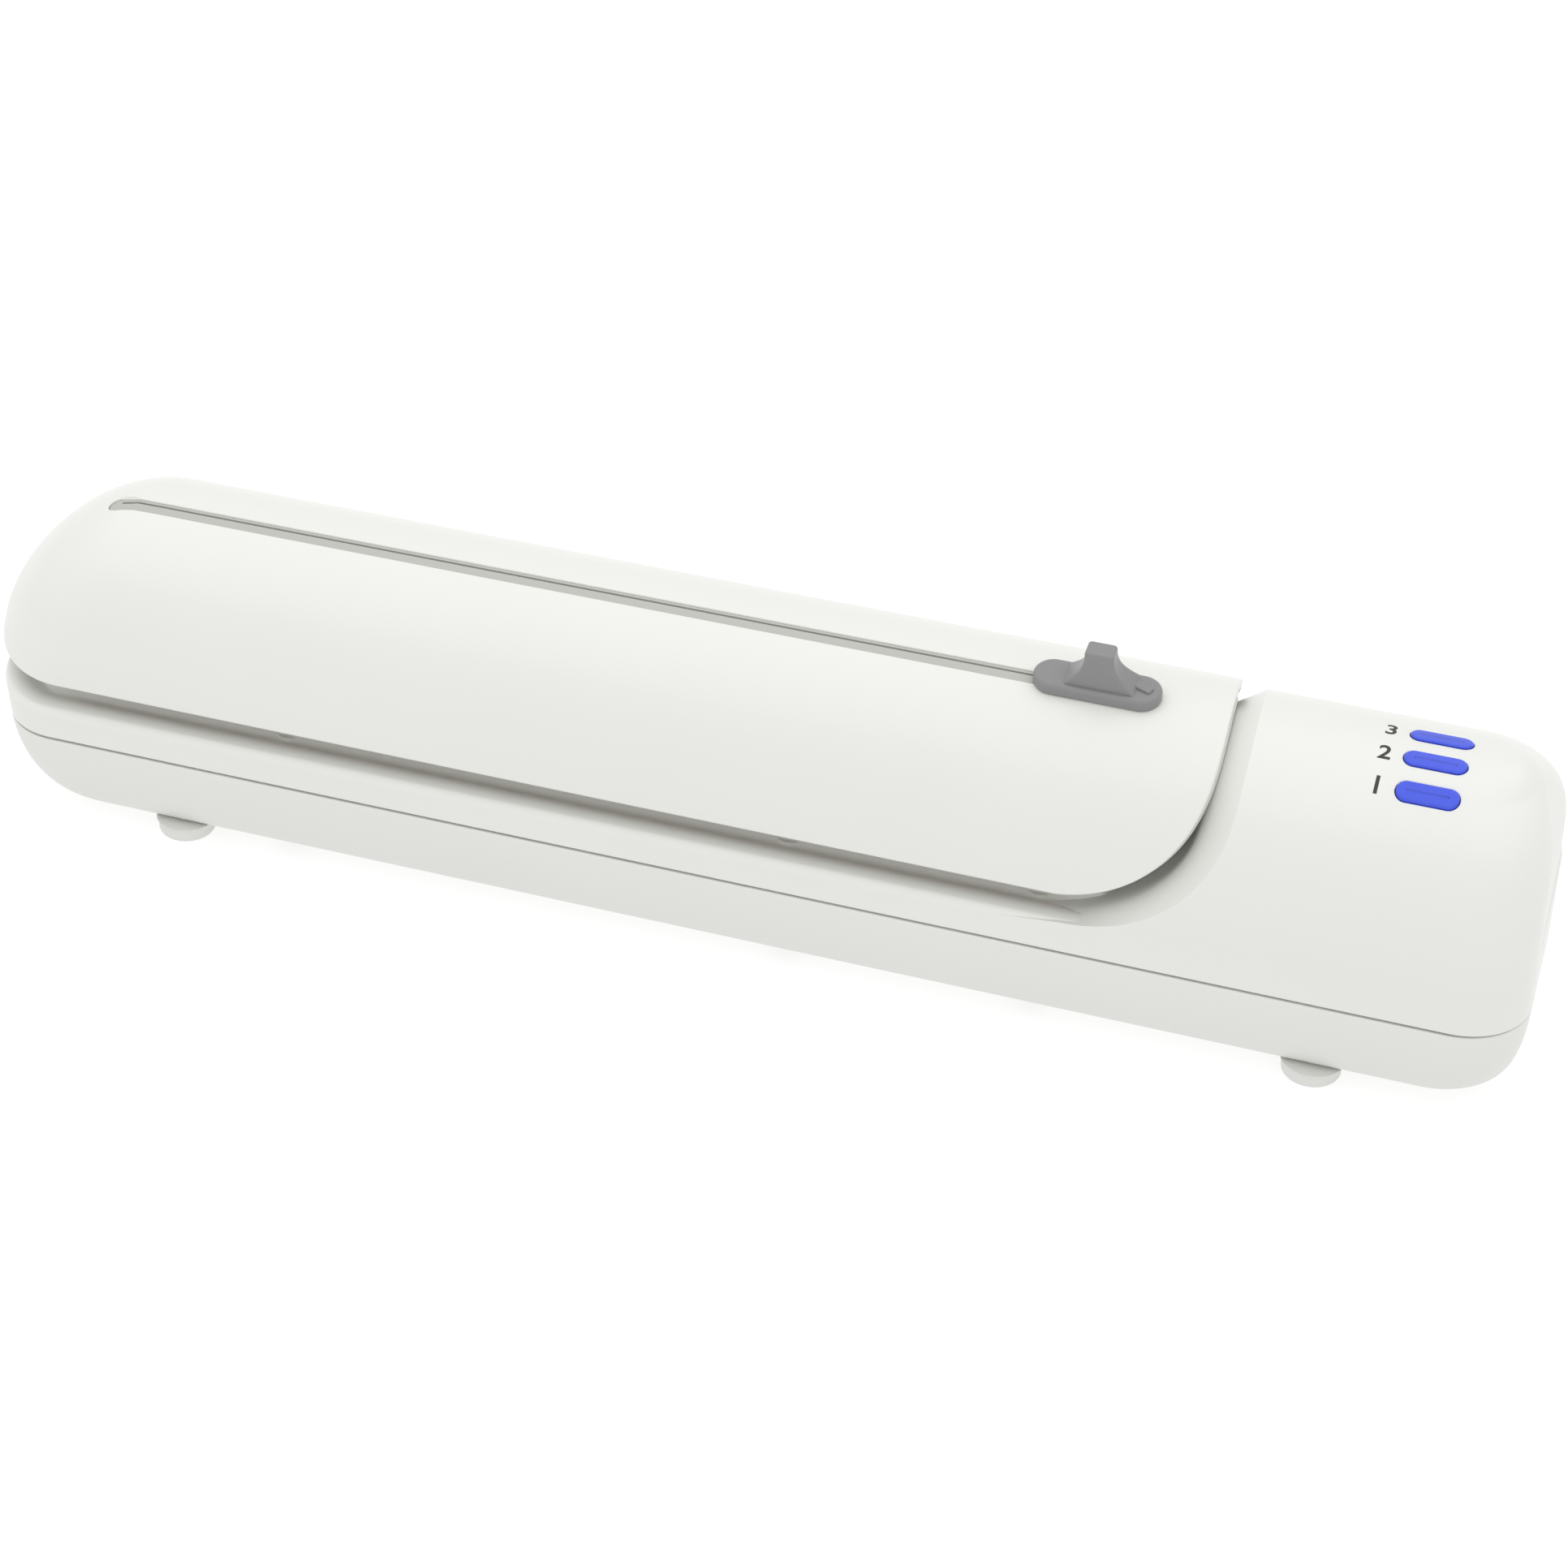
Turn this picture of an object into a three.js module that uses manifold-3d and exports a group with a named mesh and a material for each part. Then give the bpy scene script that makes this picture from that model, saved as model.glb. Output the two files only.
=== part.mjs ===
// Countertop vacuum sealer: a slim case with a hinged visor lid, a sliding bag cutter and three buttons.
// Millimetres, +X to the right along the case, -Y towards the user, +Z up, feet standing on Z = 0.

import * as THREE from 'three';
import { mergeVertices } from 'three/addons/utils/BufferGeometryUtils.js';
import Module from 'manifold-3d';

const wasm = await Module();
wasm.setup();

// General fits and drawing steps
const MERGE_DISTANCE = 1e-4;
const OVERSHOOT = 1;
const FAR = 400;
const GAP = 0.3;
const RUNNING_CLEARANCE = 0.1;
const CORNER_STEPS = 6;
const INNER_CORNER_STEPS = 2;
const ARC_STEPS = 4;
const ROUND_STEPS = 16;
const SMALL_STEPS = 8;
const PIN_STEPS = 24;
const COARSE_STEPS = 3;
const CASE_INNER_COARSENESS = 2;
const LID_INNER_COARSENESS = 1.6;

// Case outline
const LENGTH = 370;
const DEPTH = 64;
const HALF_LENGTH = LENGTH / 2;
const HALF_DEPTH = DEPTH / 2;
const LID_END_OVERHANG = 5;
const WALL = 2.2;
const FOOT_HEIGHT = 4.4;
const TRAY_TOP = 24;
const PARTING_GAP = 0.6;
const CASE_CORNER_RADIUS = 17;
const HOUSING_CORNER_RADIUS = 16;
const HOUSING_LENGTH = 69;

// Cross-section of the upper form, front to back
const CASE_APEX = 75.6;
const LID_APEX = 77;
const APEX_Y = 1;
const STEEP_ANGLE = 87;
const SHOULDER_ANGLE = 57;
const CROWN_RADIUS = 28;
const CAP_RADIUS = 38;
const CAP_ANGLE = 30;
const CROWN_FLAT_ANGLE = 2.5;
const CROWN_STEPS = 8;
const BROW_STEPS = 6;

// Right end of the control housing and left end of the lid
const HOUSING_END_START = 54;
const HOUSING_END_REACH = 12;
const HOUSING_END_POWER = 2;
const HOUSING_DRAFT = 2;
const DRAFT_HEIGHT = 50;
const LID_END_START = 46.9;
const LID_END_REACH = 33.5;
const LID_END_POWER = 1.46;
const LID_CORNER_RADIUS = 22.9;
const LID_CORNER_GROWTH = 24.7;
const LID_LOW = 36;

// Base tray
const TRAY_TUCK = 7;
const TRAY_TUCK_LEFT = 8;
const TRAY_TUCK_RIGHT = 5;
const TRAY_CORNER_GROWTH = 4;
const TRAY_LEVELS = 6;
const TRAY_FLOOR = 2.2;
const TONGUE_HEIGHT = 2.4;
const TONGUE_INSET = 2.6;
const TONGUE_THICKNESS = 1.1;
const TONGUE_ROOT = 6;

// Deck under the lid: a plane rising to the back, with a soft crest and a shallow trough round its rim
const CREST_HEIGHT = 31.7;
const CREST_END_FLARE = 1.4;
const DECK_ANGLE = 16;
const CREST_FILLET = 2.8;
const TROUGH_DEPTH = 1.5;
const TROUGH_WIDTH = 7.8;
const TROUGH_POWER = 1.5;
const TROUGH_STEPS = 5;
const FILLET_STEPS = 3;
const DECK_THICKNESS = 3.9;

// Scooped channel between the lid and the housing
const CHANNEL_X = HALF_LENGTH - HOUSING_LENGTH;
const CHANNEL_CORNER_RADIUS = 34;
const CHANNEL_LOW = 32;
const RAMP_RUN = 12;
const RAMP_LOW = 3;
const SCOOP_DEPTHS = [0, 1, 2, 3, 4, 5, 6, 8, 12];
const SCOOP_REACHES = [0, 1.1, 2.35, 3.8, 5.5, 7.3, 8.3, 9.1, 9.6];
const CHANNEL_FINE_RISES = [0, 0.4, 1.1, 2.1];

// Lid shell and its liner
const LID_WALL = 2;
const RIM_FRONT = 39;
const RIM_BACK = 52.5;
const LID_END_GAP = 6;
const LID_FINE_RISES = [0.4, 1.1, 2.2, 3.6];
const SHELL_END_X = CHANNEL_X - LID_END_GAP;
const SHELL_CORNER_RADIUS = 35.5;
const SHELL_CORNER_LOW = 38.2;
const SHELL_EDGE_DEPTHS = [0, 0.35, 1.1, 2.2, 4];
const SHELL_EDGE_REACHES = [1.1, 0.4, 0, 0, 0];
const LINER_END_X = SHELL_END_X - GAP;
const LINER_CORNER_RADIUS = 32;
const LINER_CORNER_LOW = 37.8;
const LINER_EDGE_DEPTHS = [0, 2.4, 4.4, 6, 8, 14];
const LINER_EDGE_REACHES = [0, 0, 0.4, 4.6, 5.2, 5.8];
const LID_LIFT = 7.2;
const LINER_THICKNESS = 1.8;
const LINER_WALL = 1.8;
const LINER_RISE = 12;
const LINER_BACK_Y = 23;
const LINER_CREST_Y = 8;
const LINER_CREST_LOW = 62;

// Hinge
const HINGE_Y = 28;
const HINGE_Z = 56;
const HINGE_PIN_RADIUS = 2;
const KNUCKLE_RADIUS = 3.6;
const LUG_WIDTH = 8;
const EAR_WIDTH = 5;
const HINGE_LEFT_INSET = 45;
const HINGE_RIGHT_INSET = 38;
const HINGE_LEFT_X = -HALF_LENGTH + HINGE_LEFT_INSET;
const HINGE_RIGHT_X = CHANNEL_X - HINGE_RIGHT_INSET;
const EAR_TOP = 70;
const EAR_FRONT_Y = 23.6;
const PIN_PRESS_GAP = 0.05;

// Vacuum chamber and seals, measured along the deck from the front face
const SEAL_LEFT_INSET = 15;
const SEAL_RIGHT_INSET = 28;
const SEAL_BACK_INSET = 10.6;
const SEAL_SPAN = 21;
const SEAL_CORNER_RADIUS = 8;
const SEAL_WIDTH = 4;
const SEAL_SEAT = 1.5;
const SEAL_HEIGHT = 3.3;
const CHAMBER_INSET = 1.5;
const CHAMBER_DEPTH = 8;
const CHAMBER_WALL = 2;

// Heater bar on the deck and press strip on the liner
const HEATER_LEFT_INSET = 19;
const HEATER_RIGHT_INSET = 35;
const HEATER_V = 14.5;
const HEATER_WIDTH = 6;
const HEATER_SEAT = 1.8;
const HEATER_HEIGHT = 2.8;
const TAPE_WIDTH = 7.4;
const TAPE_THICKNESS = 0.4;
const TAPE_SKIRT = 1.2;
const PRESS_WIDTH = 8;
const PRESS_KEY_WIDTH = 4;
const PRESS_KEY_DEPTH = 1;

// Cutter slot, rail and slider
const SLOT_LEFT_INSET = 22.5;
const SLOT_RIGHT_INSET = 26;
const SLOT_LEFT = -HALF_LENGTH + SLOT_LEFT_INSET;
const SLOT_RIGHT = CHANNEL_X - SLOT_RIGHT_INSET;
const SLOT_FRONT_Y = -6;
const SLOT_BACK_Y = -1.8;
const RAIL_RECESS = 1;
const RAIL_WIDTH = 12;
const RAIL_THICKNESS = 1.6;
const RAIL_MARGIN = 3;
const SLIT_Y = -2.9;
const SLIT_WIDTH = 0.9;
const SLIT_END_MARGIN = 3;
const SLIDER_INSET = 36.6;
const SLIDER_X = CHANNEL_X - SLIDER_INSET;
const PLATE_LENGTH = 29.2;
const SLIDER_TRAVEL = SLIDER_X - PLATE_LENGTH / 2 - GAP - SLOT_LEFT;
const PLATE_WIDTH = 9.4;
const PLATE_Y = -3.9;
const PLATE_THICKNESS = 2.8;
const PLATE_TILT = 11;
const PLATE_FLOAT = 0.35;
const FIN_X = 0.2;
const FIN_BASE = 15.4;
const FIN_TOP = 6;
const FIN_HEIGHT = 9.6;
const FIN_FRONT = 2.8;
const FIN_BACK = 1.7;
const FIN_BACK_FLARE = 2.4;
const FIN_LEAN_X = 1.1;
const FIN_LEAN_V = 0.4;
const FIN_ROUND = 0.7;
const FIN_FLARE_POWER = 1.6;
const FIN_STEPS = 6;
const FIN_CORNER_STEPS = 2;
const TAB_X = 10.3;
const TAB_LENGTH = 4.4;
const TAB_WIDTH = 2.2;
const TAB_HEIGHT = 0.6;
const TAB_TURN = -20;
const NECK_LENGTH = 10;
const NECK_THICKNESS = 0.5;
const NECK_RISE = 3;
const SHOE_LENGTH = 14;
const SHOE_WIDTH = 8;
const SHOE_HEIGHT = 4;
const SHOE_CLEARANCE = 1.6;
const STEM_LENGTH = 9;
const STEM_WIDTH = 3.2;
const STEM_LOW = 52;
const BLADE_LENGTH = 8;
const BLADE_THICKNESS = 0.5;
const BLADE_LOW = 39.4;
const BLADE_GRIP = 5;
const BLADE_SLIT_WIDTH = 1.8;
const CUT_GROOVE_WIDTH = 3;
const CUT_GROOVE_DEPTH = 1.6;

// Buttons on the housing
const BUTTON_END_INSET = 30;
const BUTTON_X = HALF_LENGTH - BUTTON_END_INSET;
const BUTTON_Y = -4.7;
const BUTTON_TILT = 12;
const BUTTON_PITCH = 9;
const BUTTON_LENGTH = 13.9;
const BUTTON_HEIGHT = 5.2;
const BUTTON_PROUD = 0.5;
const BUTTON_CLEARANCE = 0.2;
const BUTTON_FLANGE_DEPTH = 6.2;
const BUTTON_FLANGE = 1;
const BUTTON_FLANGE_MARGIN = 1;
const BUTTON_TRAVEL = 0.9;
const STEM_RADIUS = 1.6;
const SWITCH_GAP = 0.2;

// Control board under the buttons
const BOARD_DEPTH = 14;
const BOARD_THICKNESS = 1.6;
const BOARD_LENGTH = 38;
const BOARD_WIDTH = 28;
const BOARD_CORNER = 2;
const SWITCH_SIZE = 6;
const SWITCH_HEIGHT = 3.4;
const SWITCH_CAP_RADIUS = 1.7;
const SWITCH_CAP_HEIGHT = 1.2;
const LED_OFFSET = 5.6;
const LED_LENGTH = 2;
const LED_WIDTH = 1.2;
const LED_HEIGHT = 0.8;
const BOARD_POST_X = 15.5;
const BOARD_POST_V = 10.5;
const BOARD_POST_RADIUS = 2.4;
const SMALL_SCREW_RADIUS = 1;
const SMALL_SCREW_HEAD = 1.9;
const SMALL_SCREW_HEAD_HEIGHT = 1.2;
const SMALL_SCREW_LENGTH = 6;

// Feet
const FOOT_LEFT_INSET = 47.7;
const FOOT_RIGHT_INSET = 45;
const FOOT_LEFT_X = -HALF_LENGTH + FOOT_LEFT_INSET;
const FOOT_RIGHT_X = HALF_LENGTH - FOOT_RIGHT_INSET;
const FOOT_Y = 23.2;
const FOOT_RADIUS = 6.8;
const FOOT_ROUND = 1.5;
const FOOT_EDGE_SHARE = 0.3;
const FOOT_FLARE = 0.5;
const FOOT_PLUG_RADIUS = 2.4;
const FOOT_PLUG_RISE = 3.4;

// Case screws and their posts
const SCREW_LEFT_INSET = 75;
const SCREW_NIPPLE_GAP = 19;
const SCREW_SEAL_INSET = 14;
const SCREW_Y = 20;
const SCREW_RADIUS = 1.5;
const SCREW_HEAD_RADIUS = 2.8;
const SCREW_HEAD_HEIGHT = 2.2;
const SCREW_SEAT = 10;
const SCREW_LENGTH = 16;
const TRAY_POST_RADIUS = 4.6;
const TRAY_POST_TOP = 12.5;
const CASE_POST_RADIUS = 3.4;
const POST_SINK_SHARE = 0.7;
const COUNTERBORE_RADIUS = 3.2;

// Pump, tube and nipple
const PUMP_Y = 3;
const PUMP_Z = 20;
const MOTOR_RADIUS = 11;
const MOTOR_LENGTH = 32;
const MOTOR_BOSS_RADIUS = 4;
const MOTOR_BOSS_LENGTH = 2.5;
const PUMP_HEAD_LENGTH = 22;
const PUMP_HEAD_SIZE = 21;
const PUMP_HEAD_CORNER = 3;
const CRADLE_WIDTH = 6;
const CRADLE_HALF = 13;
const CRADLE_DROP = 3.7;
const PORT_RADIUS = 2.2;
const PORT_BORE = 1.2;
const PORT_LENGTH = 6;
const TUBE_RADIUS = 3.4;
const TUBE_STEPS = 10;
const TUBE_LENGTH_STEPS = 12;
const TUBE_RUN = 41.7;
const TUBE_GRIP_SHARE = 0.7;
const TUBE_DIVE_SHARE = 1.4;
const TUBE_BEND_SHARES = [0.33, 0.67];
const NIPPLE_HOLE_RADIUS = 2.4;
const NIPPLE_FLANGE_RADIUS = 5;
const NIPPLE_FLANGE = 1.6;
const NIPPLE_LENGTH = 8;

// Power supply
const SUPPLY_MARGIN_SHARE = 0.28;
const PUMP_MARGIN_SHARE = 0.25;
const SUPPLY_Y = 0;
const SUPPLY_BOARD_LENGTH = 62;
const SUPPLY_BOARD_WIDTH = 29;
const SUPPLY_BOARD_LOW = 11;
const SUPPLY_POST_RADIUS = 2.6;
const SUPPLY_POST_X = 26;
const SUPPLY_POST_Y = 10.5;
const CORE_LENGTH = 24;
const CORE_WIDTH = 22;
const CORE_HEIGHT = 15;
const CORE_X = 10;
const BOBBIN_LENGTH = 18;
const BOBBIN_MARGIN = 3;
const CAPACITOR_RADIUS = 6;
const CAPACITOR_HEIGHT = 15;
const CAPACITOR_X = -18;

// Mains inlet in the back of the housing
const INLET_END_INSET = 35;
const INLET_X = HALF_LENGTH - INLET_END_INSET;
const INLET_WIDTH = 22;
const INLET_HEIGHT = 13;
const INLET_CORNER = 3.2;
const INLET_DEPTH = 18;
const INLET_SOCKET_WIDTH = 15.5;
const INLET_SOCKET_HEIGHT = 7.5;
const INLET_SOCKET_DEPTH = 11;
const INLET_PIN_RADIUS = 1.2;
const INLET_PIN_SPACING = 8.6;
const INLET_PIN_TAIL = 5;
const INLET_PIN_RECESS = 4.2;
const INLET_FLANGE = 1.6;
const INLET_FLANGE_MARGIN = 1.6;

// Sizes and places that follow from the ones above
const radians = THREE.MathUtils.degToRad;
const DECK_SLOPE = Math.tan(radians(DECK_ANGLE));
const DECK_RUN = DEPTH / Math.cos(radians(DECK_ANGLE));
const CASE_LOW = TRAY_TOP + PARTING_GAP / 2;
const CAP_SINE = Math.sin(radians(CAP_ANGLE));
const HEEL_RADIUS = (HALF_DEPTH - APEX_Y - CAP_RADIUS * CAP_SINE) / (1 - CAP_SINE);
const SEAL_LEFT = -HALF_LENGTH + SEAL_LEFT_INSET;
const SEAL_RIGHT = CHANNEL_X - SEAL_RIGHT_INSET;
const SEAL_BACK = DECK_RUN - SEAL_BACK_INSET;
const SEAL_FRONT = SEAL_BACK - SEAL_SPAN;
const HEATER_LEFT = -HALF_LENGTH + HEATER_LEFT_INSET;
const HEATER_RIGHT = CHANNEL_X - HEATER_RIGHT_INSET;

// The supply, the pump and its tube share the run under the deck, with the spare length between them
const PUMP_LENGTH = MOTOR_LENGTH + GAP + PUMP_HEAD_LENGTH;
const SPARE_LENGTH = SEAL_RIGHT + HALF_LENGTH - SUPPLY_BOARD_LENGTH - PUMP_LENGTH - TUBE_RUN;
const SUPPLY_LEFT = -HALF_LENGTH + SPARE_LENGTH * SUPPLY_MARGIN_SHARE;
const SUPPLY_X = SUPPLY_LEFT + SUPPLY_BOARD_LENGTH / 2;
const MOTOR_LEFT = SUPPLY_LEFT + SUPPLY_BOARD_LENGTH + SPARE_LENGTH * PUMP_MARGIN_SHARE;
const PUMP_HEAD_LEFT = MOTOR_LEFT + MOTOR_LENGTH + GAP;
const PUMP_HEAD_RIGHT = MOTOR_LEFT + PUMP_LENGTH;
const NIPPLE_X = PUMP_HEAD_RIGHT + TUBE_RUN;
const NIPPLE_V = (SEAL_FRONT + SEAL_BACK) / 2;
const SCREW_XS = [
  -HALF_LENGTH + SCREW_LEFT_INSET,
  NIPPLE_X - SCREW_NIPPLE_GAP,
  SEAL_RIGHT - SCREW_SEAL_INSET,
];

// Small helpers

function solidFrom(points, triangles) {
  let volume = 0;
  for (const [a, b, c] of triangles) {
    const [p, q, r] = [points[a], points[b], points[c]];
    volume += p[0] * (q[1] * r[2] - q[2] * r[1]);
    volume += p[1] * (q[2] * r[0] - q[0] * r[2]);
    volume += p[2] * (q[0] * r[1] - q[1] * r[0]);
  }
  const facing = volume < 0 ? triangles.map(([a, b, c]) => [a, c, b]) : triangles;
  const mesh = new wasm.Mesh({
    numProp: 3,
    vertProperties: new Float32Array(points.flat()),
    triVerts: new Uint32Array(facing.flat()),
  });
  return new wasm.Manifold(mesh);
}

function solidOf(geometry) {
  const bare = geometry.clone();
  bare.deleteAttribute('normal');
  bare.deleteAttribute('uv');
  const merged = mergeVertices(bare, MERGE_DISTANCE);
  const mesh = new wasm.Mesh({
    numProp: 3,
    vertProperties: new Float32Array(merged.attributes.position.array),
    triVerts: new Uint32Array(merged.index.array),
  });
  return new wasm.Manifold(mesh);
}

function geometryOf(solid) {
  const mesh = solid.getMesh();
  const geometry = new THREE.BufferGeometry();
  const positions = new Float32Array(mesh.vertProperties);
  geometry.setAttribute('position', new THREE.BufferAttribute(positions, mesh.numProp));
  geometry.setIndex(new THREE.BufferAttribute(new Uint32Array(mesh.triVerts), 1));
  geometry.computeVertexNormals();
  return geometry;
}

function joined(solids) {
  return solids.reduce((sum, solid) => sum.add(solid));
}

// A closed skin over a stack of rings of equal length, with a fan cap at each end or, where the rings run
// up one side and down the other, with caps that go straight across.
function loft(rings, across = false) {
  const count = rings[0].length;
  const points = rings.flat();
  const triangles = [];
  for (let i = 0; i + 1 < rings.length; i += 1) {
    for (let j = 0; j < count; j += 1) {
      const k = (j + 1) % count;
      const low = i * count;
      const high = low + count;
      triangles.push([low + j, low + k, high + k]);
      triangles.push([low + j, high + k, high + j]);
    }
  }
  const last = (rings.length - 1) * count;
  if (across) {
    for (let j = 0; j + 1 < count / 2; j += 1) {
      const far = count - 1 - j;
      triangles.push([j, far, far - 1], [j, far - 1, j + 1]);
      triangles.push([last + j, last + far - 1, last + far], [last + j, last + j + 1, last + far - 1]);
    }
    return solidFrom(points, triangles);
  }
  const middle = (ring) => [0, 1, 2].map((axis) => ring.reduce((sum, p) => sum + p[axis], 0) / count);
  points.push(middle(rings[0]));
  const bottom = points.length - 1;
  points.push(middle(rings[rings.length - 1]));
  const top = points.length - 1;
  for (let j = 0; j < count; j += 1) {
    const k = (j + 1) % count;
    triangles.push([bottom, k, j]);
    triangles.push([top, last + j, last + k]);
  }
  return solidFrom(points, triangles);
}

function withoutRepeats(loop) {
  return loop.filter(([a, b], i) => {
    const [c, d] = loop[(i + 1) % loop.length];
    return Math.hypot(a - c, b - d) > MERGE_DISTANCE;
  });
}

// A straight prism over a flat outline with holes; place turns outline and height into a point.
function prism(outline, low, high, place, holes = []) {
  const loops = [outline, ...holes].map((loop) => withoutRepeats(loop));
  const shape = loops.map((loop) => loop.map(([a, b]) => new THREE.Vector2(a, b)));
  if (THREE.ShapeUtils.isClockWise(shape[0])) {
    shape[0].reverse();
  }
  for (const hole of shape.slice(1)) {
    if (!THREE.ShapeUtils.isClockWise(hole)) {
      hole.reverse();
    }
  }
  const faces = THREE.ShapeUtils.triangulateShape(shape[0], shape.slice(1));
  const flat = shape.flat();
  const total = flat.length;
  const points = [];
  for (const height of [low, high]) {
    for (const p of flat) {
      points.push(place(p.x, p.y, height));
    }
  }
  const triangles = [];
  for (const [a, b, c] of faces) {
    triangles.push([a, c, b]);
    triangles.push([a + total, b + total, c + total]);
  }
  let start = 0;
  for (const loop of shape) {
    for (let j = 0; j < loop.length; j += 1) {
      const a = start + j;
      const b = start + ((j + 1) % loop.length);
      triangles.push([a, b, b + total]);
      triangles.push([a, b + total, a + total]);
    }
    start += loop.length;
  }
  return solidFrom(points, triangles);
}

function arc(cx, cy, radius, from, to, steps) {
  const points = [];
  for (let i = 0; i <= steps; i += 1) {
    const angle = radians(from + ((to - from) * i) / steps);
    points.push([cx + radius * Math.cos(angle), cy + radius * Math.sin(angle)]);
  }
  return points;
}

function circle(cx, cy, radius, steps = ROUND_STEPS) {
  return arc(cx, cy, radius, 0, 360, steps).slice(0, -1);
}

function roundedBox(x0, x1, y0, y1, radius, steps = ARC_STEPS) {
  return [
    ...arc(x1 - radius, y1 - radius, radius, 0, 90, steps),
    ...arc(x0 + radius, y1 - radius, radius, 90, 180, steps),
    ...arc(x0 + radius, y0 + radius, radius, 180, 270, steps),
    ...arc(x1 - radius, y0 + radius, radius, 270, 360, steps),
  ];
}

function box(x0, x1, y0, y1) {
  return [[x0, y0], [x1, y0], [x1, y1], [x0, y1]];
}

// Frames: each turns local coordinates into case coordinates
const upright = (x, y, z) => [x, y, z];
const acrossX = (y, z, x) => [x, y, z];
const alongY = (x, z, y) => [x, y, z];

function onDeck(x, v, w) {
  const angle = radians(DECK_ANGLE);
  const y = -HALF_DEPTH + v * Math.cos(angle) - w * Math.sin(angle);
  const z = CREST_HEIGHT + v * Math.sin(angle) + w * Math.cos(angle);
  return [x, y, z];
}

// Height of a plane parallel to the deck, a given distance above it, at a given depth
function deckLevel(w, y) {
  return CREST_HEIGHT + w / Math.cos(radians(DECK_ANGLE)) + DECK_SLOPE * (y + HALF_DEPTH);
}

// Cross-section arcs of a form with its crown at the given height
function makeForm(apex) {
  const steep = radians(STEEP_ANGLE);
  const shoulder = radians(SHOULDER_ANGLE);
  const cap = radians(CAP_ANGLE);
  const joinY = APEX_Y - CROWN_RADIUS * Math.sin(shoulder);
  const joinZ = apex - CROWN_RADIUS * (1 - Math.cos(shoulder));
  const run = joinY + HALF_DEPTH;
  const rise = joinZ - TRAY_TOP;
  const turn = Math.sin(steep) - Math.sin(shoulder);
  const climb = Math.cos(shoulder) - Math.cos(steep);
  const browRadius = (run - rise / Math.tan(steep)) / (turn - climb / Math.tan(steep));
  const capY = APEX_Y + CAP_RADIUS * Math.sin(cap);
  const capZ = apex - CAP_RADIUS * (1 - Math.cos(cap));
  return {
    apex,
    crown: { y: APEX_Y, z: apex - CROWN_RADIUS, radius: CROWN_RADIUS },
    brow: {
      y: joinY + browRadius * Math.sin(shoulder),
      z: joinZ - browRadius * Math.cos(shoulder),
      radius: browRadius,
    },
    cap: { y: APEX_Y, z: apex - CAP_RADIUS, radius: CAP_RADIUS },
    heel: {
      y: capY - HEEL_RADIUS * Math.sin(cap),
      z: capZ - HEEL_RADIUS * Math.cos(cap),
      radius: HEEL_RADIUS,
    },
  };
}

const CASE_FORM = makeForm(CASE_APEX);
const LID_FORM = makeForm(LID_APEX);

// The inlet sits in the middle of the flat back, between the tray's tongue and the start of the heel arc
const INLET_Z = (TRAY_TOP + TONGUE_HEIGHT + CASE_FORM.heel.z) / 2;

// The point of a form at a height on its front or back, moved inwards, with the direction into the solid
function surfacePoint(form, z, side, inset) {
  const onArc = (centre) => {
    const radius = centre.radius - inset;
    const height = Math.min(z - centre.z, radius);
    const reach = Math.sqrt(Math.max(radius * radius - height * height, 0));
    return { y: centre.y + side * reach, z, inY: (-side * reach) / radius, inZ: -height / radius };
  };
  if (side < 0) {
    const { crown, brow } = form;
    if (z >= crown.z + (crown.radius - inset) * Math.cos(radians(SHOULDER_ANGLE))) {
      return onArc(crown);
    }
    const foot = brow.z + (brow.radius - inset) * Math.cos(radians(STEEP_ANGLE));
    if (z >= foot) {
      return onArc(brow);
    }
    const steep = radians(STEEP_ANGLE);
    const start = brow.y - (brow.radius - inset) * Math.sin(steep);
    return { y: start - (foot - z) / Math.tan(steep), z, inY: Math.sin(steep), inZ: -Math.cos(steep) };
  }
  const { cap, heel } = form;
  if (z >= cap.z + (cap.radius - inset) * Math.cos(radians(CAP_ANGLE))) {
    return onArc(cap);
  }
  if (z >= heel.z) {
    return onArc(heel);
  }
  return { y: heel.y + heel.radius - inset, z, inY: -1, inZ: 0 };
}

// Heights that step evenly round the crown and the brow, from the given low level up
function formHeights(form, low, inset, coarse = 1) {
  const heights = [];
  const { crown, brow } = form;
  const crownSteps = Math.round(CROWN_STEPS / coarse);
  const browSteps = Math.round(BROW_STEPS / coarse);
  for (let i = 0; i <= crownSteps; i += 1) {
    const angle = CROWN_FLAT_ANGLE + ((SHOULDER_ANGLE - CROWN_FLAT_ANGLE) * i) / crownSteps;
    heights.push(crown.z + (crown.radius - inset) * Math.cos(radians(angle)));
  }
  for (let i = 1; i <= browSteps; i += 1) {
    const angle = SHOULDER_ANGLE + ((STEEP_ANGLE - SHOULDER_ANGLE) * i) / browSteps;
    heights.push(brow.z + (brow.radius - inset) * Math.cos(radians(angle)));
  }
  const kept = heights.filter((height) => height > low + OVERSHOOT);
  return [low, ...kept.reverse()];
}

function ringAt(x0, x1, y0, y1, leftRadius, rightRadius, z, steps) {
  const half = Math.min((y1 - y0) / 2, (x1 - x0) / 2);
  const left = Math.min(leftRadius, half);
  const right = Math.min(rightRadius, half);
  const flat = [
    ...arc(x1 - right, y1 - right, right, 0, 90, steps),
    ...arc(x0 + left, y1 - left, left, 90, 180, steps),
    ...arc(x0 + left, y0 + left, left, 180, 270, steps),
    ...arc(x1 - right, y0 + right, right, 270, 360, steps),
  ];
  return flat.map(([x, y]) => [x, y, z]);
}

function roundedEnd(z, start, top, reach, power) {
  if (z <= start) {
    return 0;
  }
  const share = Math.min((z - start) / (top - start), 1);
  return reach * (1 - (1 - share ** power) ** (1 / power));
}

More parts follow.
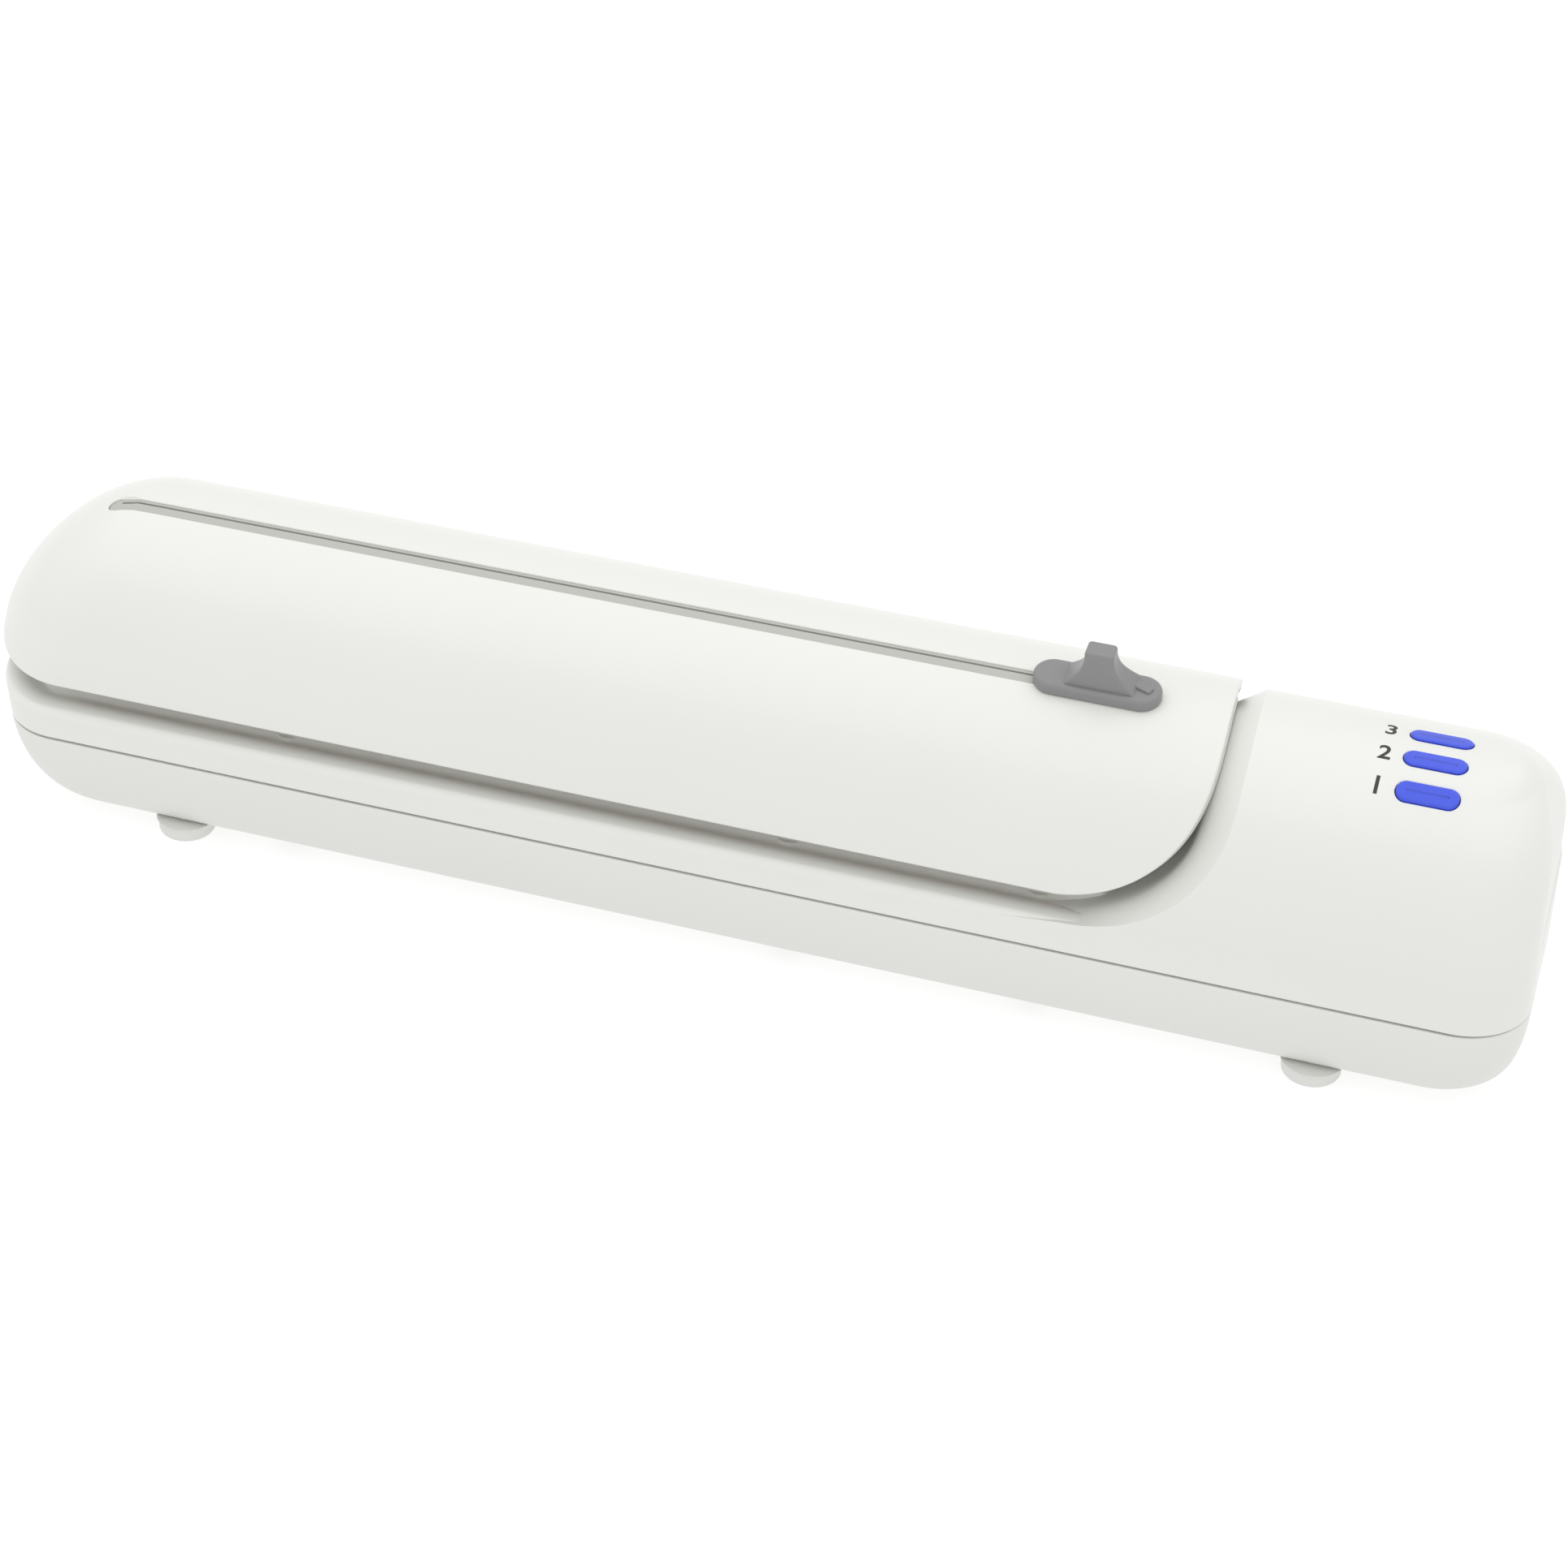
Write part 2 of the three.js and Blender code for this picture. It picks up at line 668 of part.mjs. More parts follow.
// The case form over its whole length, shrunk by an inset
function caseForm(inset, low, steps, coarse) {
  const top = CASE_APEX - inset;
  const rings = formHeights(CASE_FORM, low, inset, coarse).map((z) => {
    const front = surfacePoint(CASE_FORM, z, -1, inset);
    const back = surfacePoint(CASE_FORM, z, 1, inset);
    const lean = (HOUSING_DRAFT * (z - TRAY_TOP)) / DRAFT_HEIGHT;
    const end = roundedEnd(z, HOUSING_END_START, top, HOUSING_END_REACH, HOUSING_END_POWER);
    const radius = HOUSING_CORNER_RADIUS - inset;
    return ringAt(0, HALF_LENGTH - inset - lean - end, front.y, back.y, GAP, radius, z, steps);
  });
  return loft(rings);
}

// The lid form from its domed left end to beyond its right end, shrunk by an inset
function lidForm(inset, steps, coarse) {
  const top = LID_APEX - inset;
  const rings = formHeights(LID_FORM, LID_LOW, inset, coarse).map((z) => {
    const front = surfacePoint(LID_FORM, z, -1, inset);
    const back = surfacePoint(LID_FORM, z, 1, inset);
    const end = roundedEnd(z, LID_END_START, top, LID_END_REACH, LID_END_POWER);
    const growth = (LID_CORNER_GROWTH * (z - LID_LOW)) / (LID_APEX - LID_LOW);
    const radius = LID_CORNER_RADIUS + growth - inset;
    const left = -HALF_LENGTH - LID_END_OVERHANG + inset + end;
    return ringAt(left, CHANNEL_X + OVERSHOOT, front.y, back.y, radius, GAP, z, steps);
  });
  return loft(rings);
}

// Outline of an end in front view: a level line that turns up round a corner into an upright edge
function endOutline(z, endX, radius, low, ramp) {
  if (z <= low) {
    return endX - radius - ramp * (low - z);
  }
  const drop = Math.max(low + radius - z, 0);
  return endX - radius + Math.sqrt(radius * radius - drop * drop);
}

// A tool that ends at an outline on the form and follows given reaches at given depths below the surface
function endTool(form, farX, outline, depths, reaches, low, fineHeights) {
  const sides = [];
  const heights = [...new Set([...formHeights(form, low, 0), ...fineHeights])].sort((a, b) => a - b);
  for (const z of heights) {
    sides.push([z, -1]);
  }
  for (const z of [...heights].reverse()) {
    sides.push([z, 1]);
  }
  const sign = Math.sign(farX);
  const steps = [-OVERSHOOT, ...depths];
  const slope = (reaches[1] - reaches[0]) / (depths[1] - depths[0]);
  const shifts = [reaches[0] - slope * OVERSHOOT, ...reaches];
  const ring = (depth, x) => sides.map(([z, side]) => {
    const p = surfacePoint(form, z, side, 0);
    return [x(z), p.y + p.inY * depth, p.z + p.inZ * depth];
  });
  const rings = [ring(steps[0], () => farX)];
  steps.forEach((depth, i) => {
    rings.push(ring(depth, (z) => outline(z) - shifts[i]));
  });
  return loft(sign < 0 ? rings : rings.reverse(), true);
}

// Housing cut: everything left of the scooped channel wall
function channelTool(offset) {
  const fine = CHANNEL_FINE_RISES.map((rise) => CHANNEL_LOW + rise);
  const outline = (z) => endOutline(z, CHANNEL_X, CHANNEL_CORNER_RADIUS, CHANNEL_LOW, RAMP_RUN) + offset;
  const reaches = SCOOP_REACHES;
  return endTool(CASE_FORM, -FAR, outline, SCOOP_DEPTHS, reaches, CHANNEL_LOW - RAMP_LOW - offset, fine);
}

function lidEndTool(endX, radius, low, depths, reaches) {
  const fine = LID_FINE_RISES.map((rise) => low + rise);
  const outline = (z) => endOutline(z, endX, radius, low, 0);
  return endTool(LID_FORM, FAR, outline, depths, reaches, low - OVERSHOOT, fine);
}

// A half space above a plane that runs through two points of the side view
function slabAbove(frontZ, backZ) {
  const slope = (backZ - frontZ) / DEPTH;
  const at = (y) => frontZ + slope * (y + HALF_DEPTH);
  const reach = HALF_DEPTH * 2;
  const outline = [[-reach, at(-reach)], [reach, at(reach)], [reach, FAR], [-reach, FAR]];
  return prism(outline, -FAR, FAR, acrossX);
}

function slabBelow(frontZ, backZ) {
  const slope = (backZ - frontZ) / DEPTH;
  const at = (y) => frontZ + slope * (y + HALF_DEPTH);
  const reach = HALF_DEPTH * 2;
  const outline = [[-reach, -FAR], [reach, -FAR], [reach, at(reach)], [-reach, at(-reach)]];
  return prism(outline, -FAR, FAR, acrossX);
}

// Case block below the deck: straight skirt, soft crest, shallow trough and the sloping platform
function rimRing(inset, z, share, steps) {
  const radius = Math.max(CASE_CORNER_RADIUS - inset, OVERSHOOT);
  const x = HALF_LENGTH - inset;
  const y = HALF_DEPTH - inset;
  const flare = (CREST_END_FLARE * (z - TRAY_TOP)) / (CREST_HEIGHT - TRAY_TOP);
  const ring = ringAt(-x - Math.max(flare, 0), x, -y, y, radius, radius, z, steps);
  return ring.map((p) => [p[0], p[1], p[2] + share * DECK_SLOPE * (p[1] + HALF_DEPTH)]);
}

function deckBlock() {
  const lean = (z) => (z - TRAY_TOP) / Math.tan(radians(STEEP_ANGLE));
  const start = CREST_HEIGHT - CREST_FILLET;
  const rings = [rimRing(lean(CASE_LOW), CASE_LOW, 0, CORNER_STEPS)];
  for (let i = 0; i <= FILLET_STEPS; i += 1) {
    const angle = radians((90 * i) / FILLET_STEPS);
    const inset = lean(start) + CREST_FILLET * (1 - Math.cos(angle));
    rings.push(rimRing(inset, start + CREST_FILLET * Math.sin(angle), 1, CORNER_STEPS));
  }
  for (let i = 1; i <= TROUGH_STEPS; i += 1) {
    const share = i / TROUGH_STEPS;
    const inset = lean(start) + CREST_FILLET + TROUGH_WIDTH * share;
    const dip = TROUGH_DEPTH * Math.sin(Math.PI * share) ** TROUGH_POWER;
    rings.push(rimRing(inset, CREST_HEIGHT - dip, 1, CORNER_STEPS));
  }
  return loft(rings);
}

function deckHollow() {
  const top = CREST_HEIGHT - DECK_THICKNESS;
  const rings = [
    rimRing(WALL, CASE_LOW - OVERSHOOT, 0, INNER_CORNER_STEPS),
    rimRing(WALL, top - WALL, 1, INNER_CORNER_STEPS),
    rimRing(WALL + WALL, top, 1, INNER_CORNER_STEPS),
  ];
  return loft(rings);
}

// Loops on the deck
function sealLoop(grow) {
  const radius = SEAL_CORNER_RADIUS + grow;
  return roundedBox(SEAL_LEFT - grow, SEAL_RIGHT + grow, SEAL_FRONT - grow, SEAL_BACK + grow, radius);
}

function sealRing(low, high, clearance) {
  return prism(sealLoop(clearance), low, high, onDeck, [sealLoop(-SEAL_WIDTH - clearance)]);
}

function strip(width, low, high, margin = 0) {
  const half = width / 2 + margin;
  const outline = box(HEATER_LEFT - margin, HEATER_RIGHT + margin, HEATER_V - half, HEATER_V + half);
  return prism(outline, low, high, onDeck);
}

// Buttons and board share a frame tilted with the middle button
function buttonFrame() {
  const middle = buttonSeatPoint();
  const tilt = radians(BUTTON_TILT);
  return (u, v, w) => {
    const y = middle.y + v * Math.cos(tilt) - w * Math.sin(tilt);
    const z = middle.z + v * Math.sin(tilt) + w * Math.cos(tilt);
    return [BUTTON_X + u, y, z];
  };
}

function buttonSeatPoint() {
  const { crown } = CASE_FORM;
  const reach = APEX_Y - BUTTON_Y;
  return { y: BUTTON_Y, z: crown.z + Math.sqrt(crown.radius ** 2 - reach ** 2) };
}

const onBoard = buttonFrame();
const ROW_NAMES = ['back', 'middle', 'front'];
const BUTTON_PLACES = [1, 0, -1].map((step) => step * BUTTON_PITCH);

function pill(length, width, v) {
  const radius = width / 2;
  return roundedBox(-length / 2, length / 2, v - radius, v + radius, radius);
}

function roundPost(x, y, radius, low, high, steps = ROUND_STEPS) {
  return prism(circle(x, y, radius, steps), low, high, upright);
}

const SCREW_PLACES = SCREW_XS.flatMap((x) => [[x, -SCREW_Y], [x, SCREW_Y]]);

// Upper case
function makeUpperCase() {
  const housing = caseForm(0, CASE_LOW, CORNER_STEPS, 1).subtract(channelTool(0));
  let body = deckBlock().add(housing);
  const housingInner = caseForm(WALL, CASE_LOW - OVERSHOOT, INNER_CORNER_STEPS, CASE_INNER_COARSENESS);
  body = body.subtract(deckHollow()).subtract(housingInner.subtract(channelTool(WALL)));
  body = body.add(chamberPan());
  const lugs = joined([HINGE_LEFT_X, HINGE_RIGHT_X].map((x) => hingeLug(x)));
  body = body.add(lugs);
  const posts = joined(SCREW_PLACES.map(([x, y]) => {
    return roundPost(x, y, CASE_POST_RADIUS, TRAY_POST_TOP + GAP, postTop(y));
  }));
  body = body.add(posts).add(boardPosts());
  const cuts = joined([
    chamberRecess(),
    sealRing(-SEAL_SEAT, OVERSHOOT, GAP),
    strip(HEATER_WIDTH, -HEATER_SEAT, OVERSHOOT, GAP),
    cutGroove(),
    joined(SCREW_PLACES.map(([x, y]) => {
      const top = SCREW_SEAT + SCREW_LENGTH + OVERSHOOT;
      return roundPost(x, y, SCREW_RADIUS + RUNNING_CLEARANCE, TRAY_TOP - FAR, top);
    })),
    buttonHoles(),
    boardPilots(),
    inletHole(),
    nippleHole(),
  ]);
  return body.subtract(cuts).subtract(hingeBore(PIN_PRESS_GAP));
}

function postTop(y) {
  return CREST_HEIGHT + DECK_SLOPE * (y + HALF_DEPTH) - DECK_THICKNESS * POST_SINK_SHARE;
}

function chamberOutline(grow) {
  const inset = SEAL_WIDTH + CHAMBER_INSET - grow;
  return roundedBox(
    SEAL_LEFT + inset,
    SEAL_RIGHT - inset,
    SEAL_FRONT + inset,
    SEAL_BACK - inset,
    Math.max(SEAL_CORNER_RADIUS - inset, OVERSHOOT) + grow,
  );
}

function chamberPan() {
  return prism(chamberOutline(CHAMBER_WALL), -CHAMBER_DEPTH - CHAMBER_WALL, -SEAL_SEAT - OVERSHOOT, onDeck);
}

function chamberRecess() {
  return prism(chamberOutline(0), -CHAMBER_DEPTH, OVERSHOOT, onDeck);
}

function cutGroove() {
  const half = CUT_GROOVE_WIDTH / 2;
  const outline = [-half, half, half, -half].map((offset, i) => {
    const y = SLIT_Y + offset;
    const deck = CREST_HEIGHT + DECK_SLOPE * (y + HALF_DEPTH);
    return [y, deck + (i < 2 ? -CUT_GROOVE_DEPTH : OVERSHOOT)];
  });
  const left = SLIDER_X - SLIDER_TRAVEL - STEM_LENGTH;
  return prism(outline, left, SLIDER_X + STEM_LENGTH - GAP, acrossX);
}

function hingeLug(x) {
  const top = arc(HINGE_Y, HINGE_Z, KNUCKLE_RADIUS, 0, 180, ARC_STEPS * 2);
  const outline = [
    ...top,
    [HINGE_Y - KNUCKLE_RADIUS, CREST_HEIGHT],
    [HINGE_Y + KNUCKLE_RADIUS, CREST_HEIGHT],
  ];
  const deck = CREST_HEIGHT - DECK_THICKNESS / 2;
  const block = prism(outline, x - LUG_WIDTH / 2, x + LUG_WIDTH / 2, acrossX);
  return block.intersect(slabAbove(deck, deck + DECK_SLOPE * DEPTH));
}

function hingeBore(clearance) {
  return joined([HINGE_LEFT_X, HINGE_RIGHT_X].map((x) => {
    const reach = LUG_WIDTH / 2 + EAR_WIDTH + OVERSHOOT * 2;
    const outline = circle(HINGE_Y, HINGE_Z, HINGE_PIN_RADIUS + clearance, PIN_STEPS);
    return prism(outline, x - reach, x + reach, acrossX);
  }));
}

function buttonHoles() {
  return joined(BUTTON_PLACES.map((v) => {
    const outline = pill(BUTTON_LENGTH + BUTTON_CLEARANCE * 2, BUTTON_HEIGHT + BUTTON_CLEARANCE * 2, v);
    return prism(outline, -BUTTON_FLANGE_DEPTH, CROWN_RADIUS, onBoard);
  }));
}

function fourPlaces(x, y, reachX, reachY) {
  return [-1, 1].flatMap((i) => [-1, 1].map((j) => [x + i * reachX, y + j * reachY]));
}

function boardPostPlaces() {
  return fourPlaces(0, 0, BOARD_POST_X, BOARD_POST_V);
}

function boardPosts() {
  const posts = joined(boardPostPlaces().map(([u, v]) => {
    return prism(circle(u, v, BOARD_POST_RADIUS, SMALL_STEPS), -BOARD_DEPTH + GAP, 0, onBoard);
  }));
  return posts.intersect(caseForm(WALL / 2, HOUSING_END_START, INNER_CORNER_STEPS, CASE_INNER_COARSENESS));
}

function boardPilots() {
  return joined(boardPostPlaces().map(([u, v]) => {
    const high = -BOARD_DEPTH + SMALL_SCREW_LENGTH;
    const radius = SMALL_SCREW_RADIUS + RUNNING_CLEARANCE;
    return prism(circle(u, v, radius, SMALL_STEPS), -BOARD_DEPTH - OVERSHOOT, high, onBoard);
  }));
}

function inletLoop(halfWidth, halfHeight, radius) {
  const [x, z] = [INLET_X, INLET_Z];
  return roundedBox(x - halfWidth, x + halfWidth, z - halfHeight, z + halfHeight, radius);
}

function inletOutline(margin) {
  return inletLoop(INLET_WIDTH / 2 + margin, INLET_HEIGHT / 2 + margin, INLET_CORNER + margin);
}

function inletHole() {
  return prism(inletOutline(GAP), HALF_DEPTH - WALL - OVERSHOOT, HALF_DEPTH + OVERSHOOT, alongY);
}

function nippleHole() {
  const outline = circle(NIPPLE_X, NIPPLE_V, NIPPLE_HOLE_RADIUS + GAP, ROUND_STEPS);
  return prism(outline, -CHAMBER_DEPTH - CHAMBER_WALL - OVERSHOOT, -CHAMBER_DEPTH + OVERSHOOT, onDeck);
}

// Base tray
function trayRing(inset, z, steps) {
  const depth = TRAY_TOP - z;
  const share = Math.min(Math.max(depth / (TRAY_TOP - FOOT_HEIGHT), 0), 1);
  const tuck = 1 - Math.sqrt(1 - share * share);
  const radius = CASE_CORNER_RADIUS - inset;
  const left = -HALF_LENGTH + TRAY_TUCK_LEFT * tuck + inset;
  const right = HALF_LENGTH - TRAY_TUCK_RIGHT * tuck - inset;
  const y = HALF_DEPTH - TRAY_TUCK * tuck - inset;
  return ringAt(left, right, -y, y, radius + TRAY_CORNER_GROWTH * share, radius, z, steps);
}

function makeTray() {
  const top = TRAY_TOP - PARTING_GAP / 2;
  const outer = [];
  for (let i = 0; i <= TRAY_LEVELS; i += 1) {
    const angle = radians((90 * i) / TRAY_LEVELS);
    const z = FOOT_HEIGHT + (top - FOOT_HEIGHT) * (1 - Math.cos(angle));
    outer.push(trayRing(0, z, CORNER_STEPS));
  }
  const tongueTop = TRAY_TOP + TONGUE_HEIGHT;
  const thick = TONGUE_INSET + TONGUE_THICKNESS;
  const tongue = loft([
    trayRing(TONGUE_INSET, top - TONGUE_ROOT, INNER_CORNER_STEPS),
    trayRing(TONGUE_INSET, tongueTop, INNER_CORNER_STEPS),
  ]);
  const floor = FOOT_HEIGHT + TRAY_FLOOR;
  const hollow = loft([
    trayRing(WALL + TRAY_FLOOR, floor, INNER_CORNER_STEPS),
    trayRing(WALL, floor + TRAY_FLOOR, INNER_CORNER_STEPS),
    trayRing(WALL, top - TONGUE_ROOT, INNER_CORNER_STEPS),
    trayRing(thick, top - TONGUE_ROOT / 2, INNER_CORNER_STEPS),
    trayRing(thick, tongueTop + OVERSHOOT, INNER_CORNER_STEPS),
  ]);
  let tray = loft(outer).add(tongue).subtract(hollow);
  const posts = joined(SCREW_PLACES.map(([x, y]) => {
    return roundPost(x, y, TRAY_POST_RADIUS, FOOT_HEIGHT + TRAY_FLOOR / 2, TRAY_POST_TOP);
  }));
  tray = tray.add(posts).add(supplyPosts()).add(motorCradles());
  const bores = joined(SCREW_PLACES.flatMap(([x, y]) => [
    roundPost(x, y, COUNTERBORE_RADIUS, 0, SCREW_SEAT),
    roundPost(x, y, SCREW_RADIUS + GAP, 0, TRAY_POST_TOP + OVERSHOOT),
  ]));
  const footHoles = joined(FOOT_PLACES.map(([x, y]) => {
    return roundPost(x, y, FOOT_PLUG_RADIUS + GAP, 0, FOOT_HEIGHT + FOOT_PLUG_RISE + OVERSHOOT);
  }));
  return tray.subtract(bores).subtract(footHoles).subtract(supplyPilots());
}

const FOOT_PLACES = [-FOOT_Y, FOOT_Y].flatMap((y) => [[FOOT_LEFT_X, y], [FOOT_RIGHT_X, y]]);

function supplyPostPlaces() {
  return fourPlaces(SUPPLY_X, SUPPLY_Y, SUPPLY_POST_X, SUPPLY_POST_Y);
}

function supplyPosts() {
  const low = FOOT_HEIGHT + TRAY_FLOOR / 2;
  return joined(supplyPostPlaces().map(([x, y]) => {
    return roundPost(x, y, SUPPLY_POST_RADIUS, low, SUPPLY_BOARD_LOW - GAP, SMALL_STEPS);
  }));
}

function supplyPilots() {
  return joined(supplyPostPlaces().map(([x, y]) => {
    const low = SUPPLY_BOARD_LOW + BOARD_THICKNESS - SMALL_SCREW_LENGTH + OVERSHOOT;
    return roundPost(x, y, SMALL_SCREW_RADIUS + RUNNING_CLEARANCE, low, SUPPLY_BOARD_LOW, SMALL_STEPS);
  }));
}

function motorCradles() {
  const low = FOOT_HEIGHT + TRAY_FLOOR / 2;
  const top = PUMP_Z - CRADLE_DROP;
  const places = [MOTOR_LEFT + CRADLE_WIDTH, MOTOR_LEFT + MOTOR_LENGTH - CRADLE_WIDTH];
  const bed = prism(circle(PUMP_Y, PUMP_Z, MOTOR_RADIUS + GAP), -FAR, FAR, acrossX);
  const blocks = joined(places.map((x) => {
    const outline = box(PUMP_Y - CRADLE_HALF, PUMP_Y + CRADLE_HALF, low, top);
    return prism(outline, x - CRADLE_WIDTH / 2, x + CRADLE_WIDTH / 2, acrossX);
  }));
  return blocks.subtract(bed);
}

// Lid shell
function makeLidShell() {
  const outer = lidForm(0, CORNER_STEPS, 1);
  const inner = lidForm(LID_WALL, CORNER_STEPS, LID_INNER_COARSENESS);
  let shell = outer.subtract(inner);
  shell = shell.intersect(slabAbove(RIM_FRONT, RIM_BACK));
  shell = shell.subtract(lidEndTool(
    SHELL_END_X,
    SHELL_CORNER_RADIUS,
    SHELL_CORNER_LOW,
    SHELL_EDGE_DEPTHS,
    SHELL_EDGE_REACHES,
  ));
  const ears = joined([HINGE_LEFT_X, HINGE_RIGHT_X].flatMap((x) => [
    hingeEar(x - LUG_WIDTH / 2 - GAP - EAR_WIDTH),
    hingeEar(x + LUG_WIDTH / 2 + GAP),
  ]));
  shell = shell.add(ears.intersect(lidForm(GAP, INNER_CORNER_STEPS, 1)));
  const notches = joined([HINGE_LEFT_X, HINGE_RIGHT_X].map((x) => {
    const outline = box(EAR_FRONT_Y, HALF_DEPTH + OVERSHOOT, RIM_FRONT, HINGE_Z + KNUCKLE_RADIUS + GAP * 2);
    return prism(outline, x - LUG_WIDTH / 2 - GAP, x + LUG_WIDTH / 2 + GAP, acrossX);
  }));
  return shell.subtract(notches).subtract(hingeBore(RUNNING_CLEARANCE)).subtract(slotCut(0));
}

function hingeEar(x) {
  const low = arc(HINGE_Y, HINGE_Z, KNUCKLE_RADIUS, 180, 360, ARC_STEPS * 2);
  const outline = [...low, [HINGE_Y + KNUCKLE_RADIUS, EAR_TOP], [HINGE_Y - KNUCKLE_RADIUS, EAR_TOP]];
  return prism(outline, x, x + EAR_WIDTH, acrossX);
}

function slotCut(margin) {
  const radius = (SLOT_BACK_Y - SLOT_FRONT_Y) / 2 - margin;
  const outline = roundedBox(
    SLOT_LEFT + margin,
    SLOT_RIGHT - margin,
    SLOT_FRONT_Y + margin,
    SLOT_BACK_Y - margin,
    radius,
  );
  return prism(outline, LID_APEX - CROWN_RADIUS / 2, LID_APEX + OVERSHOOT, upright);
}

// Lid liner: a shallow pan with the mating face below and the right-hand end wall
function makeLiner() {
  const seat = LID_WALL + GAP;
  const outer = lidForm(seat, CORNER_STEPS, LID_INNER_COARSENESS);
  const inner = lidForm(seat + LINER_WALL, INNER_CORNER_STEPS, LID_INNER_COARSENESS);
  const level = (w) => [deckLevel(w, -HALF_DEPTH), deckLevel(w, HALF_DEPTH)];
  const face = slabAbove(...level(LID_LIFT + GAP));
  const innerFace = slabAbove(...level(LID_LIFT + GAP + LINER_THICKNESS));
  const rim = slabBelow(...level(LID_LIFT + LINER_RISE));
  const endTool = (extra) => {
    const reaches = LINER_EDGE_REACHES.map((reach) => reach + extra);
    return lidEndTool(LINER_END_X, LINER_CORNER_RADIUS, LINER_CORNER_LOW, LINER_EDGE_DEPTHS, reaches);
  };
  const low = prism(box(-HALF_DEPTH * 2, LINER_BACK_Y, 0, FAR), -FAR, FAR, acrossX);
  const keep = rim.add(prism(box(SHELL_END_X - SHELL_CORNER_RADIUS / 2, FAR, -FAR, FAR), 0, FAR, upright));
  let liner = outer.intersect(face).intersect(low).subtract(endTool(0));
  const innerLow = prism(box(-HALF_DEPTH * 2, LINER_BACK_Y - LINER_WALL, 0, FAR), -FAR, FAR, acrossX);
  const hollow = inner.intersect(innerFace).intersect(innerLow).subtract(endTool(LINER_WALL));
  liner = liner.subtract(hollow).intersect(keep);
  const cuts = joined([
    sealRing(LID_LIFT + GAP - OVERSHOOT, LID_LIFT + SEAL_SEAT, GAP),
    pressKey(GAP, LID_LIFT - OVERSHOOT, LID_LIFT + GAP + PRESS_KEY_DEPTH + GAP),
    bladeSlit(),
    railRoom(),
    prism(box(LINER_CREST_Y, HALF_DEPTH, LINER_CREST_LOW, FAR), SLOT_RIGHT, FAR, acrossX),
  ]);
  return liner.subtract(cuts);
}

function pressKey(margin, low, high) {
  return strip(PRESS_KEY_WIDTH, low, high, margin - PRESS_KEY_DEPTH);
}

function bladeSlit() {
  const half = BLADE_SLIT_WIDTH / 2;
  const left = SLIDER_X - SLIDER_TRAVEL - STEM_LENGTH / 2 - OVERSHOOT;
  const right = SLIDER_X + STEM_LENGTH / 2 + OVERSHOOT;
  const outline = roundedBox(left, right, SLIT_Y - half, SLIT_Y + half, half / 2);
  return prism(outline, 0, LID_APEX - CROWN_RADIUS / 2, upright);
}

function railRoom() {
  const half = RAIL_WIDTH / 2;
  const outline = box(SLOT_FRONT_Y - half, SLOT_BACK_Y + half, LID_APEX - CROWN_RADIUS / 2, FAR);
  return prism(outline, -FAR, SLOT_RIGHT + RAIL_MARGIN + GAP, acrossX);
}

// Cutter rail: a strip under the slot with a raised floor inside it and a slit for the blade carrier
function makeRail() {
  const under = lidForm(LID_WALL + GAP, INNER_CORNER_STEPS, 1);
  const below = lidForm(LID_WALL + GAP + RAIL_THICKNESS, INNER_CORNER_STEPS, 1);
  const middle = (SLOT_FRONT_Y + SLOT_BACK_Y) / 2;
  const left = SLOT_LEFT - RAIL_MARGIN / 2;
  const right = SLOT_RIGHT + RAIL_MARGIN;
  const footprint = prism(
    roundedBox(left, right, middle - RAIL_WIDTH / 2, middle + RAIL_WIDTH / 2, RAIL_MARGIN),
    LID_APEX - CROWN_RADIUS,
    LID_APEX,
    upright,
  );
  const plate = footprint.intersect(under).subtract(below);
  const floor = slotCut(GAP).intersect(lidForm(RAIL_RECESS, INNER_CORNER_STEPS, 1)).subtract(below);
  const slit = prism(
    box(
      SLOT_LEFT + SLIT_END_MARGIN,
      SLOT_RIGHT - SLIT_END_MARGIN,
      SLIT_Y - SLIT_WIDTH / 2,
      SLIT_Y + SLIT_WIDTH / 2,
    ),
    0,
    FAR,
    upright,
  );
  return plate.add(floor).subtract(slit);
}

// Slider
function crownAt(y) {
  const { crown } = LID_FORM;
  return crown.z + Math.sqrt(crown.radius ** 2 - (APEX_Y - y) ** 2);
}

function onPlate(x, v, w) {
  const tilt = radians(PLATE_TILT);
  const y = PLATE_Y + v * Math.cos(tilt) - w * Math.sin(tilt);
  const z = crownAt(PLATE_Y) + v * Math.sin(tilt) + w * Math.cos(tilt);
  return [SLIDER_X + x, y, z];
}

// The fin flares out towards its foot at both ends and at the back, and leans a little
function finRing(share, inset, rise) {
  const flare = (1 - Math.sin((Math.PI / 2) * share)) ** FIN_FLARE_POWER;
  const middle = FIN_X + FIN_LEAN_X * share;
  const half = FIN_TOP / 2 + ((FIN_BASE - FIN_TOP) / 2) * flare - inset;
  const front = -FIN_FRONT + FIN_LEAN_V * share + inset;
  const back = FIN_BACK + FIN_BACK_FLARE * flare - inset;
  const outline = roundedBox(middle - half, middle + half, front, back, FIN_ROUND, FIN_CORNER_STEPS);
  return outline.map(([x, v]) => onPlate(x, v, rise));
}

function makeFin() {
  const rings = [finRing(0, 0, PLATE_THICKNESS / 2)];
  for (let i = 0; i <= FIN_STEPS; i += 1) {
    const share = i / FIN_STEPS;
    rings.push(finRing(share, 0, PLATE_THICKNESS + (FIN_HEIGHT - FIN_ROUND) * share));
  }
  rings.push(finRing(1, FIN_ROUND / 2, PLATE_THICKNESS + FIN_HEIGHT));
  return loft(rings);
}

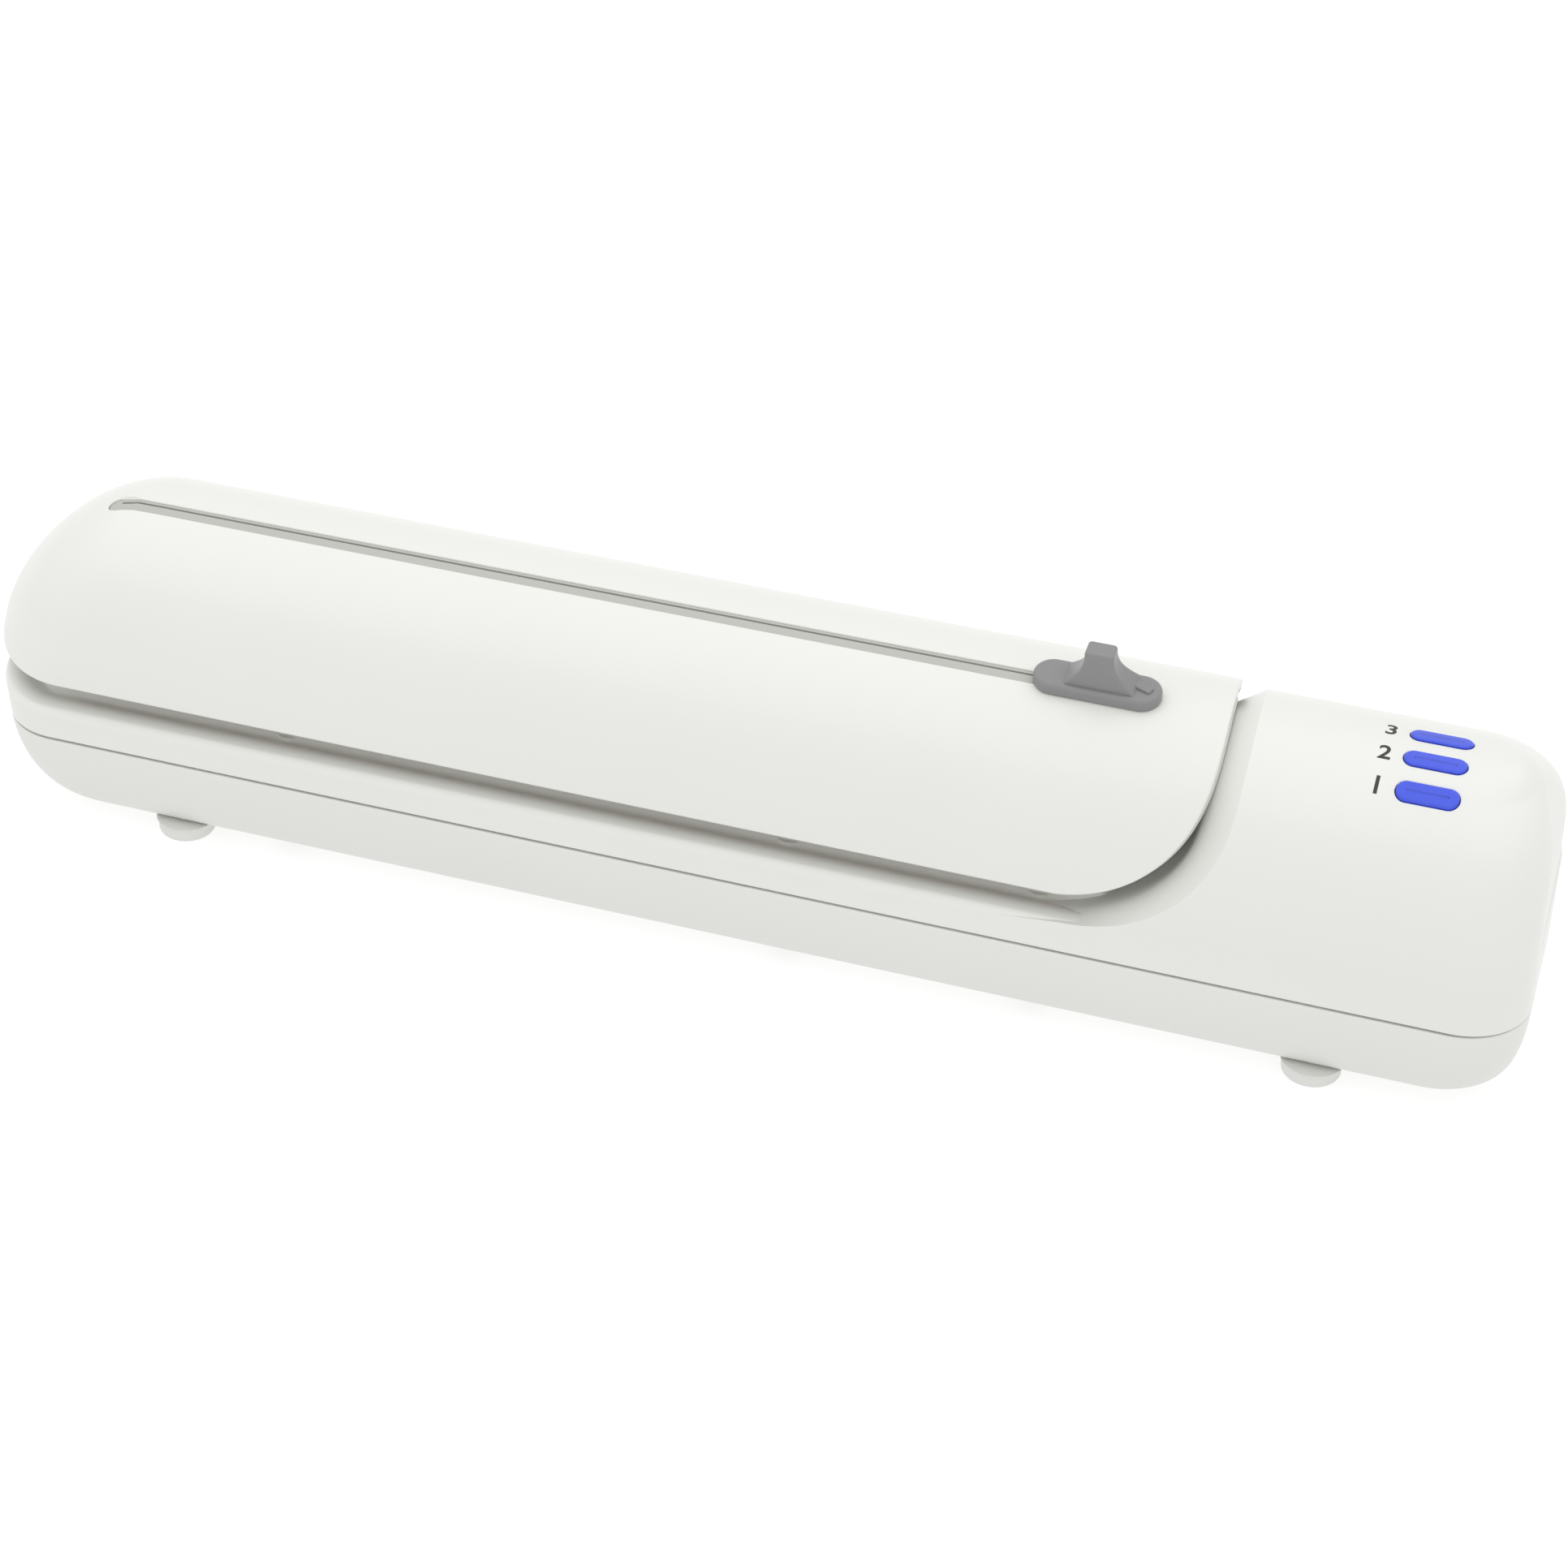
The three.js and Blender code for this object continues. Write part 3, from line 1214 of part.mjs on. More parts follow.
function turnedBox(x, v, length, width, degrees) {
  const turn = radians(degrees);
  return box(-length / 2, length / 2, -width / 2, width / 2).map(([a, b]) => [
    x + a * Math.cos(turn) - b * Math.sin(turn),
    v + a * Math.sin(turn) + b * Math.cos(turn),
  ]);
}

function makeKnob() {
  const half = PLATE_WIDTH / 2;
  const plate = prism(
    roundedBox(-PLATE_LENGTH / 2, PLATE_LENGTH / 2, -half, half, half),
    -OVERSHOOT,
    PLATE_THICKNESS,
    onPlate,
  );
  const fin = makeFin();
  const tab = prism(
    turnedBox(TAB_X, 0, TAB_LENGTH, TAB_WIDTH, TAB_TURN),
    PLATE_THICKNESS / 2,
    PLATE_THICKNESS + TAB_HEIGHT,
    onPlate,
  );
  const seat = lidForm(-PLATE_FLOAT, INNER_CORNER_STEPS, 1);
  return plate.add(fin).add(tab).subtract(seat).subtract(neckShape(GAP));
}

function neckShape(margin) {
  const halfLength = NECK_LENGTH / 2 + margin;
  const halfWidth = NECK_THICKNESS / 2 + margin;
  const outline = box(SLIDER_X - halfLength, SLIDER_X + halfLength, SLIT_Y - halfWidth, SLIT_Y + halfWidth);
  return prism(outline, shoeTop() - OVERSHOOT, crownAt(PLATE_Y) + NECK_RISE + margin, upright);
}

function shoeTop() {
  return crownAt(SLOT_FRONT_Y) - LID_WALL - RAIL_THICKNESS - SHOE_CLEARANCE;
}

function makeCarriage() {
  const top = shoeTop();
  const shoe = prism(
    box(
      SLIDER_X - SHOE_LENGTH / 2,
      SLIDER_X + SHOE_LENGTH / 2,
      SLIT_Y - SHOE_WIDTH / 2,
      SLIT_Y + SHOE_WIDTH / 2,
    ),
    top - SHOE_HEIGHT,
    top,
    upright,
  );
  const stem = prism(
    box(
      SLIDER_X - STEM_LENGTH / 2,
      SLIDER_X + STEM_LENGTH / 2,
      SLIT_Y - STEM_WIDTH / 2,
      SLIT_Y + STEM_WIDTH / 2,
    ),
    STEM_LOW,
    top - SHOE_HEIGHT / 2,
    upright,
  );
  return shoe.add(stem).add(neckShape(0)).subtract(bladeShape(GAP));
}

function bladeShape(margin) {
  const half = BLADE_LENGTH / 2 + margin;
  const top = STEM_LOW + BLADE_GRIP + margin;
  const tip = BLADE_LOW;
  const outline = [
    [SLIDER_X - half, top],
    [SLIDER_X - half, tip + BLADE_LENGTH],
    [SLIDER_X, tip],
    [SLIDER_X + half, tip + BLADE_LENGTH],
    [SLIDER_X + half, top],
  ];
  const thick = BLADE_THICKNESS / 2 + margin / 2;
  return prism(outline, SLIT_Y - thick, SLIT_Y + thick, alongY);
}

// Buttons
function makeButton(v) {
  const key = prism(
    pill(BUTTON_LENGTH, BUTTON_HEIGHT, v),
    -BUTTON_FLANGE_DEPTH - OVERSHOOT,
    CROWN_RADIUS / 2,
    onBoard,
  );
  const flange = prism(
    pill(BUTTON_LENGTH + BUTTON_FLANGE_MARGIN * 2, BUTTON_HEIGHT + BUTTON_FLANGE_MARGIN * 2, v),
    -BUTTON_FLANGE_DEPTH - GAP - BUTTON_FLANGE,
    -BUTTON_FLANGE_DEPTH - GAP,
    onBoard,
  );
  const stemLow = -BOARD_DEPTH + SWITCH_HEIGHT + SWITCH_CAP_HEIGHT + SWITCH_GAP + BUTTON_TRAVEL;
  const stemTop = -BUTTON_FLANGE_DEPTH - BUTTON_FLANGE;
  const stem = prism(circle(0, v, STEM_RADIUS, SMALL_STEPS), stemLow, stemTop, onBoard);
  return key.intersect(buttonCover()).add(flange).add(stem);
}

function buttonCover() {
  const heights = formHeights(CASE_FORM, HOUSING_END_START, -BUTTON_PROUD, 1);
  const rings = heights.map((z) => {
    const front = surfacePoint(CASE_FORM, z, -1, -BUTTON_PROUD);
    const back = surfacePoint(CASE_FORM, z, 1, -BUTTON_PROUD);
    const reach = BUTTON_LENGTH;
    return ringAt(BUTTON_X - reach, BUTTON_X + reach, front.y, back.y, GAP, GAP, z, 1);
  });
  return loft(rings);
}

// Control board, switches and lamps
function makeBoard() {
  const halfLength = BOARD_LENGTH / 2;
  const halfWidth = BOARD_WIDTH / 2;
  const outline = roundedBox(-halfLength, halfLength, -halfWidth, halfWidth, BOARD_CORNER, COARSE_STEPS);
  const holes = boardPostPlaces().map(([u, v]) => circle(u, v, SMALL_SCREW_RADIUS + GAP, SMALL_STEPS));
  return prism(outline, -BOARD_DEPTH - BOARD_THICKNESS, -BOARD_DEPTH, onBoard, holes);
}

function makeSwitch(v) {
  const half = SWITCH_SIZE / 2;
  const outline = box(-half, half, v - half, v + half);
  const block = prism(outline, -BOARD_DEPTH + GAP, -BOARD_DEPTH + SWITCH_HEIGHT, onBoard);
  const cap = prism(
    circle(0, v, SWITCH_CAP_RADIUS, SMALL_STEPS),
    -BOARD_DEPTH + SWITCH_HEIGHT / 2,
    -BOARD_DEPTH + SWITCH_HEIGHT + SWITCH_CAP_HEIGHT,
    onBoard,
  );
  return block.add(cap);
}

function makeLamp(v) {
  return prism(
    box(LED_OFFSET - LED_LENGTH / 2, LED_OFFSET + LED_LENGTH / 2, v - LED_WIDTH / 2, v + LED_WIDTH / 2),
    -BOARD_DEPTH + GAP,
    -BOARD_DEPTH + GAP + LED_HEIGHT,
    onBoard,
  );
}

function smallScrew(x, y, seat, down, place) {
  const head = prism(
    circle(x, y, SMALL_SCREW_HEAD, SMALL_STEPS),
    seat - down * GAP,
    seat - down * (GAP + SMALL_SCREW_HEAD_HEIGHT),
    place,
  );
  const shank = prism(
    circle(x, y, SMALL_SCREW_RADIUS, SMALL_STEPS),
    seat - down * (GAP + SMALL_SCREW_HEAD_HEIGHT / 2),
    seat + down * (SMALL_SCREW_LENGTH - BOARD_THICKNESS),
    place,
  );
  return head.add(shank);
}

// Case screws
function makeCaseScrew(x, y) {
  const top = SCREW_SEAT - GAP;
  const tip = SCREW_SEAT + SCREW_LENGTH;
  const head = roundPost(x, y, SCREW_HEAD_RADIUS, top - SCREW_HEAD_HEIGHT, top, SMALL_STEPS);
  const shank = roundPost(x, y, SCREW_RADIUS, top - SCREW_HEAD_HEIGHT / 2, tip, SMALL_STEPS);
  return head.add(shank);
}

// Feet: turned rubber-like pads with a plug that presses into the tray
function makeFoot(x, y) {
  const top = FOOT_HEIGHT - GAP;
  const profile = [
    [0, 0],
    [FOOT_RADIUS - FOOT_ROUND, 0],
    [FOOT_RADIUS - FOOT_ROUND * FOOT_EDGE_SHARE, FOOT_ROUND * FOOT_EDGE_SHARE],
    [FOOT_RADIUS, FOOT_ROUND],
    [FOOT_RADIUS, top - FOOT_ROUND],
    [FOOT_RADIUS + FOOT_FLARE, top],
    [FOOT_PLUG_RADIUS, top],
    [FOOT_PLUG_RADIUS, FOOT_HEIGHT + FOOT_PLUG_RISE],
    [0, FOOT_HEIGHT + FOOT_PLUG_RISE],
  ];
  const lathe = new THREE.LatheGeometry(profile.map(([r, z]) => new THREE.Vector2(r, z)), ROUND_STEPS);
  lathe.rotateX(Math.PI / 2);
  lathe.translate(x, y, 0);
  return solidOf(lathe);
}

// Pump
function makeMotor() {
  const can = prism(circle(PUMP_Y, PUMP_Z, MOTOR_RADIUS), MOTOR_LEFT, MOTOR_LEFT + MOTOR_LENGTH, acrossX);
  const boss = prism(
    circle(PUMP_Y, PUMP_Z, MOTOR_BOSS_RADIUS, SMALL_STEPS),
    MOTOR_LEFT - MOTOR_BOSS_LENGTH,
    MOTOR_LEFT + OVERSHOOT,
    acrossX,
  );
  return can.add(boss);
}

function makePumpHead() {
  const half = PUMP_HEAD_SIZE / 2;
  const body = prism(
    roundedBox(PUMP_Y - half, PUMP_Y + half, PUMP_Z - half, PUMP_Z + half, PUMP_HEAD_CORNER, COARSE_STEPS),
    PUMP_HEAD_LEFT,
    PUMP_HEAD_RIGHT,
    acrossX,
  );
  const port = prism(
    circle(PUMP_Y, PUMP_Z, PORT_RADIUS, TUBE_STEPS),
    PUMP_HEAD_RIGHT - OVERSHOOT,
    PUMP_HEAD_RIGHT + PORT_LENGTH,
    acrossX,
  );
  const bore = prism(
    circle(PUMP_Y, PUMP_Z, PORT_BORE, TUBE_STEPS),
    PUMP_HEAD_RIGHT - OVERSHOOT * 2,
    PUMP_HEAD_RIGHT + PORT_LENGTH + OVERSHOOT,
    acrossX,
  );
  return body.add(port).subtract(bore);
}

function nippleTop() {
  return -CHAMBER_DEPTH - CHAMBER_WALL - GAP;
}

function makeNipple() {
  const top = nippleTop();
  const flange = prism(circle(NIPPLE_X, NIPPLE_V, NIPPLE_FLANGE_RADIUS), top - NIPPLE_FLANGE, top, onDeck);
  const neck = circle(NIPPLE_X, NIPPLE_V, NIPPLE_HOLE_RADIUS);
  const stub = prism(neck, top - OVERSHOOT, -CHAMBER_DEPTH, onDeck);
  const spout = prism(
    circle(NIPPLE_X, NIPPLE_V, PORT_RADIUS, TUBE_STEPS),
    top - NIPPLE_FLANGE - NIPPLE_LENGTH,
    top - NIPPLE_FLANGE / 2,
    onDeck,
  );
  const bore = prism(
    circle(NIPPLE_X, NIPPLE_V, PORT_BORE, TUBE_STEPS),
    top - NIPPLE_FLANGE - NIPPLE_LENGTH - OVERSHOOT,
    OVERSHOOT,
    onDeck,
  );
  return flange.add(stub).add(spout).subtract(bore);
}

// Air tube: a hollow hose swept from the pump port to the nipple
function makeTube() {
  const low = nippleTop() - NIPPLE_FLANGE;
  const end = new THREE.Vector3(...onDeck(NIPPLE_X, NIPPLE_V, low - GAP * 2));
  const grip = new THREE.Vector3(...onDeck(NIPPLE_X, NIPPLE_V, low - NIPPLE_LENGTH * TUBE_GRIP_SHARE));
  const dive = new THREE.Vector3(...onDeck(NIPPLE_X, NIPPLE_V, low - NIPPLE_LENGTH * TUBE_DIVE_SHARE));
  const start = new THREE.Vector3(PUMP_HEAD_RIGHT + GAP * 2, PUMP_Y, PUMP_Z);
  const run = new THREE.Vector3(PUMP_HEAD_RIGHT + PORT_LENGTH, PUMP_Y, PUMP_Z);
  const firstBend = new THREE.Vector3().lerpVectors(run, dive, TUBE_BEND_SHARES[0]);
  firstBend.y = PUMP_Y;
  firstBend.z = PUMP_Z - TUBE_RADIUS;
  const secondBend = new THREE.Vector3().lerpVectors(run, dive, TUBE_BEND_SHARES[1]);
  secondBend.x += TUBE_RADIUS;
  secondBend.y = dive.y;
  secondBend.z = PUMP_Z - TUBE_RADIUS;
  const stops = [start, run, firstBend, secondBend, dive, grip, end];
  const path = new THREE.CatmullRomCurve3(stops, false, 'centripetal');
  const frames = path.computeFrenetFrames(TUBE_LENGTH_STEPS, false);
  const bore = PORT_RADIUS / Math.cos(Math.PI / TUBE_STEPS) + RUNNING_CLEARANCE;
  const ring = (i, radius) => {
    const centre = path.getPointAt(i / TUBE_LENGTH_STEPS);
    return circle(0, 0, radius, TUBE_STEPS).map(([a, b]) => {
      const p = centre.clone();
      p.addScaledVector(frames.normals[i], a);
      p.addScaledVector(frames.binormals[i], b);
      return [p.x, p.y, p.z];
    });
  };
  const points = [];
  const triangles = [];
  const loops = [];
  for (let i = 0; i <= TUBE_LENGTH_STEPS; i += 1) {
    loops.push(ring(i, TUBE_RADIUS));
  }
  for (let i = TUBE_LENGTH_STEPS; i >= 0; i -= 1) {
    loops.push(ring(i, bore));
  }
  points.push(...loops.flat());
  loops.forEach((loop, i) => {
    const here = i * TUBE_STEPS;
    const next = ((i + 1) % loops.length) * TUBE_STEPS;
    for (let j = 0; j < TUBE_STEPS; j += 1) {
      const k = (j + 1) % TUBE_STEPS;
      triangles.push([here + j, here + k, next + k]);
      triangles.push([here + j, next + k, next + j]);
    }
  });
  return solidFrom(points, triangles);
}

// Power supply
function makeSupplyBoard() {
  const halfLength = SUPPLY_BOARD_LENGTH / 2;
  const halfWidth = SUPPLY_BOARD_WIDTH / 2;
  const outline = roundedBox(
    SUPPLY_X - halfLength,
    SUPPLY_X + halfLength,
    SUPPLY_Y - halfWidth,
    SUPPLY_Y + halfWidth,
    BOARD_CORNER,
    COARSE_STEPS,
  );
  const holes = supplyPostPlaces().map(([x, y]) => circle(x, y, SMALL_SCREW_RADIUS + GAP, SMALL_STEPS));
  return prism(outline, SUPPLY_BOARD_LOW, SUPPLY_BOARD_LOW + BOARD_THICKNESS, upright, holes);
}

const SUPPLY_TOP = SUPPLY_BOARD_LOW + BOARD_THICKNESS + GAP;

function makeTransformer() {
  const x = SUPPLY_X + CORE_X;
  const core = prism(
    box(x - CORE_LENGTH / 2, x + CORE_LENGTH / 2, SUPPLY_Y - CORE_WIDTH / 2, SUPPLY_Y + CORE_WIDTH / 2),
    SUPPLY_TOP + BOBBIN_MARGIN,
    SUPPLY_TOP + CORE_HEIGHT - BOBBIN_MARGIN,
    upright,
  );
  const bobbin = prism(
    roundedBox(
      x - BOBBIN_LENGTH / 2,
      x + BOBBIN_LENGTH / 2,
      SUPPLY_Y - CORE_WIDTH / 2 + BOBBIN_MARGIN,
      SUPPLY_Y + CORE_WIDTH / 2 - BOBBIN_MARGIN,
      BOBBIN_MARGIN,
      COARSE_STEPS,
    ),
    SUPPLY_TOP,
    SUPPLY_TOP + CORE_HEIGHT,
    upright,
  );
  return core.add(bobbin);
}

function makeCapacitor() {
  const x = SUPPLY_X + CAPACITOR_X;
  return roundPost(x, SUPPLY_Y, CAPACITOR_RADIUS, SUPPLY_TOP, SUPPLY_TOP + CAPACITOR_HEIGHT);
}

// Mains inlet
function makeInlet() {
  const front = HALF_DEPTH - INLET_DEPTH;
  const body = prism(inletOutline(0), front, HALF_DEPTH - GAP, alongY);
  const flange = prism(
    inletOutline(INLET_FLANGE_MARGIN),
    HALF_DEPTH - WALL - GAP - INLET_FLANGE,
    HALF_DEPTH - WALL - GAP,
    alongY,
  );
  const socketHeight = INLET_SOCKET_HEIGHT / 2;
  const socket = prism(
    inletLoop(INLET_SOCKET_WIDTH / 2, socketHeight, socketHeight),
    HALF_DEPTH - INLET_SOCKET_DEPTH,
    HALF_DEPTH + OVERSHOOT,
    alongY,
  );
  return body.add(flange).subtract(socket)
    .subtract(inletPin(-1, RUNNING_CLEARANCE))
    .subtract(inletPin(1, RUNNING_CLEARANCE));
}

function inletPin(side, margin) {
  return prism(
    circle(INLET_X + (side * INLET_PIN_SPACING) / 2, INLET_Z, INLET_PIN_RADIUS + margin, SMALL_STEPS),
    HALF_DEPTH - INLET_DEPTH - INLET_PIN_TAIL,
    HALF_DEPTH - INLET_PIN_RECESS,
    alongY,
  );
}

// Seals and strips
function makeLowerSeal() {
  return sealRing(-SEAL_SEAT + GAP, SEAL_HEIGHT, 0);
}

function makeUpperSeal() {
  return sealRing(SEAL_HEIGHT + GAP, LID_LIFT + SEAL_SEAT - GAP, 0);
}

function makeHeaterBar() {
  return strip(HEATER_WIDTH, -HEATER_SEAT + GAP, HEATER_HEIGHT);
}

function makeHeaterTape() {
  const cover = strip(TAPE_WIDTH, TAPE_SKIRT / 2, HEATER_HEIGHT + GAP + TAPE_THICKNESS, GAP);
  return cover.subtract(strip(HEATER_WIDTH, -FAR, HEATER_HEIGHT + GAP, GAP));
}

function makePressStrip() {
  const low = HEATER_HEIGHT + GAP * 2 + TAPE_THICKNESS;
  const pad = strip(PRESS_WIDTH, low, LID_LIFT, 0);
  return pad.add(pressKey(0, LID_LIFT - OVERSHOOT, LID_LIFT + GAP + PRESS_KEY_DEPTH));
}

function makeHingePin(x) {
  const reach = LUG_WIDTH / 2 + EAR_WIDTH;
  return prism(circle(HINGE_Y, HINGE_Z, HINGE_PIN_RADIUS, PIN_STEPS), x - reach, x + reach, acrossX);
}

// Assembly
const object = new THREE.Group();
object.name = 'vacuum_sealer';
const body = new THREE.Group();
body.name = 'case_frame';
body.position.x = LID_END_OVERHANG / 2;
object.add(body);

function add(parent, name, solid, color, roughness, metalness = 0) {
  const material = new THREE.MeshStandardMaterial({ color, roughness, metalness });
  material.name = name;
  const mesh = new THREE.Mesh(geometryOf(solid), material);
  mesh.name = name;
  parent.add(mesh);
  return mesh;
}

function group(parent, name) {
  const node = new THREE.Group();
  node.name = name;
  parent.add(node);
  return node;
}

const base = group(body, 'base_group');
const lid = group(body, 'lid_group');
const cutter = group(lid, 'cutter_group');

const GLOSS = 0.25;
const SATIN = 0.5;
const MATTE = 0.8;

add(base, 'base_tray', makeTray(), 0xe6e7e3, GLOSS);
add(base, 'upper_case', makeUpperCase(), 0xf0f1ee, GLOSS);
const FOOT_NAMES = ['foot_front_left', 'foot_front_right', 'foot_back_left', 'foot_back_right'];
FOOT_PLACES.forEach(([x, y], i) => {
  add(base, FOOT_NAMES[i], makeFoot(x, y), 0xe4e5e1, MATTE);
});
add(base, 'lower_seal', makeLowerSeal(), 0x3a3c3f, MATTE);
add(base, 'heater_bar', makeHeaterBar(), 0xb9bcc0, SATIN, 1);
add(base, 'heater_tape', makeHeaterTape(), 0x8a6a4a, SATIN);
add(base, 'suction_nipple', makeNipple(), 0xd8d8d4, SATIN);
add(base, 'air_tube', makeTube(), 0xd9dcdd, SATIN);
add(base, 'pump_motor', makeMotor(), 0xa9adb2, SATIN, 1);
add(base, 'pump_head', makePumpHead(), 0x2d2f33, SATIN);
add(base, 'supply_board', makeSupplyBoard(), 0x1f6b3c, SATIN);
add(base, 'transformer', makeTransformer(), 0x4a4036, MATTE);
add(base, 'capacitor', makeCapacitor(), 0x22252b, SATIN);
add(base, 'control_board', makeBoard(), 0x1f6b3c, SATIN);
BUTTON_PLACES.forEach((v, i) => {
  add(base, `tact_switch_${ROW_NAMES[i]}`, makeSwitch(v), 0x202226, SATIN);
  add(base, `button_lamp_${ROW_NAMES[i]}`, makeLamp(v), 0xf4f0d8, SATIN);
});
boardPostPlaces().forEach(([u, v], i) => {
  const screw = smallScrew(u, v, -BOARD_DEPTH - BOARD_THICKNESS, 1, onBoard);
  add(base, `control_board_screw_${i + 1}`, screw, 0xb8bbc0, SATIN, 1);
});
supplyPostPlaces().forEach(([x, y], i) => {
  const screw = smallScrew(x, y, SUPPLY_BOARD_LOW + BOARD_THICKNESS, -1, upright);
  add(base, `supply_board_screw_${i + 1}`, screw, 0xb8bbc0, SATIN, 1);
});
SCREW_PLACES.forEach(([x, y], i) => {
  add(base, `case_screw_${i + 1}`, makeCaseScrew(x, y), 0xb8bbc0, SATIN, 1);
});
add(base, 'mains_inlet', makeInlet(), 0x1c1e21, SATIN);
add(base, 'inlet_pin_left', inletPin(-1, 0), 0xc9b37a, SATIN, 1);
add(base, 'inlet_pin_right', inletPin(1, 0), 0xc9b37a, SATIN, 1);
add(base, 'hinge_pin_left', makeHingePin(HINGE_LEFT_X), 0xb8bbc0, SATIN, 1);
add(base, 'hinge_pin_right', makeHingePin(HINGE_RIGHT_X), 0xb8bbc0, SATIN, 1);
add(lid, 'lid_shell', makeLidShell(), 0xf2f3f0, GLOSS);
add(lid, 'lid_liner', makeLiner(), 0xeceeea, SATIN);
add(lid, 'upper_seal', makeUpperSeal(), 0x3a3c3f, MATTE);
add(lid, 'press_strip', makePressStrip(), 0x9a9c9e, MATTE);
add(lid, 'cutter_rail', makeRail(), 0xbfbfb8, SATIN);
add(cutter, 'cutter_knob', makeKnob(), 0x8f9092, SATIN);
add(cutter, 'cutter_carriage', makeCarriage(), 0x55575a, SATIN);
add(cutter, 'cutter_blade', bladeShape(0), 0xc6c9cc, SATIN, 1);
BUTTON_PLACES.forEach((v, i) => {
  add(base, `button_${ROW_NAMES[i]}`, makeButton(v), 0x5c60e8, GLOSS);
});

export default object;
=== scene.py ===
"""Countertop vacuum sealer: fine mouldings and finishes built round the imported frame.

Laid out as an add-on and run as a script. Sizes are in metres, with lengths written as millimetres
times MM. Case coordinates have X measured from the middle of the base tray; solid() moves them to
the frame's own place.
"""

import math

import bmesh
import bpy
import numpy as np
from bpy.props import FloatProperty, FloatVectorProperty, PointerProperty
from bpy.types import Operator, Panel, PropertyGroup
from mathutils import Matrix, Vector


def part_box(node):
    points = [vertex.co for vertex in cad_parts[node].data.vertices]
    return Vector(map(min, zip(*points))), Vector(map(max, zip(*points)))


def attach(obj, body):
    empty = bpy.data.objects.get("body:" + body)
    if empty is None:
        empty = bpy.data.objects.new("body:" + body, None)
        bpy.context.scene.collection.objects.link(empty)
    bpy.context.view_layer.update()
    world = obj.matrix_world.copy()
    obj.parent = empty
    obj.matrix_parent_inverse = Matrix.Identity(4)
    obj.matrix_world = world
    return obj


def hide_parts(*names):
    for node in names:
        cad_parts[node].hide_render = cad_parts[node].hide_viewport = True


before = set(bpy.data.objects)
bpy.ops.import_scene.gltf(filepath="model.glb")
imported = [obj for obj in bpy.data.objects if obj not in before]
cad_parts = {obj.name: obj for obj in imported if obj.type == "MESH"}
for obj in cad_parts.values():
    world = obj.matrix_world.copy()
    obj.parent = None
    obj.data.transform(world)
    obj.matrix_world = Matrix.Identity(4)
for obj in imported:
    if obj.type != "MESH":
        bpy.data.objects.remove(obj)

bl_info = {
    "name": "Vacuum sealer",
    "version": (1, 0, 0),
    "blender": (4, 5, 0),
    "location": "View3D > Sidebar > Sealer",
    "description": "Builds the mouldings, soft parts and finishes of a countertop vacuum sealer",
    "category": "Object",
}

MM = 0.001
TRAY_LOW_CORNER, TRAY_HIGH_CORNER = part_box("base_tray")
MIDDLE_X = round((TRAY_LOW_CORNER.x + TRAY_HIGH_CORNER.x) / 2, 5)
HALF_LENGTH = round((TRAY_HIGH_CORNER.x - TRAY_LOW_CORNER.x) / 2, 5)
HALF_DEPTH = round((TRAY_HIGH_CORNER.y - TRAY_LOW_CORNER.y) / 2, 5)

# General fits and the steps of round forms
GAP = 0.3 * MM
RUNNING_CLEARANCE = 0.1 * MM
SLIVER = 0.012 * MM
OVERSHOOT = 1 * MM
FAR = 400 * MM
CORNER_STEPS = 28
COARSE_STEPS = 8
CROWN_STEPS = 40
BROW_STEPS = 24
EDGE_STEPS = 5
SOFT_EDGE_STEPS = 6
PILL_STEPS = 16
PILL_RUN_STEPS = 16
RUN_STEPS = 48
ROUND_STEPS = 48
SMALL_ROUND_STEPS = 24
MOUTH_STEPS = 12
FINE_LEVELS = 14
SMOOTH_ANGLE = math.radians(24)
RING_PASSES = 14
SURFACE_PASSES = 34
SURFACE_REACH = 12 * MM
TOOL_RISE = 2 * MM
HOLE_DEPTH = 5 * MM

# Case outline and cross-section, as in the frame
WALL = 2.2 * MM
FOOT_HEIGHT = 4.4 * MM
TRAY_TOP = 24 * MM
PARTING_GAP = 0.6 * MM
CASE_LOW = TRAY_TOP + PARTING_GAP / 2
CASE_CORNER_RADIUS = 17 * MM
HOUSING_CORNER_RADIUS = 16 * MM
CASE_APEX = 75.6 * MM
LID_APEX = 77 * MM
APEX_Y = 1 * MM
STEEP = math.radians(87)
SHOULDER = math.radians(57)
CROWN_RADIUS = 28 * MM
CAP_RADIUS = 38 * MM
CAP = math.radians(30)
CROWN_FLAT = math.radians(1.2)

# Right end of the housing and left end of the lid
HOUSING_END_START = 54 * MM
HOUSING_END_REACH = 12 * MM
HOUSING_DRAFT_SHARE = 0.04
LID_OVERHANG = 5 * MM
LID_END_START = 46.9 * MM
LID_END_REACH = 33.5 * MM
LID_END_POWER = 1.46
LID_CORNER_RADIUS = 22.9 * MM
LID_CORNER_GROWTH = 24.7 * MM
LID_LOW = 36 * MM

# Base tray
TRAY_TUCK = 7 * MM
TRAY_TUCK_LEFT = 8 * MM
TRAY_TUCK_RIGHT = 5 * MM
TRAY_CORNER_GROWTH = 4 * MM
TRAY_FLOOR = 2.2 * MM
TRAY_STEPS = 30
TONGUE_HEIGHT = 2.4 * MM
TONGUE_INSET = 2.6 * MM
TONGUE_THICKNESS = 1.1 * MM
TONGUE_ROOT = 6 * MM

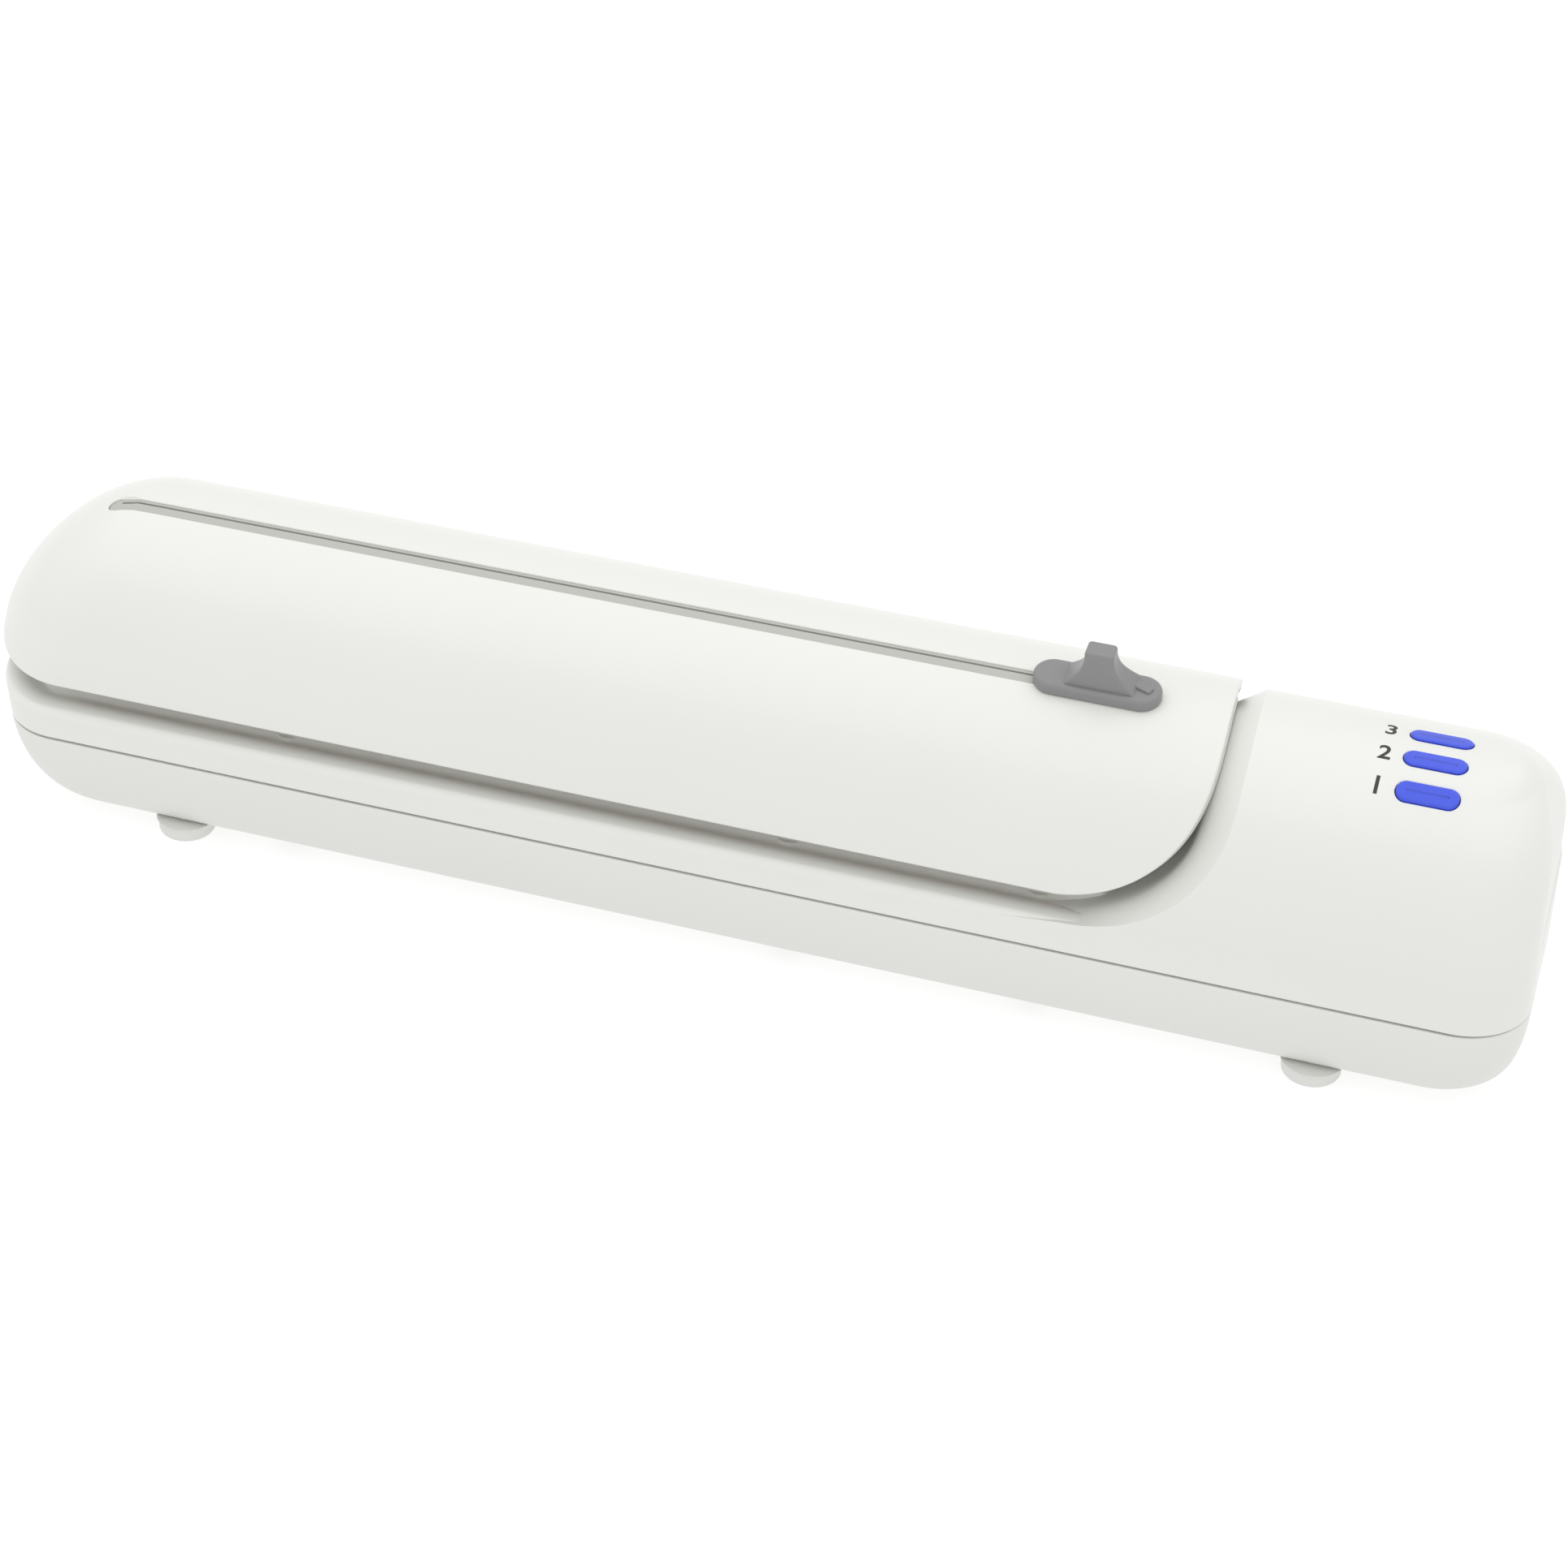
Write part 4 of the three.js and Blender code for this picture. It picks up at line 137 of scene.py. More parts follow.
# Deck under the lid
CREST_HEIGHT = 31.7 * MM
CREST_END_FLARE = 1.4 * MM
DECK_ANGLE = math.radians(16)
DECK_SLOPE = math.tan(DECK_ANGLE)
CREST_FILLET = 1.6 * MM
FILLET_STEPS = 10
TROUGH_DEPTH = 2.6 * MM
TROUGH_WIDTH = 9 * MM
TROUGH_POWER = 1.1
TROUGH_SKEW = 2.4
TROUGH_STEPS = 16
SIDE_STEPS = 5
DECK_THICKNESS = 3.9 * MM

# Scooped channel between the lid and the housing
CHANNEL_X = HALF_LENGTH - 69 * MM
CHANNEL_CORNER_RADIUS = 34 * MM
CHANNEL_LOW = 32 * MM
CHANNEL_FINE_RUN = 4 * MM
RAMP_RUN = 12
RAMP_LOW = 3 * MM
END_LEAN = 2.1 * MM
END_LEAN_START = -12 * MM
END_LEAN_RUN = 33 * MM
END_LEAN_POWER = 1.3
STEEP_LOW = 50 * MM
STEEP_HIGH = 74 * MM
STEEP_SHARE = 0.8
SCOOP_DEPTHS = np.array([0, 1, 2, 3, 4, 5, 6, 8, 12]) * MM
SCOOP_REACHES = np.array([0, 1.4, 3.0, 4.7, 6.3, 7.6, 8.5, 9.2, 9.6]) * MM
FINE_DEPTHS = np.array([0, 0.5, 1, 1.5, 2, 2.5, 3, 3.5, 4, 4.5, 5, 5.5, 6, 7, 8, 10, 12]) * MM

# Lid shell and its liner
LID_WALL = 2 * MM
RIM_FRONT = 38.6 * MM
RIM_BACK = 52.5 * MM
RIM_FADE = 24 * MM
SHELL_END_X = CHANNEL_X - 6 * MM
SHELL_CORNER_RADIUS = 34.2 * MM
LID_FINE_RUN = 5 * MM
LINER_END_X = SHELL_END_X + 0.3 * MM
LINER_CORNER_RADIUS = 34.5 * MM
LINER_CORNER_LOW = 38.3 * MM
LINER_EDGE_DEPTHS = np.array([0, 2.4, 4.6, 6, 8, 14]) * MM
LINER_EDGE_REACHES = np.array([0, 0, 0.4, 4.6, 5.2, 5.8]) * MM
LID_LIFT = 7.2 * MM
LINER_THICKNESS = 1.8 * MM
LINER_WALL = 1.8 * MM
LINER_RISE = 12 * MM
LINER_BACK_Y = 23 * MM
LINER_CREST_Y = 8 * MM
LINER_CREST_LOW = 62 * MM

# Hinge
HINGE_Y = 28 * MM
HINGE_Z = 56 * MM
PIN_RADIUS = 2 * MM
KNUCKLE_RADIUS = 3.6 * MM
LUG_WIDTH = 8 * MM
EAR_WIDTH = 5 * MM
EAR_TOP = 70 * MM
EAR_FRONT_Y = 23.6 * MM
PIN_PRESS_GAP = 0.05 * MM

# Vacuum chamber, seals and heater, measured along the deck from the front face
SEAL_LEFT = -HALF_LENGTH + 15 * MM
SEAL_RIGHT = CHANNEL_X - 28 * MM
SEAL_BACK = 2 * HALF_DEPTH / math.cos(DECK_ANGLE) - 10.6 * MM
SEAL_FRONT = SEAL_BACK - 21 * MM
SEAL_CORNER_RADIUS = 8 * MM
SEAL_WIDTH = 4 * MM
SEAL_SEAT = 1.5 * MM
SEAL_HEIGHT = 3.3 * MM
SEAL_ROUND = 1.2 * MM
CHAMBER_INSET = 1.5 * MM
CHAMBER_DEPTH = 8 * MM
CHAMBER_WALL = 2 * MM
HEATER_LEFT = -HALF_LENGTH + 19 * MM
HEATER_RIGHT = CHANNEL_X - 35 * MM
HEATER_V = 14.5 * MM
HEATER_WIDTH = 6 * MM
HEATER_SEAT = 1.8 * MM
HEATER_HEIGHT = 2.8 * MM
TAPE_WIDTH = 7.4 * MM
TAPE_THICKNESS = 0.4 * MM
TAPE_SKIRT = 1.2 * MM
TAPE_ROUND = 0.8 * MM
PRESS_WIDTH = 8 * MM
PRESS_KEY_WIDTH = 4 * MM
PRESS_KEY_DEPTH = 1 * MM
PRESS_ROUND = 0.9 * MM

# Groove, rail and slider
SLOT_LEFT = -HALF_LENGTH + 22.5 * MM
SLOT_RIGHT = CHANNEL_X - 26 * MM
SLOT_FRONT_Y = -6 * MM
SLOT_BACK_Y = -1.8 * MM
SLOT_LEVEL = LID_APEX - 10 * MM
RAIL_RECESS = 0.35 * MM
RAIL_WIDTH = 12 * MM
RAIL_THICKNESS = 1.6 * MM
RAIL_MARGIN = 3 * MM
RAIL_FLOOR_DROP = 20 * MM
RAIL_FLOOR_EDGE = 0.1 * MM
SLIT_Y = -2.9 * MM
SLIT_WIDTH = 0.6 * MM
SLIT_END_MARGIN = 3 * MM
SLIDER_X = CHANNEL_X - 36.6 * MM
PLATE_LENGTH = 29.2 * MM
SLIDER_TRAVEL = SLIDER_X - PLATE_LENGTH / 2 - GAP - SLOT_LEFT
PLATE_WIDTH = 9.4 * MM
PLATE_Y = -3.9 * MM
PLATE_THICKNESS = 2.8 * MM
PLATE_TILT = math.radians(11)
PLATE_FLOAT = 0.35 * MM
FIN_X = 0.9 * MM
FIN_BASE = 16.4 * MM
FIN_TOP = 6.6 * MM
FIN_HEIGHT = 9.6 * MM
FIN_FRONT = 3.4 * MM
FIN_BACK = 1.7 * MM
FIN_BACK_FLARE = 2.4 * MM
FIN_LEAN_X = -0.35 * MM
FIN_LEAN_V = 0.4 * MM
FIN_ROUND = 0.7 * MM
FIN_FLARE_POWER = 1.3
FIN_TOP_SHARE = 0.6
FIN_STEPS = 26
TAB_X = 10.3 * MM
TAB_LENGTH = 4.4 * MM
TAB_WIDTH = 2.2 * MM
TAB_HEIGHT = 0.6 * MM
TAB_EDGE = 0.2 * MM
TAB_ROUND = 0.4 * MM
TAB_TURN = math.radians(-20)
NECK_LENGTH = 10 * MM
NECK_THICKNESS = 0.5 * MM
NECK_RISE = 3 * MM
STEM_LENGTH = 9 * MM
BLADE_SLIT_WIDTH = 1.8 * MM
CUT_GROOVE_WIDTH = 3 * MM
CUT_GROOVE_DEPTH = 1.6 * MM

# Buttons on the housing and the board under them
BUTTON_X = HALF_LENGTH - 30 * MM
BUTTON_Y = -4.7 * MM
BUTTON_TILT = math.radians(12)
BUTTON_PITCH = 9 * MM
BUTTON_LENGTH = 13.8 * MM
BUTTON_HEIGHT = 4.6 * MM
BUTTON_PROUD = 0.5 * MM
BUTTON_CLEARANCE = 0.2 * MM
BUTTON_FLANGE_DEPTH = 6.2 * MM
BUTTON_FLANGE = 1 * MM
BUTTON_FLANGE_MARGIN = 1 * MM
BUTTON_ROWS = {"back": BUTTON_PITCH, "middle": 0, "front": -BUTTON_PITCH}
BUTTON_TOP_RINGS = np.array([0.35, 0.75, 1.2, 1.65, 1.95, 2.1]) * MM
NUMERAL_CAP_SHARE = 0.7
NUMERAL_BODY = 0.5 * MM
NUMERAL_WEIGHT = 0.12 * MM
NUMERAL_BANDS = 5
INK_THICKNESS = 0.03 * MM
INK_SINK = 0.06 * MM
STEM_RADIUS = 1.6 * MM
STEM_LOW = -8.3 * MM
BOARD_DEPTH = 14 * MM
BOARD_POST_X = 15.5 * MM
BOARD_POST_V = 10.5 * MM
BOARD_POST_RADIUS = 2.4 * MM
SMALL_SCREW_RADIUS = 1 * MM
SMALL_SCREW_LENGTH = 6 * MM

# Screws, feet, pump cradles, supply posts and mains inlet
FOOT_NAMES = ("foot_front_left", "foot_front_right", "foot_back_left", "foot_back_right")
FOOT_RADIUS = 6.8 * MM
FOOT_ROUND = 1.5 * MM
FOOT_FLARE = 0.5 * MM
FOOT_PLUG_RADIUS = 2.4 * MM
FOOT_PLUG_RISE = 3.4 * MM
FOOT_PLUG_EDGE = 0.4 * MM
FOOT_DISH = 0.5 * MM
FOOT_DISH_SHARES = (0.55, 0.62)
FOOT_FLARE_STEPS = (0, 0.35, 0.65, 0.9, 1)
SCREW_RADIUS = 1.5 * MM
SCREW_SEAT = 10 * MM
SCREW_LENGTH = 16 * MM
TRAY_POST_RADIUS = 4.6 * MM
TRAY_POST_TOP = 12.5 * MM
CASE_POST_RADIUS = 3.4 * MM
POST_SINK_SHARE = 0.7
COUNTERBORE_RADIUS = 3.2 * MM
PUMP_Y = 3 * MM
PUMP_Z = 20 * MM
MOTOR_RADIUS = 11 * MM
MOTOR_LENGTH = 32 * MM
CRADLE_WIDTH = 6 * MM
CRADLE_HALF = 13 * MM
CRADLE_DROP = 3.7 * MM
SUPPLY_POST_RADIUS = 2.6 * MM
SUPPLY_BOARD_LOW = 11 * MM
SUPPLY_PILOT_LOW = 7.6 * MM
NIPPLE_HOLE_RADIUS = 2.7 * MM
INLET_CORNER = 3.2 * MM
INLET_DEPTH = 18 * MM
INLET_SOCKET_WIDTH = 15.5 * MM
INLET_SOCKET_HEIGHT = 7.5 * MM
INLET_SOCKET_DEPTH = 11 * MM
INLET_PIN_RADIUS = 1.2 * MM
INLET_FLANGE = 1.6 * MM
INLET_FLANGE_MARGIN = 1.6 * MM
INLET_EDGE = 0.5 * MM
INLET_PIN_COVER = 5 * MM

# Studio
FLOOR_REACH = 3
SENSOR_WIDTH = 36
CLIP_START, CLIP_END = 0.05, 20


def linear(code):
    """An sRGB hex colour as linear light."""
    parts = [int(code[i:i + 2], 16) / 255 for i in (1, 3, 5)]
    return tuple(c / 12.92 if c <= 0.04045 else ((c + 0.055) / 1.055) ** 2.4 for c in parts)


def length(name, millimetres, description):
    """A size that the sidebar shows as a length."""
    return FloatProperty(
        name=name, description=description, default=millimetres * MM, min=0, precision=5, unit="LENGTH"
    )


def turn(name, degrees, description):
    """An angle that the sidebar shows in degrees."""
    return FloatProperty(name=name, description=description, default=math.radians(degrees), subtype="ANGLE")


def share(name, value, description):
    """A value from 0 to 1."""
    return FloatProperty(
        name=name, description=description, default=value, min=0, max=1, subtype="FACTOR"
    )


def power(name, watts, description):
    """A light's power."""
    return FloatProperty(name=name, description=description, default=watts, unit="POWER")


def offset(name, millimetres, description):
    """A length that may be negative."""
    return FloatProperty(name=name, description=description, default=millimetres * MM, unit="LENGTH")


def tint(name, code, description):
    """A finish's colour, given as sRGB hex and kept as linear light."""
    return FloatVectorProperty(
        name=name, description=description, default=linear(code), min=0, max=1, subtype="COLOR"
    )


class SealerMouldings(PropertyGroup):
    """Small forms that a mould maker would change."""

    edge: length("Parting edge", 0.35, "Radius of the edges along the parting line")
    rim_round: length("Rim edge", 0.5, "Radius of the lid's outer rim")
    groove_lip: length("Groove lip", 0.25, "Radius of the rounded lip of the cutter's groove")
    button_lip: length("Button hole lip", 0.22, "Radius of the button holes' edges")
    button_round: length("Button edge", 0.45, "Radius of the buttons' upper edges")
    plate_round: length("Slider edge", 1.0, "Radius of the slider plate's upper edge")
    numeral: length("Numeral height", 4.2, "Height of the printed numerals beside the buttons")
    peel: length("Mould waviness", 0.0016, "Height of the faint unevenness of polished plastic")


class SealerFinishes(PropertyGroup):
    """Colours and gloss of the finishes."""

    white: tint("White ABS", "#E6E7E2", "Moulded gloss ABS of the case and the lid")
    tray: tint("Tray ABS", "#E3E4DF", "Moulded gloss ABS of the base tray")
    inner: tint("Inner ABS", "#E3E4DF", "Moulded satin ABS of the lid's liner")
    foot: tint("Foot elastomer", "#DDDDD9", "Moulded thermoplastic elastomer of the feet")
    rail: tint("Light grey ABS", "#B7B7B1", "Moulded satin ABS of the groove's floor")
    grip: tint("Grey ABS", "#868687", "Moulded satin ABS of the slider")
    button: tint("Blue polycarbonate", "#3952DD", "Tinted polycarbonate of the buttons")
    ink: tint("Grey ink", "#33332F", "Pad-printed ink of the numerals")
    foam: tint("Seal foam", "#3A3C3F", "Closed-cell foam of the two seals")
    tape: tint("Tape", "#A5703F", "Glass cloth coated with PTFE over the heater")
    silicone: tint("Silicone", "#9EA0A2", "Moulded silicone of the press strip")
    floor: tint("Floor", "#A0A0A0", "Opal acrylic of the light table")
    gloss: share("Gloss roughness", 0.33, "Roughness of the gloss mouldings")


class SealerStudio(PropertyGroup):
    """Camera fitted to the photograph, and the studio's lights."""

    azimuth: turn("Azimuth", 16.3, "Turn of the camera towards the right")
    elevation: turn("Elevation", 33, "Height of the camera above the horizon")
    roll: turn("Roll", 2.5, "Clockwise roll of the camera")
    lens: FloatProperty(name="Lens", description="Focal length", default=78.73, unit="CAMERA")
    distance: length("Distance", 804.81, "From the camera to its target")
    shift_right: offset("Shift right", -6.47, "Target's offset in the picture")
    shift_up: offset("Shift up", 3.69, "Target's offset in the picture")
    target_height: length("Target height", 35, "Height of the camera's target")
    sky: FloatProperty(name="Sky", description="Strength of the even studio light", default=0.87)
    glow: FloatProperty(name="Table glow", description="Strength of the light through the table", default=0.7)
    key: power("Overhead light", 9, "Power of the overhead panel")
    side: power("Left light", 0.3, "Power of the left panel")
    front: power("Front light", 0.2, "Power of the low front panel")


def mouldings():
    return bpy.context.scene.sealer_mouldings


def finishes():
    return bpy.context.scene.sealer_finishes


class Section:
    """Arcs of the cross-section under a crown, each a circle as (Y, Z, radius)."""

    def __init__(self, apex):
        join_y = APEX_Y - CROWN_RADIUS * math.sin(SHOULDER)
        join_z = apex - CROWN_RADIUS * (1 - math.cos(SHOULDER))
        run = join_y + HALF_DEPTH
        rise = join_z - TRAY_TOP
        turned = math.sin(STEEP) - math.sin(SHOULDER)
        climb = math.cos(SHOULDER) - math.cos(STEEP)
        brow = (run - rise / math.tan(STEEP)) / (turned - climb / math.tan(STEEP))
        cap_y = APEX_Y + CAP_RADIUS * math.sin(CAP)
        cap_z = apex - CAP_RADIUS * (1 - math.cos(CAP))
        heel = (HALF_DEPTH - cap_y) / (1 - math.sin(CAP))
        self.apex = apex
        self.crown = (APEX_Y, apex - CROWN_RADIUS, CROWN_RADIUS)
        self.brow = (join_y + brow * math.sin(SHOULDER), join_z - brow * math.cos(SHOULDER), brow)
        self.cap = (APEX_Y, apex - CAP_RADIUS, CAP_RADIUS)
        self.heel = (cap_y - heel * math.sin(CAP), cap_z - heel * math.cos(CAP), heel)

    def surface(self, z, side, inset=0.0):
        """Depth of the front or back at a height, and the direction from there into the solid."""
        z = np.asarray(z, float)
        level = np.ones_like(z)
        if side < 0:
            radius = self.brow[2] - inset
            foot = self.brow[1] + radius * math.cos(STEEP)
            start = self.brow[0] - radius * math.sin(STEEP)
            low = (start - (foot - z) / math.tan(STEEP), level * math.sin(STEEP), level * -math.cos(STEEP))
            upper, lower, turned = self.crown, self.brow, SHOULDER
        else:
            foot = self.heel[1]
            low = (level * (self.heel[0] + self.heel[2] - inset), -level, level * 0)
            upper, lower, turned = self.cap, self.heel, CAP
        split = upper[1] + (upper[2] - inset) * math.cos(turned)
        high, middle = (on_arc(circle, z, side, inset) for circle in (upper, lower))
        return [np.where(z >= split, a, np.where(z >= foot, b, c)) for a, b, c in zip(high, middle, low)]

    def heights(self, low, inset=0.0, coarse=1):
        """Levels that step evenly round the front arcs, from a low level up."""
        crown = np.linspace(CROWN_FLAT, SHOULDER, CROWN_STEPS // coarse + 1)
        brow = np.linspace(SHOULDER, STEEP, BROW_STEPS // coarse + 1)[1:]
        levels = np.concatenate([
            self.crown[1] + (self.crown[2] - inset) * np.cos(crown),
            self.brow[1] + (self.brow[2] - inset) * np.cos(brow),
        ])
        return np.array([low, *sorted(z for z in levels if z > low + OVERSHOOT)])

    def crown_at(self, y):
        return self.crown[1] + math.sqrt(CROWN_RADIUS ** 2 - (APEX_Y - y) ** 2)


def on_arc(circle, z, side, inset):
    """Depth on a circle at a height, with the direction to its middle."""
    y, height, radius = circle
    radius = radius - inset
    up = np.minimum(z - height, radius)
    reach = np.sqrt(np.maximum(radius * radius - up * up, 0))
    return y + side * reach, -side * reach / radius, -up / radius


CASE_SECTION = Section(CASE_APEX)
LID_SECTION = Section(LID_APEX)


def rounded_end(z, start, top, reach, power):
    """How far an end has rounded over at a height."""
    risen = np.clip((z - start) / (top - start), 0, 1)
    return reach * (1 - (1 - risen ** power) ** (1 / power))


def case_sizes(z, inset):
    """Left, right, front and back of the housing at a height, with its left and right corner radii."""
    end = rounded_end(z, HOUSING_END_START, CASE_APEX - inset, HOUSING_END_REACH, 2)
    right = HALF_LENGTH - inset - HOUSING_DRAFT_SHARE * (z - TRAY_TOP) - end
    front, back = (CASE_SECTION.surface(z, side, inset)[0] for side in (-1, 1))
    return 0 * z, right, front, back, GAP + 0 * z, HOUSING_CORNER_RADIUS - inset + 0 * z


def lid_sizes(z, inset):
    """The same sizes of the lid's form, which runs on past its right edge."""
    end = rounded_end(z, LID_END_START, LID_APEX - inset, LID_END_REACH, LID_END_POWER)
    left = -HALF_LENGTH - LID_OVERHANG + inset + end
    growth = LID_CORNER_GROWTH * (z - LID_LOW) / (LID_APEX - LID_LOW)
    front, back = (LID_SECTION.surface(z, side, inset)[0] for side in (-1, 1))
    return left, CHANNEL_X + OVERSHOOT + 0 * z, front, back, LID_CORNER_RADIUS + growth - inset, GAP + 0 * z


def corner_ring(x0, x1, y0, y1, left_radius, right_radius, z, steps):
    """An outline with round corners in plan; a size may hold one value for each of its points."""
    turns = np.linspace(0, 90, steps + 1)
    around = np.radians(np.concatenate([turns, turns + 90, turns + 180, turns + 270]))
    corner = np.repeat(np.arange(4), steps + 1)
    on_left = (corner == 1) | (corner == 2)
    half = np.minimum((y1 - y0) / 2, (x1 - x0) / 2)
    radius = np.where(on_left, np.minimum(left_radius, half), np.minimum(right_radius, half))
    x = np.where(on_left, x0 + radius, x1 - radius) + radius * np.cos(around)
    y = np.where(corner < 2, y1 - radius, y0 + radius) + radius * np.sin(around)
    return np.stack([x, y, z + 0 * x], axis=1)


def form_ring(sizes, z, inset=0.0, slope=0.0, steps=CORNER_STEPS):
    """A ring of a form, whose level may rise towards the back."""
    level = np.full(4 * (steps + 1), float(z))
    for _ in range(RING_PASSES if slope else 1):
        ring = corner_ring(*sizes(level, inset), level, steps)
        level = z + slope * (ring[:, 1] + HALF_DEPTH)
    return ring


def inside(sizes, section, points, inset):
    """Which points lie in a form."""
    x, y, z = points.T
    left, right, front, back, left_radius, right_radius = sizes(z, inset)
    half = np.minimum((back - front) / 2, (right - left) / 2)
    on_left = x < (left + right) / 2
    radius = np.where(on_left, np.minimum(left_radius, half), np.minimum(right_radius, half))
    over_x = np.maximum(np.where(on_left, left + radius - x, x - right + radius), 0)
    over_y = np.maximum(np.maximum(front + radius - y, y - back + radius), 0)
    return (over_x ** 2 + over_y ** 2 <= radius ** 2) & (z <= section.apex - inset)


def lifts(sizes, section, base, direction, inset=0.0):
    """How far each point moves along a direction to leave a form."""
    low = np.full(len(base), -SURFACE_REACH)
    high = np.full(len(base), SURFACE_REACH)
    for _ in range(SURFACE_PASSES):
        middle = (low + high) / 2
        within = inside(sizes, section, base + middle[:, None] * direction, inset)
        low = np.where(within, middle, low)
        high = np.where(within, high, middle)
    return low


def loft(rings, across=False):
    """Points and faces of a skin over rings of equal length, with flat caps or caps of straight strips."""
    count = len(rings[0])
    index = np.arange(count)
    following = np.roll(index, -1)
    faces = []
    for i in range(len(rings) - 1):
        low = i * count
        high = low + count
        faces += np.stack([low + index, low + following, high + following, high + index], 1).tolist()
    last = (len(rings) - 1) * count
    if across:
        for j in range(count // 2 - 1):
            k = count - 1 - j
            faces.append([j, k, k - 1, j + 1])
            faces.append([last + j, last + j + 1, last + k - 1, last + k])
    else:
        faces.append(index[::-1].tolist())
        faces.append((last + index).tolist())
    return np.concatenate(rings), faces


def pill_loft(rings):
    """A skin over pill rings, with caps whose strips run straight across the pill."""
    count = len(rings[0])
    half = count // 2
    points, faces = loft(rings)
    faces = faces[:-2]
    last = (len(rings) - 1) * count
    for j in range(half):
        corners = [j, j + 1, (count - j - 1) % count, (count - j) % count]
        cap = [k for i, k in enumerate(corners) if k not in corners[:i]]
        faces.append(cap[::-1])
        faces.append([last + k for k in cap])
    return points, faces


def band(loops):
    """A ring-shaped skin over closed loops that go round its profile."""
    count = len(loops[0])
    index = np.arange(count)
    following = np.roll(index, -1)
    faces = []
    for i in range(len(loops)):
        low = i * count
        high = (i + 1) % len(loops) * count
        faces += np.stack([low + index, low + following, high + following, high + index], 1).tolist()
    return np.concatenate(loops), faces


def placed(outline, level, place):
    """Outline points at a level of a place's own frame."""
    a, b = np.asarray(outline, float).T
    return np.stack(np.broadcast_arrays(*place(a, b, level + 0 * a)), 1)


def solid(name, points, faces):
    """A mesh object from case coordinates, with its faces turned outwards."""
    points = np.asarray(points, float)
    volume = 0.0
    for face in faces:
        corner = points[face[0]]
        for i in range(1, len(face) - 1):
            volume += np.dot(corner, np.cross(points[face[i]], points[face[i + 1]]))
    if volume < 0:
        faces = [face[::-1] for face in faces]
    mesh = bpy.data.meshes.new(name)
    mesh.from_pydata((points + [MIDDLE_X, 0, 0]).tolist(), [], faces)
    mesh.update()
    piece = bpy.data.objects.new(name, mesh)
    bpy.context.scene.collection.objects.link(piece)
    return piece


def skin(name, rings, across=False):
    """A closed body over rings."""
    return solid(name, *loft(rings, across))


def bar(name, outline, low, high, place):
    """A straight body over a flat outline."""
    return skin(name, [placed(outline, level, place) for level in (low, high)])


def form(name, sizes, section, low, inset, coarse):
    """The case's or lid's whole form from a level up, drawn in by an inset."""
    steps = CORNER_STEPS // coarse
    levels = section.heights(low, inset, coarse)
    return skin(name, [form_ring(sizes, z, inset, 0, steps) for z in levels])


def case_form(name, low, inset, coarse=1):
    return form(name, case_sizes, CASE_SECTION, low, inset, coarse)


def lid_form(name, low, inset, coarse=1):
    return form(name, lid_sizes, LID_SECTION, low, inset, coarse)


def shape(piece, operation, tools):
    """Joins, cuts or trims a piece with closed tools, which are used up."""
    for tool in tools:
        step = piece.modifiers.new("step", "BOOLEAN")
        step.solver = "MANIFOLD"
        step.operation = operation
        step.object = tool
    graph = bpy.context.evaluated_depsgraph_get()
    made = bpy.data.meshes.new_from_object(piece.evaluated_get(graph))
    if len(made.polygons) == 0:
        raise RuntimeError(f"{piece.name} came out empty")
    piece.modifiers.clear()
    spent = [piece.data, *(tool.data for tool in tools)]
    piece.data = made
    for tool in tools:
        bpy.data.objects.remove(tool)
    for mesh in spent:
        bpy.data.meshes.remove(mesh)
    made.name = piece.name
    return piece


def join(piece, *tools):
    return shape(piece, "UNION", tools)


def cut(piece, *tools):
    return shape(piece, "DIFFERENCE", tools)


def trim(piece, *tools):
    return shape(piece, "INTERSECT", tools)


def dress(piece, material, body, slot, *nodes, smooth=SMOOTH_ANGLE):
    """Smooth shading, finish, body and the nodes that a piece stands for, which are hidden; its slot is not
    used.
    """
    mesh = piece.data
    work = bmesh.new()
    work.from_mesh(mesh)
    bmesh.ops.remove_doubles(work, verts=work.verts, dist=SLIVER / 10)
    bmesh.ops.dissolve_degenerate(work, edges=work.edges, dist=SLIVER / 10)
    work.to_mesh(mesh)
    work.free()
    mesh.shade_smooth()
    mesh.set_sharp_from_angle(angle=smooth)
    weighted = piece.modifiers.new("weighted", "WEIGHTED_NORMAL")
    weighted.keep_sharp = True
    mesh.materials.clear()
    mesh.materials.append(material)
    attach(piece, body)
    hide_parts(*nodes)
    return piece


def upright(a, b, level):
    return a, b, level


def across_x(a, b, level):
    return level, a, b


def along_y(a, b, level):
    return a, level, b


def on_deck(x, v, w):
    """The frame of the sloping deck, measured along it from the front face."""
    y = -HALF_DEPTH + v * math.cos(DECK_ANGLE) - w * math.sin(DECK_ANGLE)
    return x, y, CREST_HEIGHT + v * math.sin(DECK_ANGLE) + w * math.cos(DECK_ANGLE)


def along_deck(v, w, x):
    return on_deck(x, v, w)


def on_board(u, v, w):
    """The frame of the buttons and their board, tilted with the crown at the middle button."""
    y = BUTTON_Y + v * math.cos(BUTTON_TILT) - w * math.sin(BUTTON_TILT)
    z = CASE_SECTION.crown_at(BUTTON_Y) + v * math.sin(BUTTON_TILT) + w * math.cos(BUTTON_TILT)
    return BUTTON_X + u, y, z


def on_plate(x, v, w):
    """The frame of the slider's plate, tilted on the lid's crown."""
    y = PLATE_Y + v * math.cos(PLATE_TILT) - w * math.sin(PLATE_TILT)
    z = LID_SECTION.crown_at(PLATE_Y) + v * math.sin(PLATE_TILT) + w * math.cos(PLATE_TILT)
    return SLIDER_X + x, y, z


def deck_level(w, y):
    """Height of a plane parallel to the deck at a depth."""
    return CREST_HEIGHT + w / math.cos(DECK_ANGLE) + DECK_SLOPE * (y + HALF_DEPTH)


